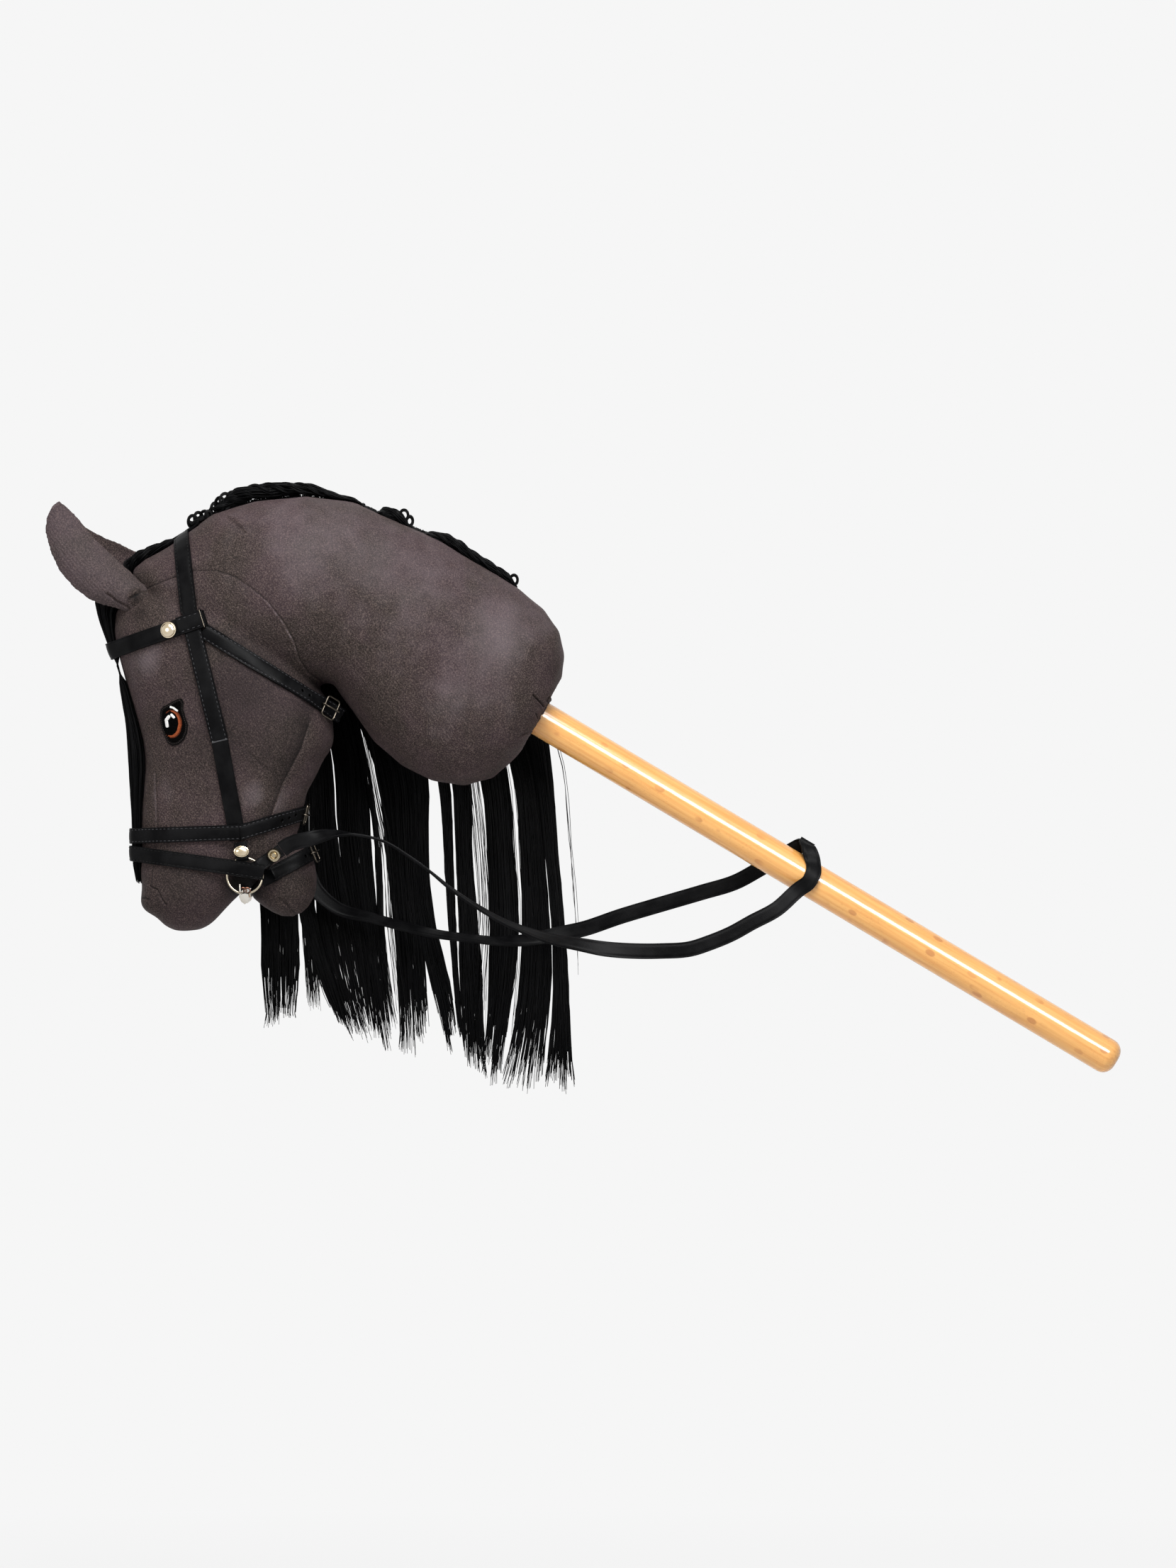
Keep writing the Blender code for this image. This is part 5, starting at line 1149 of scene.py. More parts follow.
@dataclass(frozen=True)
class Seam:
    """Sewn line or crease on the covers, in millimetres along X and Z."""

    line: tuple[tuple[float, float], ...]
    # Groove depth and width and the step beside it, share of painted highlight on the rim, side and share of
    # painted shade on the low side; side is minus one for left, one for right and zero for both
    depth: float = 0.7
    width: float = 0.65
    step: float = 0.0
    rim: float = 0.35
    side: float = 0.0
    shade: float = 0.0

    def away(self, points: np.ndarray) -> tuple[np.ndarray, np.ndarray]:
        """Distance from the line and the side of it.

        Args:
            points: Points in metres.
        Returns:
            Distance in millimetres and a sign, plus on the right of the line's way.
        """
        flat = points[:, (0, 2)] / MM
        best, sign = np.full(len(points), 1000.0), np.ones(len(points))
        for a, b in zip(self.line[:-1], self.line[1:]):
            start, run = np.array(a), np.array(b) - np.array(a)
            share = np.clip((flat - start) @ run / (run @ run), 0.0, 1.0)
            gap = np.linalg.norm(flat - start - share[:, None] * run, axis=1)
            turn = run[0] * (flat[:, 1] - start[1]) - run[1] * (flat[:, 0] - start[0])
            closer = gap < best
            best, sign = np.where(closer, gap, best), np.where(closer, np.sign(turn), sign)
        return best, sign

    def shape(self, points: np.ndarray, sideways: np.ndarray) -> tuple[np.ndarray, np.ndarray]:
        """Height and painted light that the seam gives to a cover.

        Args:
            points: Points in metres.
            sideways: Share from none to one of how far each point faces sideways.
        Returns:
            Height in metres and painted light, plus for a painted highlight and minus for painted shade.
        """
        gap, sign = self.away(points)
        there = sideways if self.side == 0.0 else sideways * (points[:, 1] * self.side > 0)
        signed = gap * sign * (-1.0 if self.step < 0.0 else 1.0)
        low = np.clip(signed / 0.8, 0.0, 1.0)
        rise = -self.depth * np.exp(-(gap / self.width) ** 2) - abs(self.step) * low * np.exp(-gap / 5.0)
        rise += 0.2 * np.exp(-((signed + 1.6) / 1.1) ** 2) * (self.depth > 0.4)
        # Painted highlight on the rim, painted shade in the groove by its depth and on the low side
        wear = self.rim * np.exp(-((signed + 0.55) / 0.5) ** 2)
        wear -= 0.7 * min(1.0, self.depth) * np.exp(-((signed - 0.35) / self.width) ** 2)
        wear -= self.shade * low * np.exp(-gap / 11.0)
        return rise * there * MM, wear * there


@dataclass
class Covers:
    """The stuffed covers of head, neck, chin and ears, with their seams."""

    voxel: float = 1.8 * MM
    chin_voxel: float = 1.1 * MM
    ear_voxel: float = 0.8 * MM
    # The simulation's coarse cage, its pressure, its frames and how far it may move the cover
    cage_voxel: float = 5.0 * MM
    pressure: float = 4.0
    frames: int = 20
    most_swell: float = 2.6 * MM
    # The cheek seam runs from the ear over the cheek to the throat, with painted shade on its low side
    cheek: Seam = Seam((
        (-291.0, 84.0), (-274.0, 93.0), (-259.5, 99.0), (-243.5, 104.0), (-228.5, 104.0), (-215.5, 100.0),
        (-203.5, 92.0), (-191.5, 82.0), (-181.5, 69.0), (-173.5, 55.0), (-169.5, 41.0), (-163.5, 32.0),
        (-153.0, 24.5), (-147.0, 21.0)), 0.7, 0.5, step=0.6, rim=0.0, shade=0.12)
    # Painted highlight (plus) and painted shade (minus) in patches: middle along X and Z, reach in
    # millimetres, amount
    painted_light_patches: tuple = (
        (-205.0, 28.0, 36.0, -0.5), (-222.0, -22.0, 30.0, -0.3), (-252.0, -120.0, 26.0, -0.4),
        (-199.0, -54.0, 14.0, 0.42), (-276.0, 40.0, 11.0, 0.26), (-262.0, -50.0, 13.0, 0.08),
        (-160.0, 124.0, 38.0, 0.16), (-90.0, 108.0, 38.0, 0.12), (-28.0, 60.0, 24.0, 0.28),
        (-58.0, 22.0, 20.0, 0.1), (-132.0, 2.0, 26.0, -0.18), (-95.0, -48.0, 26.0, -0.14),
        (-160.0, 16.0, 15.0, -0.35), (4.0, 36.0, 13.0, -0.3), (-186.0, -132.0, 14.0, -0.24),
        (-281.0, 74.0, 7.0, -0.4), (-271.0, 88.0, 6.0, -0.3), (-209.0, -117.0, 12.0, -1.5),
        (-246.0, -96.0, 22.0, -0.16), (-250.0, 10.0, 30.0, -0.1))
    # Where the filling stands out: middle along X and Z, reach and height in millimetres
    bulges: tuple = ((-279.0, -131.0, 8.0, 3.2), (-262.0, -142.0, 12.0, 1.0))
    # Front panel, jowl gusset, nostril, lip, pull lines of the filling and creases at the stick, with painted
    # shade in their grooves
    others: tuple = (
        Seam(((-271.5, -38.0), (-270.5, -60.0), (-270.5, -82.0), (-272.5, -100.0), (-274.8, -117.0)),
             0.45, 0.6, rim=0.12),
        Seam(((-163.0, -6.0), (-168.0, -21.5), (-181.5, -46.5), (-188.0, -64.0), (-191.0, -75.0)), 0.5, 0.6,
             -0.7, rim=0.0, shade=0.7),
        Seam(((-274.8, -118.0), (-269.7, -120.5), (-266.0, -127.5), (-263.6, -130.5)), 0.7, 0.55, rim=0.02),
        Seam(((-279.0, -126.3), (-276.5, -126.0), (-274.5, -127.0)), 0.9, 0.5, rim=0.0),
        Seam(((-220.5, 142.0), (-214.0, 136.5), (-208.0, 131.0)), 0.35, 0.9, rim=0.0, side=-1.0),
        Seam(((-216.0, 140.0), (-210.5, 134.5)), 0.3, 0.9, rim=0.0, side=-1.0),
        Seam(((-206.0, -23.0), (-198.0, -31.0), (-189.0, -38.0)), 0.25, 1.0, rim=0.0, side=-1.0),
        Seam(((-5.2, 16.2), (-1.6, 12.6), (1.9, 8.6)), 1.6, 0.55, rim=0.1),
        Seam(((5.8, 15.2), (4.3, 12.2)), 1.2, 0.6, rim=0.0),
        Seam(((-3.6, 3.6), (-2.4, 0.4)), 0.9, 0.5, rim=0.0),
        Seam(((-14.0, -12.0), (-8.0, -9.5)), 0.8, 0.6, rim=0.0))

    @staticmethod
    def settle(mesh: Mesh, passes: int) -> np.ndarray:
        """Take the facets off a mesh without shrinking it.

        Args:
            mesh: The cover's mesh, which stays as it is.
            passes: Pairs of smoothing and widening steps.
        Returns:
            Its settled points.
        """
        count = len(mesh.vertices)
        points = np.empty(count * 3)
        mesh.vertices.foreach_get("co", points)
        points = points.reshape(-1, 3)
        edges = np.empty(len(mesh.edges) * 2, int)
        mesh.edges.foreach_get("vertices", edges)
        a, b = edges.reshape(-1, 2).T
        near = np.bincount(a, minlength=count) + np.bincount(b, minlength=count)
        for k in range(2 * passes):
            total = np.stack([np.bincount(a, points[b, c], count) + np.bincount(b, points[a, c], count)
                              for c in range(3)], axis=1)
            points = points + (0.5 if k % 2 == 0 else -0.515) * (total / near[:, None] - points)
        return points

    @staticmethod
    def around(points: np.ndarray, x: float, z: float, reach: float) -> np.ndarray:
        """Share at each point, one at a place and falling over its reach, both in millimetres."""
        return np.exp(-(np.hypot(points[:, 0] / MM - x, points[:, 2] / MM - z) / reach) ** 2)

    @staticmethod
    def set_tone_and_painted_light(skin: Piece, wear: np.ndarray) -> None:
        """Keep at each point the random tone and the painted highlight and shade of the cover."""
        skin.data.attributes.new("wear", "FLOAT", "POINT").data.foreach_set("value", wear)

    @staticmethod
    def normals(mesh: Mesh, points: np.ndarray) -> np.ndarray:
        """Write points to a mesh and read its normals.

        Args:
            mesh: The cover's mesh.
            points: Its new points.
        Returns:
            Its normals.
        """
        mesh.vertices.foreach_set("co", points.ravel())
        mesh.update()
        values = np.empty(len(mesh.vertices) * 3)
        mesh.vertex_normals.foreach_get("vector", values)
        return values.reshape(-1, 3)

    def remeshed(self, name: str, nodes: Sequence[str], voxel: float, passes: int) -> Piece:
        """One skin over CAD solids, with even faces and no facets.

        Args:
            name: The skin's name.
            nodes: The solids that it covers.
            voxel: Width of its faces.
            passes: How long it is smoothed.
        Returns:
            The skin, in suede.
        """
        skin = joined(name, [link_piece(f"{name}_{n}", merged_copy(n)) for n in nodes])
        voxel_skin(skin, voxel)
        skin.data.materials.clear()
        skin.data.materials.append(SUEDE.material())
        self.normals(skin.data, self.settle(skin.data, passes))
        skin.data.shade_smooth()
        return skin

    @staticmethod
    def refine(skin: Piece, seams: Sequence[Seam], reach: float) -> None:
        """Split the faces near seams, so that they hold fine creases.

        Args:
            skin: The cover.
            seams: Its seams.
            reach: How far from a seam faces are split, in millimetres.
        """
        builder = bmesh.new()
        builder.from_mesh(skin.data)
        points = np.array([v.co for v in builder.verts])
        near = np.min([seam.away(points)[0] for seam in seams], axis=0) < reach
        edges = [e for e in builder.edges if near[e.verts[0].index] and near[e.verts[1].index]]
        bmesh.ops.subdivide_edges(builder, edges=edges, cuts=1, use_grid_fill=True)
        builder.to_mesh(skin.data)
        builder.free()

    @staticmethod
    def unevenness(points: np.ndarray, scale: float, seed: float) -> np.ndarray:
        """Smooth random height at each point."""
        return np.array([noise.noise(Vector(p) / scale + Vector((seed, seed, seed))) for p in points])

    def head_and_neck(self) -> Piece:
        """Build the joined skin with its seams, lumps and puckers, in one mesh.

        Returns:
            The cover, before straps press on it.
        """
        skin = self.remeshed("stuffed_cover", ["head", "neck"], self.voxel, 110)
        seams = (self.cheek, *self.others)
        self.refine(skin, seams, 5.5)
        self.refine(skin, seams, 2.4)
        points = self.settle(skin.data, 2)
        normals = self.normals(skin.data, points)
        rise = 0.75 * MM * self.unevenness(points, 40.0 * MM, 3.0)
        rise += 0.25 * MM * self.unevenness(points, 12.0 * MM, 8.0)
        sideways = np.clip((np.abs(normals[:, 1]) - 0.12) / 0.25, 0.0, 1.0)
        wear = 0.08 * self.unevenness(points, 26.0 * MM, 5.0) + 0.06 * self.unevenness(points, 9.0 * MM, 9.0)
        # Painted highlights and painted shade in patches, then those of the seams
        for x, z, reach, amount in self.painted_light_patches:
            wear += amount * self.around(points, x, z, reach)
        for x, z, reach, height in self.bulges:
            rise += height * MM * self.around(points, x, z, reach)
        for seam in seams:
            more_rise, more_painted_light = seam.shape(points, sideways)
            rise += more_rise
            wear += more_painted_light
        # Painted highlight along the lower cheek seam, where its folded edge meets the light
        edge, sign = self.cheek.away(points)
        fade = np.clip((points[:, 0] / MM + 204.0) / 20.0, 0.0, 1.0)
        fade *= 0.6 + 0.9 * self.unevenness(points, 2.6 * MM, 1.0)
        wear += 0.42 * sideways * fade * np.exp(-((edge * sign + 0.7) / 0.75) ** 2)
        middle = np.abs(points[:, 1])
        rise -= 0.7 * MM * np.exp(-(middle / (1.3 * MM)) ** 2) * (points[:, 0] > -0.262)
        reach = np.linalg.norm(points - np.array(STICK_DIR) * -2.0 * MM, axis=1)
        turn = np.arctan2(points[:, 1], points @ np.array(STICK_UP))
        folds = np.clip(np.cos(9.0 * turn + 1.6 * np.sin(2.0 * turn) + 0.9), 0.0, 1.0) ** 5
        fold = folds * np.clip(1.0 - (reach - 13.0 * MM) / (18.0 * MM), 0.0, 1.0) ** 1.5
        rise -= 1.1 * MM * fold
        # Painted shade in the folds at the stick
        wear -= 0.5 * fold
        self.normals(skin.data, points + normals * rise[:, None])
        self.set_tone_and_painted_light(skin, wear)
        return skin

    def swell(self, skin: Piece, held: Sequence[Sequence[Vector]]) -> None:
        """Blow the cover up a little with a cloth simulation on a coarse copy.

        Args:
            skin: The cover.
            held: Points of what presses on it, such as straps.
        """
        coarse = link_piece("cover_cage", skin.data.copy())
        voxel_skin(coarse, self.cage_voxel)
        before = np.array([v.co for v in coarse.data.vertices])
        press = finder([point for points in held for point in points])
        # How far from a strap, a seam and the gathered mouth the cover is still held
        near_strap, near_seam, near_mouth = 14.0 * MM, 16.0 * MM, 50.0 * MM
        weights = []
        for point in before:
            gap = press.find(point)[2]
            seam = min(float(self.cheek.away(point[None, :])[0][0]) * MM, abs(point[1]))
            mouth = float(np.linalg.norm(point))
            weights.append(1.0 - min(1.0, gap / near_strap, seam / near_seam, mouth / near_mouth))
        group = coarse.vertex_groups.new(name="held")
        for index, weight in enumerate(weights):
            group.add([index], max(0.02, weight), "REPLACE")
        cloth = coarse.modifiers.new("cloth", "CLOTH")
        cloth.settings.vertex_group_mass = "held"
        cloth.settings.pin_stiffness = 1.0
        cloth.settings.use_pressure = True
        cloth.settings.uniform_pressure_force = self.pressure
        cloth.settings.effector_weights.gravity = 0.0
        cloth.settings.quality = 5
        cloth.point_cache.frame_start, cloth.point_cache.frame_end = 1, self.frames
        for step in range(1, self.frames + 1):
            bpy.context.scene.frame_set(step)
        applied(coarse)
        after = np.array([v.co for v in coarse.data.vertices])
        bpy.context.scene.frame_set(1)
        moved = after - before
        length = np.maximum(np.linalg.norm(moved, axis=1), 1e-9)
        moved *= (np.minimum(length, self.most_swell) / length)[:, None]
        find = finder(before)
        points = np.array([v.co for v in skin.data.vertices])
        shift = np.zeros_like(points)
        for index, point in enumerate(points):
            near = find.find_n(point, 5)
            share = np.array([1.0 / (n[2] + 1.0 * MM) ** 2 for n in near])
            shift[index] = (moved[[n[1] for n in near]] * share[:, None]).sum(0) / share.sum()
        self.normals(skin.data, points + shift)
        bpy.data.objects.remove(coarse, do_unlink=True)

    def press_under(self, skin: Piece, lines: Sequence[StrapLine]) -> None:
        """Press the cover in where a strap lies on it, so that no strap hangs over a gap or sinks.

        Args:
            skin: The cover.
            lines: The straps' lines.
        """
        rows = [(p, n, 0.5 * line.width) for line in lines for p, n in zip(line.places, line.outward)]
        find = finder([row[0] for row in rows])
        beyond, clearance, deepest, highest = 4.0 * MM, 0.25 * MM, -3.0 * MM, 5.0 * MM
        for vertex in skin.data.vertices:
            _, index, gap = find.find(vertex.co)
            place, outward, half = rows[index]
            if gap > half + beyond:
                continue
            over = (vertex.co - place).dot(outward) + clearance
            if deepest < over < highest:
                fade = min(1.0, max(0.0, (half + beyond - gap) / beyond))
                vertex.co -= outward * max(0.0, over) * fade
        skin.data.update()

    def build(self, lines: Sequence[StrapLine]) -> BVHTree:
        """Make and seat all covers.

        Args:
            lines: The straps that press on them.
        Returns:
            A search tree over the joined cover, for what is sewn on it.
        """
        skin = self.head_and_neck()
        self.swell(skin, [line.places for line in lines])
        self.press_under(skin, lines)
        tree = tree_of(skin.data)
        seat(skin, ["head", "neck"])
        self.chin()
        self.ears(tree)
        return tree

    def sewn(self, cover: BVHTree, stitches: StitchTree) -> None:
        """Sew the dark stitches that show along the upper cheek seam.

        Args:
            cover: Search tree of the cover.
            stitches: The tree that sews.
        """
        line = [place for place in self.cheek.line if place[0] < -180.0]
        sewing = Sewing(2.1 * MM, 1.15 * MM, 0.5 * MM)
        for side in (-1.0, 1.0):
            row = []
            for (ax, az), (bx, bz) in zip(line[:-1], line[1:]):
                for share in np.linspace(0.0, 0.875, 8):
                    place, normal = on_side(cover, ax + (bx - ax) * share, az + (bz - az) * share, side)
                    row.append((place + normal * 0.25 * MM, normal))
            sewing.add(Stitching.DARK, [row])
        seat(sewing.sew("cheek_seam_stitches", SEAM_THREAD, Stitching.DARK, stitches))

    def chin(self) -> None:
        """Small stuffed chin with its seam."""
        chin = self.remeshed("chin_cover", ["chin"], self.chin_voxel, 24)
        points = self.settle(chin.data, 0)
        normals = self.normals(chin.data, points)
        seam = Seam(((-184.5, -126.5), (-178.0, -132.0), (-173.0, -138.0)), 0.7, 0.6, rim=0.1)
        rise, wear = seam.shape(points, np.ones(len(points)))
        rise += 0.35 * MM * self.unevenness(points, 16.0 * MM, 5.0)
        # Painted shade: the whole chin a little darker, and much darker in the mouth behind the bit
        wear -= 0.2 + 1.3 * self.around(points, -207.0, -117.0, 12.0)
        self.set_tone_and_painted_light(chin, wear)
        self.normals(chin.data, points + normals * rise[:, None])
        seat(chin, ["chin"])

    def ears(self, cover: BVHTree) -> None:
        """Leaf ears, folded at the base, which reaches into the head. The far ear opens wider.

        Args:
            cover: Search tree of the cover, which the bases reach into.
        """
        fold = Seam(((-305.0, 87.5), (-298.0, 82.0), (-291.5, 79.0), (-288.0, 75.0)), 1.0, 0.7, rim=0.2)
        tuck = Seam(((-274.0, 91.0), (-281.0, 89.5), (-290.0, 84.0)), 1.1, 0.7, rim=0.25)
        for side in ("left", "right"):
            ear = self.remeshed(f"ear_{side}_cover", [f"ear_{side}"], self.ear_voxel, 44)
            points = self.settle(ear.data, 0)
            normals = self.normals(ear.data, points)
            outer = np.clip(normals[:, 1] * (-1.0 if side == "left" else 1.0), 0.0, 1.0)
            rise, wear = fold.shape(points, outer)
            more_rise, more_painted_light = tuck.shape(points, outer)
            rise += more_rise + 0.25 * MM * self.unevenness(points, 9.0 * MM, 2.0)
            points = points + normals * rise[:, None]
            if side == "right":
                high = points[:, 2] / MM
                across = (0.756 * (points[:, 0] / MM + 283.0) + 0.655 * (high - 85.0) + 10.0) / 24.0
                spread = np.interp(high, (84.0, 100.0, 116.0, 124.0, 138.0), (0.2, 0.8, 1.0, 0.85, 0.0))
                points[:, 0] += 19.0 * MM * spread * np.clip(across, 0.0, 1.0)
            for index, point in enumerate(points):
                found = cover.find_nearest(Vector(point), 6.0 * MM)
                if found[0] is not None and found[3] < 4.0 * MM:
                    points[index] -= np.array(found[1]) * 1.2 * MM * (1.0 - found[3] / (4.0 * MM))
            self.normals(ear.data, points)
            # Painted shade where the ear's base meets the head
            more_painted_light -= 0.75 * outer * self.around(points, -284.0, 85.0, 4.5)
            # The outer face a little paler
            self.set_tone_and_painted_light(ear, wear + more_painted_light + 0.12 * outer)
            seat(ear, [f"ear_{side}"])


@dataclass
class Strap:
    """One strap of the bridle, read from its CAD node and made again with real edges."""

    node: str
    # Lengths are in millimetres: the middle along X and Z, then two points of a line that looks ahead
    centre: tuple[float, float]
    ahead: tuple[float, float, float, float]
    width: float = 10.0
    thick: float = 1.8
    stitching: Stitching = Stitching.DARK
    wider: float = 0.9
    longer: float = 0.0
    point: float = 0.0
    flat: bool = False
    holes_from: float | None = None
    holes: int = 3
    hole_pitch: float = 6.5
    hole_radius: float = 1.1
    # Whether a pale bar paints a highlight across the strap's end
    pressed_end: bool = False
    line: StrapLine | None = None

    def outlook(self) -> tuple[Vector, Vector]:
        """Middle that the strap is measured from, and the direction that its run faces."""
        x0, z0, x1, z1 = self.ahead
        return mm(self.centre[0], 0.0, self.centre[1]), Vector((x1 - x0, 0.0, z1 - z0)).normalized()

    def measure(self) -> StrapLine:
        """Follow the node's inner face all the way round, at both of its edges.

        Returns:
            The strap's line.
        """
        tree = tree_of(frame["nodes"][self.node].data)
        centre, forward = self.outlook()
        sideways = LEFT
        if self.flat:
            forward, sideways = LEFT, forward
        across = forward.cross(sideways).normalized()
        half = 0.5 * self.width * MM - 0.3 * MM
        rows = []
        for angle in np.radians(np.arange(-178.0, 178.1, 0.5)):
            ray = forward * math.cos(angle) + sideways * math.sin(angle)
            hits = [tree.ray_cast(centre + across * h, ray, 0.2)[0] for h in (-half, half)]
            if hits[0] is None or hits[1] is None:
                if len(rows) > 6:
                    break
                rows = []
                continue
            middle = 0.5 * (hits[0] + hits[1])
            rows.append((middle, (hits[1] - hits[0]).normalized(), ray))
        places, acrosses, outwards = (list(values) for values in zip(*rows))
        raw = StrapLine(places, acrosses, outwards, (self.width + self.wider) * MM, self.thick * MM)
        self.line = raw.evened(1.6 * MM, passes=2)
        if self.longer > 0.0:
            for end, inner in ((0, 1), (-1, -2)):
                ahead = (self.line.places[end] - self.line.places[inner]).normalized()
                place = self.line.places[end] + ahead * (self.longer * MM)
                at = 0 if end == 0 else len(self.line.places)
                self.line.places.insert(at, place)
                self.line.across.insert(at, self.line.across[end].copy())
                self.line.outward.insert(at, self.line.outward[end].copy())
        return self.line

    def at_forward(self, value: float) -> tuple[Vector, Vector, Vector]:
        """Find where the left side's run reaches a distance forward.

        Args:
            value: The distance from the middle in millimetres.
        Returns:
            The place, the direction along the strap and the outward one.
        """
        centre, forward = self.outlook()
        line = self.line
        best, place = 1.0, 0
        for index, point in enumerate(line.places[1:-1], 1):
            if point.y > 0:
                continue
            gap = abs((point - centre).dot(forward) - value * MM)
            if gap < best:
                best, place = gap, index
        along = (line.places[place + 1] - line.places[place - 1]).normalized()
        if along.dot(forward) < 0:
            along = -along
        return line.places[place], along, line.outward[place]

    def build(self, sewing: Sewing) -> Piece:
        """Make the strap, punch its holes and hand its stitch rows on.

        Args:
            sewing: What gets the stitch rows.
        Returns:
            The strap.
        """
        body = self.line.ribbon(self.node + "_strap", LEATHER, point=self.point * MM)
        if self.stitching is not Stitching.NONE:
            sewing.add(self.stitching, self.line.stitch_rows(1.3 * MM))
        if self.holes_from is not None:
            place, along, outward = self.at_forward(self.holes_from)
            punch = [(self.hole_radius * MM, -4.0 * MM), (self.hole_radius * MM, 4.0 * MM)]
            for k in range(self.holes):
                centre = place + along * (k * self.hole_pitch * MM)
                cut(body, lathe("punch", punch, centre, outward, LEATHER, steps=14))
        # Pale bar across the end: a painted highlight on the strap's rounded edge
        if self.pressed_end:
            line = self.line
            middle = line.places[-1] + line.outward[-1] * (0.55 * line.thick)
            reach = line.across[-1] * (0.5 * line.width - 0.5 * MM)
            edge = tube("pressed_end", [middle - reach, middle + reach], 0.45 * line.thick, PAINTED_HIGHLIGHT_EDGE)
            body = joined(body.name, [body, edge])
        return body


@dataclass
class Bridle:
    """All straps, keepers, studs and buckles of the bridle."""

    sewing: Sewing = field(default_factory=Sewing)
    straps: dict[str, Strap] = field(default_factory=dict)
    keeper_half: float = 9.6 * MM
    keeper_width: float = 12.8 * MM
    keeper_thick: float = 2.0 * MM
    # Radius, height and width of the rim
    stud: tuple[float, float, float] = (5.9 * MM, 3.9 * MM, 0.9 * MM)
    rivet: tuple[float, float, float] = (5.4 * MM, 3.0 * MM, 0.7 * MM)
    # How much lower than round the oval rivets are
    rivet_squash: float = 0.74
    # Radius and height pairs of a press stud in millimetres
    press_stud: tuple = ((0.0, 0.7), (1.5, 0.7), (1.9, 1.0), (2.2, 2.2), (2.9, 3.1), (3.6, 3.2), (4.3, 2.6),
                         (4.8, 1.5), (5.0, 0.6), (5.0, 0.0), (0.0, 0.0))
    buckle_corner: float = 2.2 * MM
    buckle_half_length: float = 5.5 * MM
    buckle_half_width: float = 7.25 * MM
    # The tongue's eye clears the frame by the play, and its pin lies over the frame by the lift
    frame_radius: float = 0.9 * MM
    pin_radius: float = 0.75 * MM
    pin_play: float = 0.25 * MM
    pin_lift: float = 0.3 * MM
    # The wires are drawn finer than their solids
    frame_wire: float = 0.65 * MM
    pin_wire: float = 0.6 * MM

    def measure(self) -> list[StrapLine]:
        """Read every strap's line from the frame.

        Returns:
            The lines of the straps that lie on the covers.
        """
        rows = [
            Strap("crownpiece", (-249.3, 95.0), (-247.0, 74.0, -253.5, 133.0), 11.0, wider=1.1, longer=4.0,
                  point=6.0),
            Strap("cheekpiece_upper_left", (-234.8, 23.45), (-243.6, 59.5, -226.0, -12.6), 11.0, 2.6,
                  stitching=Stitching.PALE, wider=1.2, longer=3.0, flat=True, pressed_end=True),
            Strap("cheekpiece_lower_left", (-219.25, -49.55), (-225.7, -13.6, -212.8, -85.5), 10.0, 1.8,
                  stitching=Stitching.NONE, wider=1.8, flat=True),
            Strap("throatlatch", (-192.5, 34.0), (-234.5, 62.0, -154.0, 12.0), stitching=Stitching.PALE,
                  longer=4.0, holes_from=28.0, holes=2),
            Strap("browband", (-256.5, 63.5), (-236.5, 70.5, -303.0, 48.0), 11.0, stitching=Stitching.NONE),
            Strap("noseband_strap", (-206.5, -78.5), (-209.0, -79.0, -166.5, -66.0),
                  stitching=Stitching.PALE, holes_from=24.0),
            Strap("noseband", (-236.5, -80.8), (-213.0, -80.0, -282.0, -82.5), stitching=Stitching.PALE),
            Strap("flash_strap", (-196.0, -113.5), (-191.0, -111.5, -160.0, -94.5), longer=16.0,
                  holes_from=33.0),
            Strap("flash_band", (-236.5, -102.0), (-196.5, -107.5, -283.0, -95.5)),
        ]
        self.straps = {strap.node: strap for strap in rows}
        lines = [strap.measure() for strap in rows]
        for strap in rows:
            run = strap.line.run()
            LOG.info("%s measured: %d places, %.0f mm", strap.node, len(run), run[-1] / MM)
        return lines

    def build(self, stitches: StitchTree) -> None:
        """Make and seat all pieces of the bridle.

        Args:
            stitches: The tree that sews.
        """
        for name, strap in self.straps.items():
            body = strap.build(self.sewing)
            seat(body, [name])
            if strap.flat:
                other = name.replace("left", "right")
                seat(mirrored(body, other + "_strap"), [other])
                rows = strap.line.stitch_rows(1.3 * MM)
                flip = Vector((1.0, -1.0, 1.0))
                self.sewing.add(strap.stitching, [[(p * flip, n * flip) for p, n in row] for row in rows])
        self.keepers()
        self.studs()
        self.buckles()
        for kind, finish, name in ((Stitching.DARK, DARK_THREAD, "bridle_dark_stitches"),
                                   (Stitching.PALE, PALE_THREAD, "bridle_pale_stitches")):
            seat(self.sewing.sew(name, finish, kind, stitches))

    def keepers(self) -> None:
        """Leather keepers over both ends of the browband."""
        for side in ("left", "right"):
            name = f"browband_keeper_{side}"
            middle, (along, across, outward) = axes_of(name)
            if outward.dot(middle - mm(-256.5, 0.0, 63.5)) < 0:
                outward = -outward
            base = middle - outward * 0.8 * MM
            back = along if along.x > 0.0 else -along
            places = [base + back * (self.keeper_half * (k / 8.0 - 1.0)) for k in range(17)]
            line = StrapLine(places, [across] * 17, [outward] * 17, self.keeper_width, self.keeper_thick)
            keeper = line.ribbon(name + "_fold", LEATHER, crease=1.0 * MM, crown=0.3 * MM)
            seat(keeper, [name])
            for row in line.stitch_rows(1.9 * MM, margin=1.2 * MM):
                self.sewing.add(Stitching.PALE, [row])
            end = base + back * 8.2 * MM
            bow = [(-6.9, -0.6), (-6.9, 1.6), (-6.3, 2.5), (6.3, 2.5), (6.9, 1.6), (6.9, -0.6)]
            wire = [end + across * (u * MM) + outward * (v * MM) for u, v in bow]
            seat(tube(f"keeper_staple_{side}", wire, 0.4 * MM, DULL))

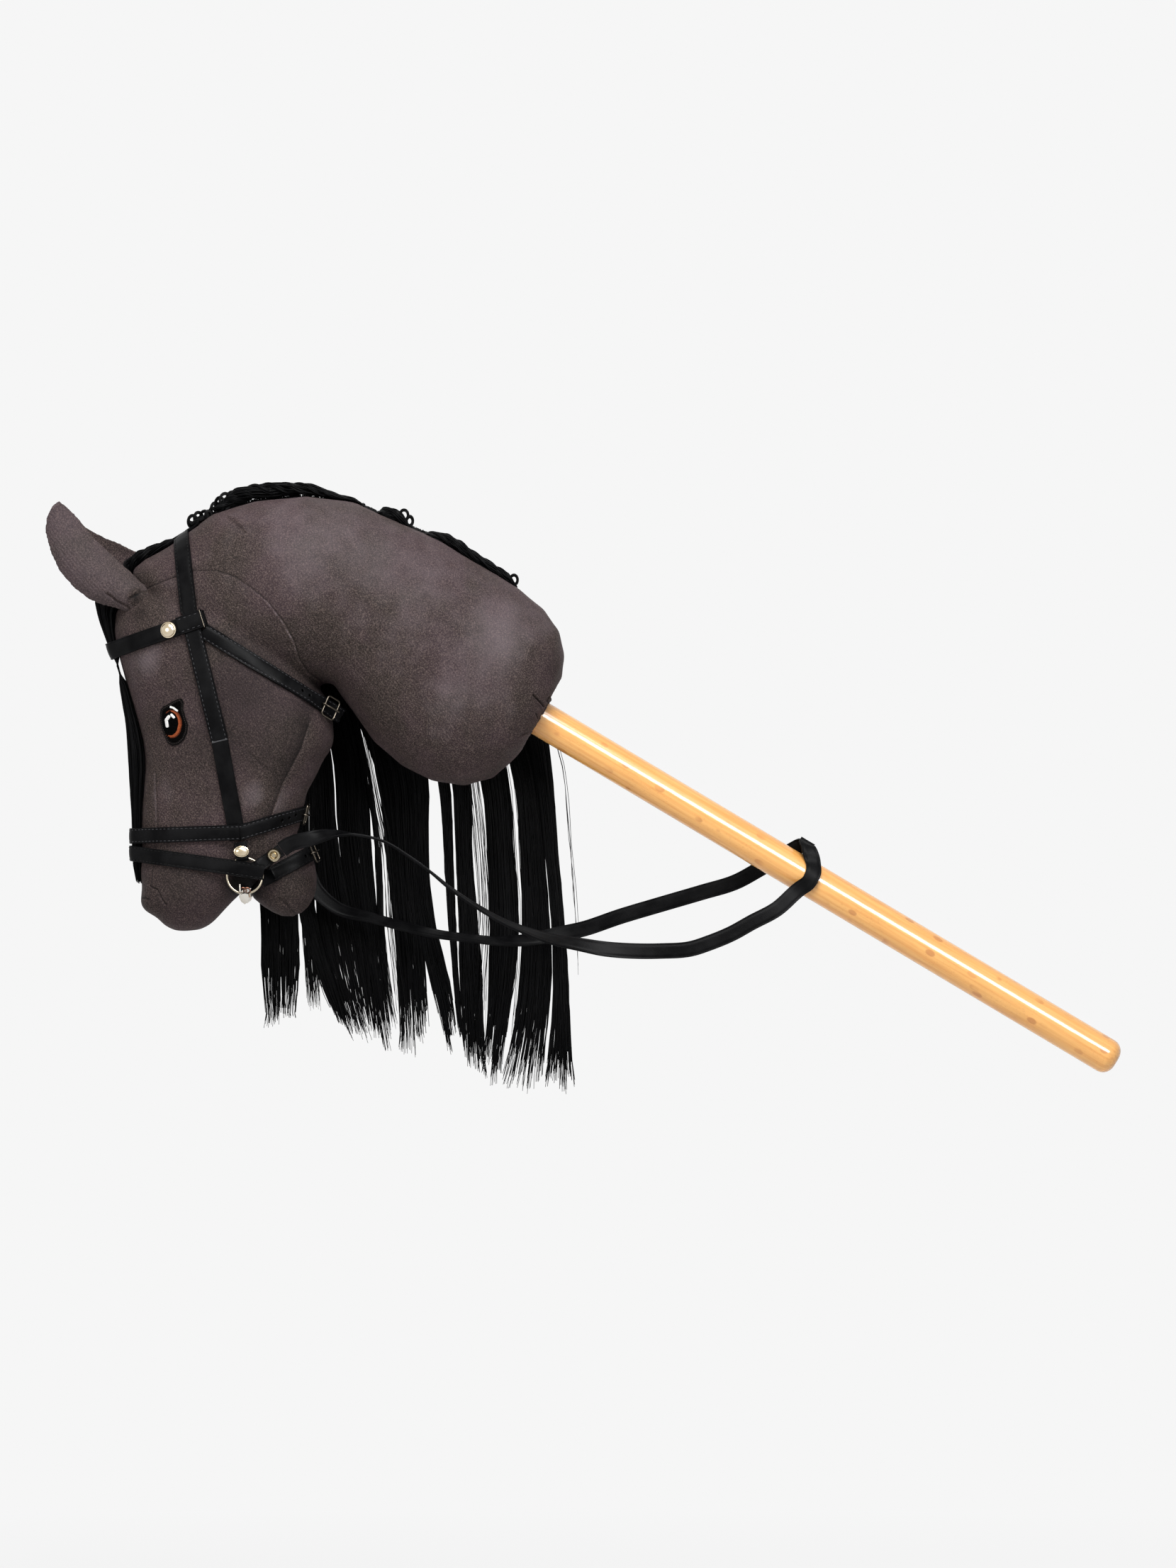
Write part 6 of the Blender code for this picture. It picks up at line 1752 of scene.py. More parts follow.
    def dome(self, name: str, radius: float, height: float, centre: Vector, axis: Vector, finish: Finish,
             rim: float = 0.0) -> Piece:
        """Domed stud or rivet head, with a stepped rim if asked.

        Args:
            name: The piece's name.
            radius: Its radius.
            height: Its height.
            centre: Middle of its foot.
            axis: The direction that it faces.
            finish: Its finish.
            rim: Width of the stepped rim, or zero.
        Returns:
            The stud.
        """
        profile = [(0.0, height)]
        for i in range(1, 15):
            a = math.radians(90.0 * i / 14.0)
            profile.append(((radius - rim) * math.sin(a), 0.4 * height + 0.6 * height * math.cos(a)))
        if rim > 0.0:
            profile += [(radius - rim, 0.28 * height), (radius - 0.25 * rim, 0.24 * height),
                        (radius, 0.12 * height)]
        profile += [(radius, 0.0), (0.0, 0.0)]
        return lathe(name, profile, centre, axis, finish, steps=56)

    def studs(self) -> None:
        """Domed studs on the browband, oval cheek rivets and the press studs of the rein tabs."""
        for side, flip in (("left", -1.0), ("right", 1.0)):
            middle, axes = axes_of(f"browband_stud_{side}")
            axis = axes[2] if axes[2].y * flip > 0 else -axes[2]
            radius, height, rim = self.stud
            stud = self.dome(f"browband_stud_{side}_dome", radius, height, middle - axis * 1.8 * MM, axis,
                             PEARL, rim)
            seat(stud, [f"browband_stud_{side}"])
            base = self.base_of(f"cheek_rivet_{side}", flip)
            radius, height, rim = self.rivet
            rivet = self.dome(f"cheek_rivet_{side}_head", radius, height, base, Vector((0.0, flip, 0.0)),
                              PEARL, rim)
            for vertex in rivet.data.vertices:
                vertex.co.z = base.z + self.rivet_squash * (vertex.co.z - base.z)
            seat(rivet, [f"cheek_rivet_{side}"])
            base = self.base_of(f"rein_rivet_{side}", flip)
            cup = [(radius * MM, height * MM) for radius, height in self.press_stud]
            stud = lathe(f"rein_rivet_{side}_head", cup, base, Vector((0.0, flip, 0.0)), BRASS, steps=56)
            seat(stud, [f"rein_rivet_{side}"])

    @staticmethod
    def base_of(name: str, flip: float) -> Vector:
        """Middle of the inner face of a round piece on the bridle's side.

        Args:
            name: The CAD node.
            flip: Minus one for a left piece, one for a right.
        Returns:
            The middle.
        """
        low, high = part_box(name)
        base = 0.5 * (low + high)
        base.y = high.y if flip < 0 else low.y
        return base

    def buckles(self) -> None:
        """Wire frames on the straps and their hinged tongues."""
        joints = {joint["child"]: joint for joint in frame["joints"]}
        corner = self.buckle_corner
        half_length, half_width = self.buckle_half_length, self.buckle_half_width
        eye_radius = self.frame_radius + self.pin_play + self.pin_radius
        top = self.frame_radius + self.pin_lift + self.pin_radius
        for label, body in (("throatlatch", Body.THROAT_TONGUE), ("noseband", Body.NOSE_TONGUE),
                            ("flash", Body.FLASH_TONGUE)):
            name = f"{label}_buckle_frame"
            joint = joints[body.value]
            heel, across = Vector(joint["pos_m"]), -Vector(joint["axis"])
            low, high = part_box(name)
            middle = 0.5 * (low + high)
            along = middle - heel
            along = (along - across * along.dot(across)).normalized()
            outward = along.cross(across)
            if outward.dot(middle - mm(-205.0, 0.0, middle.z / MM)) < 0:
                outward = -outward
            centre = heel + along * half_length
            points = []
            for sx, sy, start in ((1, 1, 0), (-1, 1, 90), (-1, -1, 180), (1, -1, 270)):
                for k in range(7):
                    a = math.radians(start + 15.0 * k)
                    points.append(centre + along * (sx * (half_length - corner) + corner * math.cos(a))
                                  + across * (sy * (half_width - corner) + corner * math.sin(a)))
            wire = tube(f"{label}_buckle_wire", points, self.frame_wire, DULL, closed=True)
            seat(wire, [name])
            turn = [heel + along * (eye_radius * math.cos(a)) + outward * (eye_radius * math.sin(a))
                    for a in np.linspace(math.radians(70.0), math.radians(385.0), 22)]
            shank = [heel + along * (far * MM) + outward * (share * top)
                     for far, share in ((4.0, 0.9), (6.5, 1.0), (9.0, 1.0), (12.2, 0.98))]
            tongue = tube(f"{label}_buckle_pin", turn + shank, self.pin_wire, DULL)
            seat(tongue, [f"{label}_buckle_tongue"], body)


@dataclass
class Bit:
    """Loose rings, the folded straps round them and the mouthpiece."""

    ring_place: tuple[float, float] = (-208.0, -110.5)
    ring_radius: float = 12.5 * MM
    wire: float = 0.85 * MM
    fold_inside: float = 1.4 * MM
    leather: float = 1.2 * MM
    width: float = 9.0 * MM
    # Where each strap end leaves the ring, in degrees, and how far its fold reaches out
    cheek_angle: float = 98.0
    cheek_reach: float = 11.4 * MM
    rein_angle: float = 35.3
    rein_reach: float = 19.0 * MM
    bar_radius: float = 3.0 * MM
    # The bar's radius in its middle and what it grows by to its ends, both in millimetres
    bar_waist: float = 2.5
    bar_growth: float = 0.5
    # How far the bar stops short of each ring's middle
    bar_short: float = 4.0 * MM
    # Places across the horse with the barrel's size there, then its outline along X and Z in millimetres
    barrel_rows: tuple = ((-5.0, 0.7), (-4.2, 1.0), (3.6, 1.0), (4.6, 0.8), (5.0, 0.7))
    barrel_outline: tuple = ((0.0, -7.6), (2.6, -5.6), (4.0, -2.6), (3.6, 0.4), (0.0, 1.2), (-3.6, 0.4),
                             (-4.0, -2.6), (-2.6, -5.6))

    def ring_centre(self, side: float) -> Vector:
        """Middle of a ring."""
        low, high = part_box("bit_ring_left")
        return Vector((self.ring_place[0] * MM, side * abs(0.5 * (low.y + high.y)), self.ring_place[1] * MM))

    def loop(self, name: str, angle: float, length: float, side: float, sewing: Sewing) -> Piece:
        """Strap end folded round the ring, with both layers sewn together.

        Args:
            name: The piece's name.
            angle: Direction from the ring's middle, in radians.
            length: How far it reaches out of the ring's wire.
            side: Minus one for left, one for right.
            sewing: What gets its stitches.
        Returns:
            The fold.
        """
        centre = self.ring_centre(side)
        out = Vector((math.cos(angle), 0.0, math.sin(angle)))
        across = Vector((-math.sin(angle), 0.0, math.cos(angle)))
        normal = Vector((0.0, side, 0.0))
        gap = 0.15 * MM
        steps = int((length - 4.2 * MM) / (1.2 * MM))
        flat = [self.ring_radius + length - k * 1.2 * MM for k in range(steps)]
        places = [(r, gap) for r in flat]
        for k in range(13):
            a = math.radians(-50.0 + 280.0 * k / 12.0)
            places.append((self.ring_radius - self.fold_inside * math.sin(a), self.fold_inside * math.cos(a)))
        places += [(r, -gap) for r in flat[::-1]]
        points, outward = [], []
        for i, (r, y) in enumerate(places):
            r0, y0 = places[max(0, i - 1)]
            r1, y1 = places[min(len(places) - 1, i + 1)]
            points.append(centre + out * r + normal * y)
            ahead = Vector((r1 - r0, y1 - y0)).normalized()
            outward.append(out * ahead.y + normal * -ahead.x)
        line = StrapLine(points, [across] * len(points), outward, self.width, self.leather)
        rows = line.stitch_rows(1.2 * MM, margin=1.5 * MM)
        share = len(flat) - 2
        sewing.add(Stitching.DARK, [row[:share] for row in rows])
        return line.ribbon(name, LEATHER, crease=1.0 * MM, crown=0.1 * MM)

    def barrel(self, name: str, centre: Vector, side: float) -> Piece:
        """Faceted end of the mouthpiece, with its point down.

        Args:
            name: The piece's name.
            centre: Where the bar's middle line ends.
            side: Minus one for left, one for right.
        Returns:
            The barrel.
        """
        points = []
        for place, share in self.barrel_rows:
            for x, z in self.barrel_outline:
                points.append(centre + Vector((x * share * MM, side * place * MM,
                                               (-3.0 + (z + 3.0) * share) * MM)))
        rows, size = len(self.barrel_rows), len(self.barrel_outline)
        return mesh_piece(name, points, bands(rows, size) + ends(rows, size), SILVER, angle=15.0)

    def build(self, sewing: Sewing) -> None:
        """Make and seat the bit.

        Args:
            sewing: What gets the stitches of the folds.
        """
        for side, label, body in ((-1.0, "left", Body.LEFT_RING), (1.0, "right", Body.RIGHT_RING)):
            centre = self.ring_centre(side)
            circle = [centre + Vector((math.cos(a), 0.0, math.sin(a))) * self.ring_radius
                      for a in (2.0 * math.pi * k / 72.0 for k in range(72))]
            ring = tube(f"bit_ring_{label}_wire", circle, self.wire, RING_WIRE, closed=True, sides=14)
            seat(ring, [f"bit_ring_{label}"], body)
            for kind, angle, length in (("cheek", self.cheek_angle, self.cheek_reach),
                                        ("rein", self.rein_angle, self.rein_reach)):
                loop = self.loop(f"{kind}_loop_{label}_fold", math.radians(angle), length, side, sewing)
                seat(loop, [f"{kind}_loop_{label}"])
        self.mouthpiece()

    def mouthpiece(self) -> None:
        """Bar across the mouth with a faceted barrel and collars at each ring."""
        half = abs(self.ring_centre(1.0).y)
        middle = Vector((self.ring_place[0] * MM, 0.0, self.ring_place[1] * MM - self.ring_radius))
        reach = half - self.bar_short
        profile = [(0.0, reach), (self.bar_radius, reach)]
        for k in range(10, -11, -1):
            radius = self.bar_waist + self.bar_growth * abs(math.sin(0.5 * math.pi * k / 10.0))
            profile.append((radius * MM, half * k / 12.0))
        profile += [(self.bar_radius, -reach), (0.0, -reach)]
        parts = [lathe("bar", profile, middle, RIGHT, SILVER, steps=32)]
        for side in (-1.0, 1.0):
            end = middle + RIGHT * (side * half)
            parts.append(self.barrel("barrel", end, side))
            for place, lean in ((1.5, -1.3), (2.6, 1.5)):
                collar = [end + Vector(((lean + 2.3 * math.cos(a)) * MM, side * place * MM,
                                        (2.0 + 2.0 * math.sin(a)) * MM))
                          for a in (2.0 * math.pi * k / 28.0 for k in range(28))]
                parts.append(tube("collar", collar, 0.5 * MM, COPPER, closed=True, sides=8))
            prong = [end + Vector((x * MM, side * 3.2 * MM, z * MM)) for x, z in ((-3.2, 1.0), (-3.4, 6.6))]
            parts.append(tube("prong", prong, 0.6 * MM, SILVER))
        seat(joined("bit_mouthpiece_bar", parts), ["bit_mouthpiece"])


@dataclass
class Eyes:
    """Embroidered eyes: satin stitch in five colours on a backing patch."""

    spacing: float = 0.36 * MM
    thread: float = 0.23 * MM
    outline: tuple = (
        (-252.6, 14.4), (-250.8, 11.4), (-251.2, 6.6), (-249.4, 0.4), (-247.8, -4.4), (-248.3, -9.6),
        (-250.6, -15.0), (-254.4, -18.2), (-259.0, -19.1), (-262.2, -17.0), (-264.3, -12.5),
        (-266.5, -6.1), (-267.7, 0.2), (-267.3, 5.9), (-265.0, 8.6), (-260.0, 11.2), (-255.4, 13.6))
    # White strokes in millimetres along X and Z, each with its half width
    strokes: tuple = ((((-262.3, -5.0), (-263.0, -1.0), (-261.2, 1.4)), 1.15),
                      (((-259.2, 2.7), (-257.8, 1.1)), 0.95),
                      (((-260.0, 8.3), (-257.6, 7.4), (-255.3, 5.6)), 0.7))
    border: float = 1.9
    centre: tuple[float, float] = (-258.5, -3.0)
    # Ovals in millimetres: middle along X and Z, half width and half height
    pupil: tuple = (-260.2, -3.4, 5.7, 8.3)
    iris: tuple = (-259.0, -3.7, 7.0, 10.0)
    iris_inner: tuple = (-259.2, -3.7, 6.3, 9.3)
    # The iris shows only to the right of this place along X
    iris_front: float = -263.6

    @staticmethod
    def from_line(x: float, z: float, line: Sequence[tuple[float, float]]) -> float:
        """Distance of a point from a line, all in millimetres.

        Args:
            x: The point along X.
            z: Its height.
            line: The line's corners.
        Returns:
            The distance.
        """
        best = 1000.0
        for (ax, az), (bx, bz) in zip(line[:-1], line[1:]):
            rx, rz = bx - ax, bz - az
            share = min(1.0, max(0.0, ((x - ax) * rx + (z - az) * rz) / (rx * rx + rz * rz)))
            best = min(best, math.hypot(x - ax - share * rx, z - az - share * rz))
        return best

    @staticmethod
    def in_oval(x: float, z: float, cx: float, cz: float, rx: float, rz: float) -> bool:
        """Whether a point lies in an upright oval."""
        return ((x - cx) / rx) ** 2 + ((z - cz) / rz) ** 2 < 1.0

    def inside(self, x: float, z: float) -> bool:
        """Whether a point lies in the outline.

        Args:
            x: The point along X in millimetres.
            z: Its height in millimetres.
        Returns:
            True if it does.
        """
        result = False
        count = len(self.outline)
        for i in range(count):
            (ax, az), (bx, bz) = self.outline[i], self.outline[(i + 1) % count]
            if (az > z) != (bz > z) and x < (bx - ax) * (z - az) / (bz - az) + ax:
                result = not result
        return result

    def colour_at(self, x: float, z: float) -> str | None:
        """Name of the thread at a point, in millimetres along X and Z.

        Args:
            x: The point along X in millimetres.
            z: Its height in millimetres.
        Returns:
            The thread's name, or None outside the eye.
        """
        if not self.inside(x, z):
            return None
        if any(self.from_line(x, z, line) < half for line, half in self.strokes):
            return "white"
        if self.in_oval(x, z, *self.pupil):
            return "pupil"
        if self.in_oval(x, z, *self.iris) and x > self.iris_front:
            inner = self.in_oval(x, z, *self.iris_inner)
            return "iris" if inner else "iris_edge"
        edge = self.from_line(x, z, (*self.outline, self.outline[0]))
        return "border" if edge < self.border else "rim"

    def lines(self, colour: str, angle: float) -> list[list[tuple[float, float]]]:
        """Parallel thread lines that fill one colour's area.

        Args:
            colour: The thread's name.
            angle: Direction of the threads, in radians.
        Returns:
            The lines, as points in millimetres.
        """
        ahead = (math.cos(angle), math.sin(angle))
        beside = (-ahead[1], ahead[0])
        rows = []
        step, half_rows, half_steps = 0.15, 70, 150
        cx, cz = self.centre
        for i in range(-half_rows, half_rows + 1):
            run: list[tuple[float, float]] = []
            for j in range(-half_steps, half_steps + 1):
                x = cx + beside[0] * i * self.spacing / MM + ahead[0] * j * step
                z = cz + beside[1] * i * self.spacing / MM + ahead[1] * j * step
                if self.colour_at(x, z) == colour:
                    run.append((x, z))
                    continue
                if len(run) > 4:
                    rows.append(run)
                run = []
        return rows

    def edging(self, cover: BVHTree, side: float, label: str, stitches: StitchTree) -> Piece:
        """Short stitches just inside the outline.

        Args:
            cover: Search tree of the cover.
            side: Minus one for left, one for right.
            label: The side's name.
            stitches: The tree that sews.
        Returns:
            The stitches.
        """
        row = []
        cx, cz = self.centre
        corners = (*self.outline, self.outline[0])
        for (ax, az), (bx, bz) in zip(corners[:-1], corners[1:]):
            for share in (0.0, 0.25, 0.5, 0.75):
                x, z = ax + (bx - ax) * share, az + (bz - az) * share
                place, outward = on_side(cover, cx + (x - cx) * 0.9, cz + (z - cz) * 0.92, side)
                row.append((place + outward * 0.75 * MM, outward))
        sewing = Sewing(1.5 * MM, 0.85 * MM, 0.4 * MM)
        sewing.add(Stitching.DARK, [row])
        thread = Thread("eye_edge_thread", "#4B4240", "#241F1E")
        return sewing.sew(f"eye_{label}_edging", thread, Stitching.DARK, stitches)

    def build(self, cover: BVHTree, threads: ThreadTree, stitches: StitchTree) -> None:
        """Sew both eyes onto the cover.

        Args:
            cover: Search tree of the cover.
            threads: The tree that lays threads.
            stitches: The tree that sews.
        """
        # Each colour's thread, its direction in radians and its height over the cover in millimetres
        finishes = {"rim": (Thread("eye_rim_thread", "#080707", "#030303", shine=0.02), 1.2, 0.15),
                    "border": (Thread("eye_border_thread", "#121010", "#070606", shine=0.04), 0.25, 0.4),
                    "iris": (Thread("eye_iris_thread", "#A5532D", "#75381D"), 1.35, 0.42),
                    "iris_edge": (Thread("eye_iris_edge_thread", "#6E3218", "#43200F"), 1.35, 0.36),
                    "pupil": (Thread("eye_pupil_thread", "#060606", "#020202", shine=0.02), 1.0, 0.36),
                    "white": (Thread("eye_white_thread", "#F8F7F5", "#DAD8D5"), 1.2, 0.6)}
        for side, label in ((-1.0, "left"), (1.0, "right")):
            parts = []
            for colour, (finish, angle, lift) in finishes.items():
                lines = []
                for run in self.lines(colour, angle):
                    count = max(2, min(7, len(run) // 4))
                    picks = [run[round(k * (len(run) - 1) / (count - 1))] for k in range(count)]
                    line = []
                    for k, (x, z) in enumerate(picks):
                        place, outward = on_side(cover, x, z, side)
                        bow = 0.22 * MM * math.sin(math.pi * k / (count - 1))
                        line.append(place + outward * (lift * MM + bow))
                    lines.append(line)
                guide = guide_mesh(f"eye_{colour}_guide", lines)
                parts.append(threads.grow(f"eye_{label}_{colour}", guide, finish, Radius=self.thread))
            parts.append(self.patch(cover, side))
            parts.append(self.edging(cover, side, label, stitches))
            seat(joined(f"eye_{label}_embroidery", parts), [f"eye_{label}"])

    def patch(self, cover: BVHTree, side: float) -> Piece:
        """Dark backing under the threads.

        Args:
            cover: Search tree of the cover.
            side: Minus one for left, one for right.
        Returns:
            The backing.
        """
        cx, cz = self.centre
        shares = (0.0, 0.3, 0.6, 0.85, 1.0)
        points = []
        for lift in (0.25 * MM, -0.6 * MM):
            for share in shares:
                for x, z in self.outline:
                    place, outward = on_side(cover, cx + (x - cx) * share, cz + (z - cz) * share, side)
                    points.append(place + outward * lift)
        size = len(self.outline)
        half = len(shares) * size
        faces = bands(len(shares), size) + bands(len(shares), size, half)
        rim, back = half - size, 2 * half - size
        for k in range(size):
            j = (k + 1) % size
            faces.append((rim + k, rim + j, back + j, back + k))
        return mesh_piece("patch", points, faces, Thread("eye_backing", "#080707", "#030303", shine=0.02))


@dataclass
class Mane:
    """Combed hair: locks behind the neck, rolled roots on the crest, and the forelock."""

    tree: HairTree
    cover: BVHTree
    radius: float = 0.4 * MM
    # How far each lock hangs to the right of its solid below the neck, how much wider and how much longer
    hang: tuple = (
        (0.0, 1.2, 18.0), (0.0, 1.05, 14.0), (7.5, 1.05, 12.0), (8.5, 1.25, 12.0), (7.0, 1.25, 10.0),
        (6.0, 1.3, 12.0), (5.0, 1.05, 12.0), (4.5, 1.1, 12.0), (4.5, 1.1, 14.0), (4.0, 1.1, 20.0),
        (2.5, 1.12, 22.0))
    # Loops that stand up from each roll: place along X and Z and radius in millimetres
    standing: tuple = (
        ((-245.5, 139.0, 4.4), (-241.5, 141.5, 4.2), (-237.5, 142.5, 4.0), (-234.5, 143.5, 3.0)),
        ((-231.5, 145.5, 3.0), (-229.5, 148.0, 4.4), (-226.5, 151.0, 5.0), (-222.5, 153.5, 5.4),
         (-218.0, 155.0, 5.0), (-213.5, 156.5, 4.4)),
        ((-96.5, 143.5, 3.8), (-92.5, 139.5, 3.2)),
        ((-19.0, 98.0, 3.4),))
    # Thin locks and loose hairs between the others: strands, half width, places along X and Z
    wisps: tuple = (
        (130, 4.6, ((-186.0, 112.0), (-178.0, 45.0), (-168.0, -20.0), (-166.0, -43.0), (-165.0, -93.0),
                    (-165.0, -143.0), (-163.0, -171.0), (-160.0, -214.0))),
        (60, 2.0, ((-176.0, 112.0), (-146.0, 45.0), (-127.0, -20.0), (-122.5, -43.0), (-115.5, -93.0),
                   (-113.5, -143.0), (-111.0, -171.0), (-102.5, -223.0))),
        (15, 4.2, ((-176.0, 112.0), (-142.0, 45.0), (-123.0, -20.0), (-119.0, -43.0), (-109.0, -93.0),
                   (-106.0, -143.0), (-103.0, -171.0), (-98.0, -216.0))),
        (16, 4.4, ((-100.0, 118.0), (-74.0, 45.0), (-53.0, -20.0), (-48.5, -43.0), (-43.0, -93.0),
                   (-40.5, -143.0), (-42.0, -171.0), (-45.0, -235.0))),
        (5, 2.4, ((-70.0, 112.0), (-44.0, 45.0), (-25.0, -20.0), (-21.0, -43.0), (-16.5, -93.0),
                  (-13.7, -143.0), (-14.7, -171.0), (-20.0, -238.0))),
        (4, 1.6, ((-37.0, 98.0), (-20.0, 55.0), (0.0, 5.0), (13.0, -24.0), (20.0, -80.0),
                  (24.0, -130.0), (27.0, -188.0))))

    @staticmethod
    def solid(name: str) -> tuple[np.ndarray, np.ndarray]:
        """Points and edges of a CAD node.

        Args:
            name: The node's name.
        Returns:
            The points, and the edges as pairs of their indices.
        """
        mesh = merged_copy(name)
        points = np.array([v.co for v in mesh.vertices])
        edges = np.array([e.vertices for e in mesh.edges])
        bpy.data.meshes.remove(mesh)
        return points, edges

    def grow(self, name: str, stations: Sequence, seed: int, nodes: Sequence[str] = (), **sizes) -> None:
        """Grow one bundle along sections and seat it.

        Args:
            name: The piece's name.
            stations: Runs of sections along the bundle.
            seed: Seed of its strands.
            nodes: The CAD nodes that it replaces.
            sizes: Tree inputs that differ from the usual ones.
        """
        lines, sides, depths = ([[s[k] for s in run] for run in stations] for k in range(3))
        guide = guide_mesh(name + "_guide", lines, side=sides, depth=depths)
        values = {"Strands": 280, "Steps": 24, "Radius": self.radius, "Gathers": 1.5, "Gather": 0.03,
                  "Frizz": 4.0 * MM, "Drift": 0.08, "Ragged": 0.2, "Seed": seed}
        seat(self.tree.grow(name, guide, HAIR, **{**values, **sizes}), nodes)

    def locks(self) -> None:
        """Hanging locks on the far side."""
        for number in range(1, 12):
            name = f"mane_lock_{number:02d}"
            points, edges = self.solid(name)
            low, high = points.min(0), points.max(0)
            run = []
            heights = np.concatenate([high[2] - np.array([9.0, 16.0, 24.0, 34.0, 46.0]) * MM,
                                      np.linspace(high[2] - 60.0 * MM, low[2] + 1.0 * MM, 16)])
            for height in heights:
                found = section(points, edges, Vector((0.0, 0.0, float(height))), UP, X_AXIS)
                if found is not None:
                    run.append(self.hung(number, found))
            middle, side, depth = run[-1]
            run[-1] = (middle, side * 1.3, depth * 1.2)
            ahead = (middle - run[-2][0]).normalized() * (self.hang[number - 1][2] * MM)
            run.append((middle + ahead, side * 1.7, depth * 1.3))
            top = points[points[:, 2] > high[2] - 14.0 * MM]
            left, right = float(top[:, 0].min()), float(top[:, 0].max())
            root_x = 0.5 * (left + right)
            crest_z = [self.cover.ray_cast(Vector((x, 0.5 * MM, 0.3)), -UP, 0.6)[0].z
                       for x in (left, root_x, right)]
            run[2:-2] = [self.between(run[i - 1:i + 2]) for i in range(2, len(run) - 2)]
            root_side = Vector((0.5 * (right - left), 0.0, 0.5 * (crest_z[2] - crest_z[0])))
            root = Vector((root_x, 1.0 * MM, crest_z[1] + 1.0 * MM))
            run.insert(0, (root + mm(0.0, 6.0, -2.0), root_side, mm(0.0, 1.0, 2.0)))
            run.insert(0, (root, root_side, mm(0.0, 0.0, 1.5)))
            self.grow(name + "_hair", [run], 11 * number, [name], Strands=420 if number == 1 else 300)

    @staticmethod
    def between(stations: Sequence[Section]) -> Section:
        """Mean of neighbouring sections."""
        first, second, third = (sum((s[k] for s in stations), Vector()) / len(stations) for k in range(3))
        return first, second, third

    def hung(self, number: int, found: Section) -> Section:
        """Section of a lock as it hangs, straighter down and fuller than its solid.

        Args:
            number: The lock's number.
            found: The solid's section.
        Returns:
            The section of the hair.
        """
        middle, side, depth = found
        shift, wider, _ = self.hang[number - 1]
        share = float(np.interp(middle.z / MM, (-90.0, -45.0, -20.0, 20.0, 60.0), (0.0, 0.45, 1.0, 1.0, 0.0)))
        return middle + X_AXIS * (share * shift * MM), side * wider, depth * 1.15

    def loose(self) -> None:
        """Thin locks and loose hairs on the far side."""
        for index, (strands, half, places) in enumerate(self.wisps):
            points = [mm(x, 54.0 - 8.0 * min(1.0, max(0.0, (z - 60.0) / 50.0)), z) for x, z in places]
            middles, _, _ = Reins.smooth(points, [UP] * len(points), 9.0 * MM)
            run = [(middle, X_AXIS * (half * MM), RIGHT * (2.0 * MM)) for middle in middles]
            self.grow(f"mane_wisp_{index + 1}_hair", [run], 13 * index + 2, Strands=strands, Gather=0.0,
                      Drift=0.0, Ragged=0.12, Radius=0.24 * MM)

    @staticmethod
    def braid(run: Sequence, bundles: int, pitch: float, thick: float) -> list:
        """Wind bundles about a line of sections.

        Args:
            run: Places with two half extents.
            bundles: How many bundles there are.
            pitch: Length of one turn.
            thick: Share of the section that a bundle fills.
        Returns:
            A run of sections for each bundle.
        """
        total = 0.0
        wound: list[list] = [[] for _ in range(bundles)]
        for i, (middle, side, depth) in enumerate(run):
            if i:
                total += (middle - run[i - 1][0]).length
            for k in range(bundles):
                a = 2.0 * math.pi * (total / pitch + k / bundles)
                out = 1.0 - thick
                place = middle + side * (out * math.cos(a)) + depth * (out * math.sin(a))
                wound[k].append((place, side * thick, depth * thick))
        return wound

    @staticmethod
    def loops(centres: Sequence[tuple[float, float, float]]) -> list:
        """Standing loops of hair: each centre has a radius, in millimetres along X and Z.

        Args:
            centres: Their middles and radii.
        Returns:
            A run of sections for each loop.
        """
        made = []
        for index, (x, z, radius) in enumerate(centres):
            tilt = 0.5 * math.sin(2.3 * index)
            wide = Vector((math.cos(tilt), math.sin(tilt), 0.0))
            run = []
            for k in range(19):
                a = math.radians(-90.0 + 20.0 * k)
                out = wide * (0.75 * math.cos(a)) + UP * math.sin(a)
                place = mm(x, 1.5 * math.sin(1.7 * index), z) + out * (radius * MM)
                run.append((place, out * 0.95 * MM, wide.cross(UP) * 0.95 * MM))
            made.append(run)
        return made

    def rolls(self) -> None:
        """Rolled and knotted roots along the crest, with loops of hair that stand up."""
        for number in range(1, 5):
            name = f"mane_roll_{number}"
            points, edges = self.solid(name)
            low, high = points.min(0), points.max(0)
            run = []
            open_end = {1: 60.0 * MM, 2: 17.0 * MM}.get(number, 0.1 * MM)
            for x in np.arange(low[0] + 0.8 * MM, high[0] - 0.7 * MM, 2.0 * MM):
                found = section(points, edges, Vector((float(x), 0.0, 0.0)), X_AXIS, RIGHT)
                if found is not None:
                    middle, side, depth = found
                    thin = min(1.0, 0.35 + 0.65 * float(x - low[0]) / open_end)
                    drop = UP * ((1.0 - thin) * 0.75 * depth.length)
                    hit = self.cover.ray_cast(middle + UP * 0.04, -UP, 0.2)[0]
                    if number > 2 and hit is not None:
                        drop += UP * max(0.0, middle.z - depth.length - hit.z + 1.5 * MM)
                    run.append((middle - drop, side * (0.4 + 0.6 * thin), depth * thin))
            for index, (middle, side, depth) in enumerate(run):
                inward = min(index if number > 2 else 3, len(run) - 1 - index)
                full = min(1.0, 0.3 + 0.25 * inward)
                run[index] = (middle - UP * ((1.0 - full) * depth.length), side * full, depth * full)
            common = {"Steps": max(30, 2 * len(run)), "Gather": 0.0, "Drift": 0.0}
            wound = self.braid(run, 2, 62.0 * MM, 0.72) + self.braid(run, 3, 34.0 * MM, 0.45)
            self.grow(name + "_hair", wound, 7 * number, [name], Strands=60, Ragged=0.1,
                      Frizz=3.5 * MM, **common)
            standing = self.loops(self.standing[number - 1])
            self.grow(name + "_loops", standing, 7 * number + 3, Strands=26, Ragged=0.0, Frizz=1.2 * MM,
                      **common)

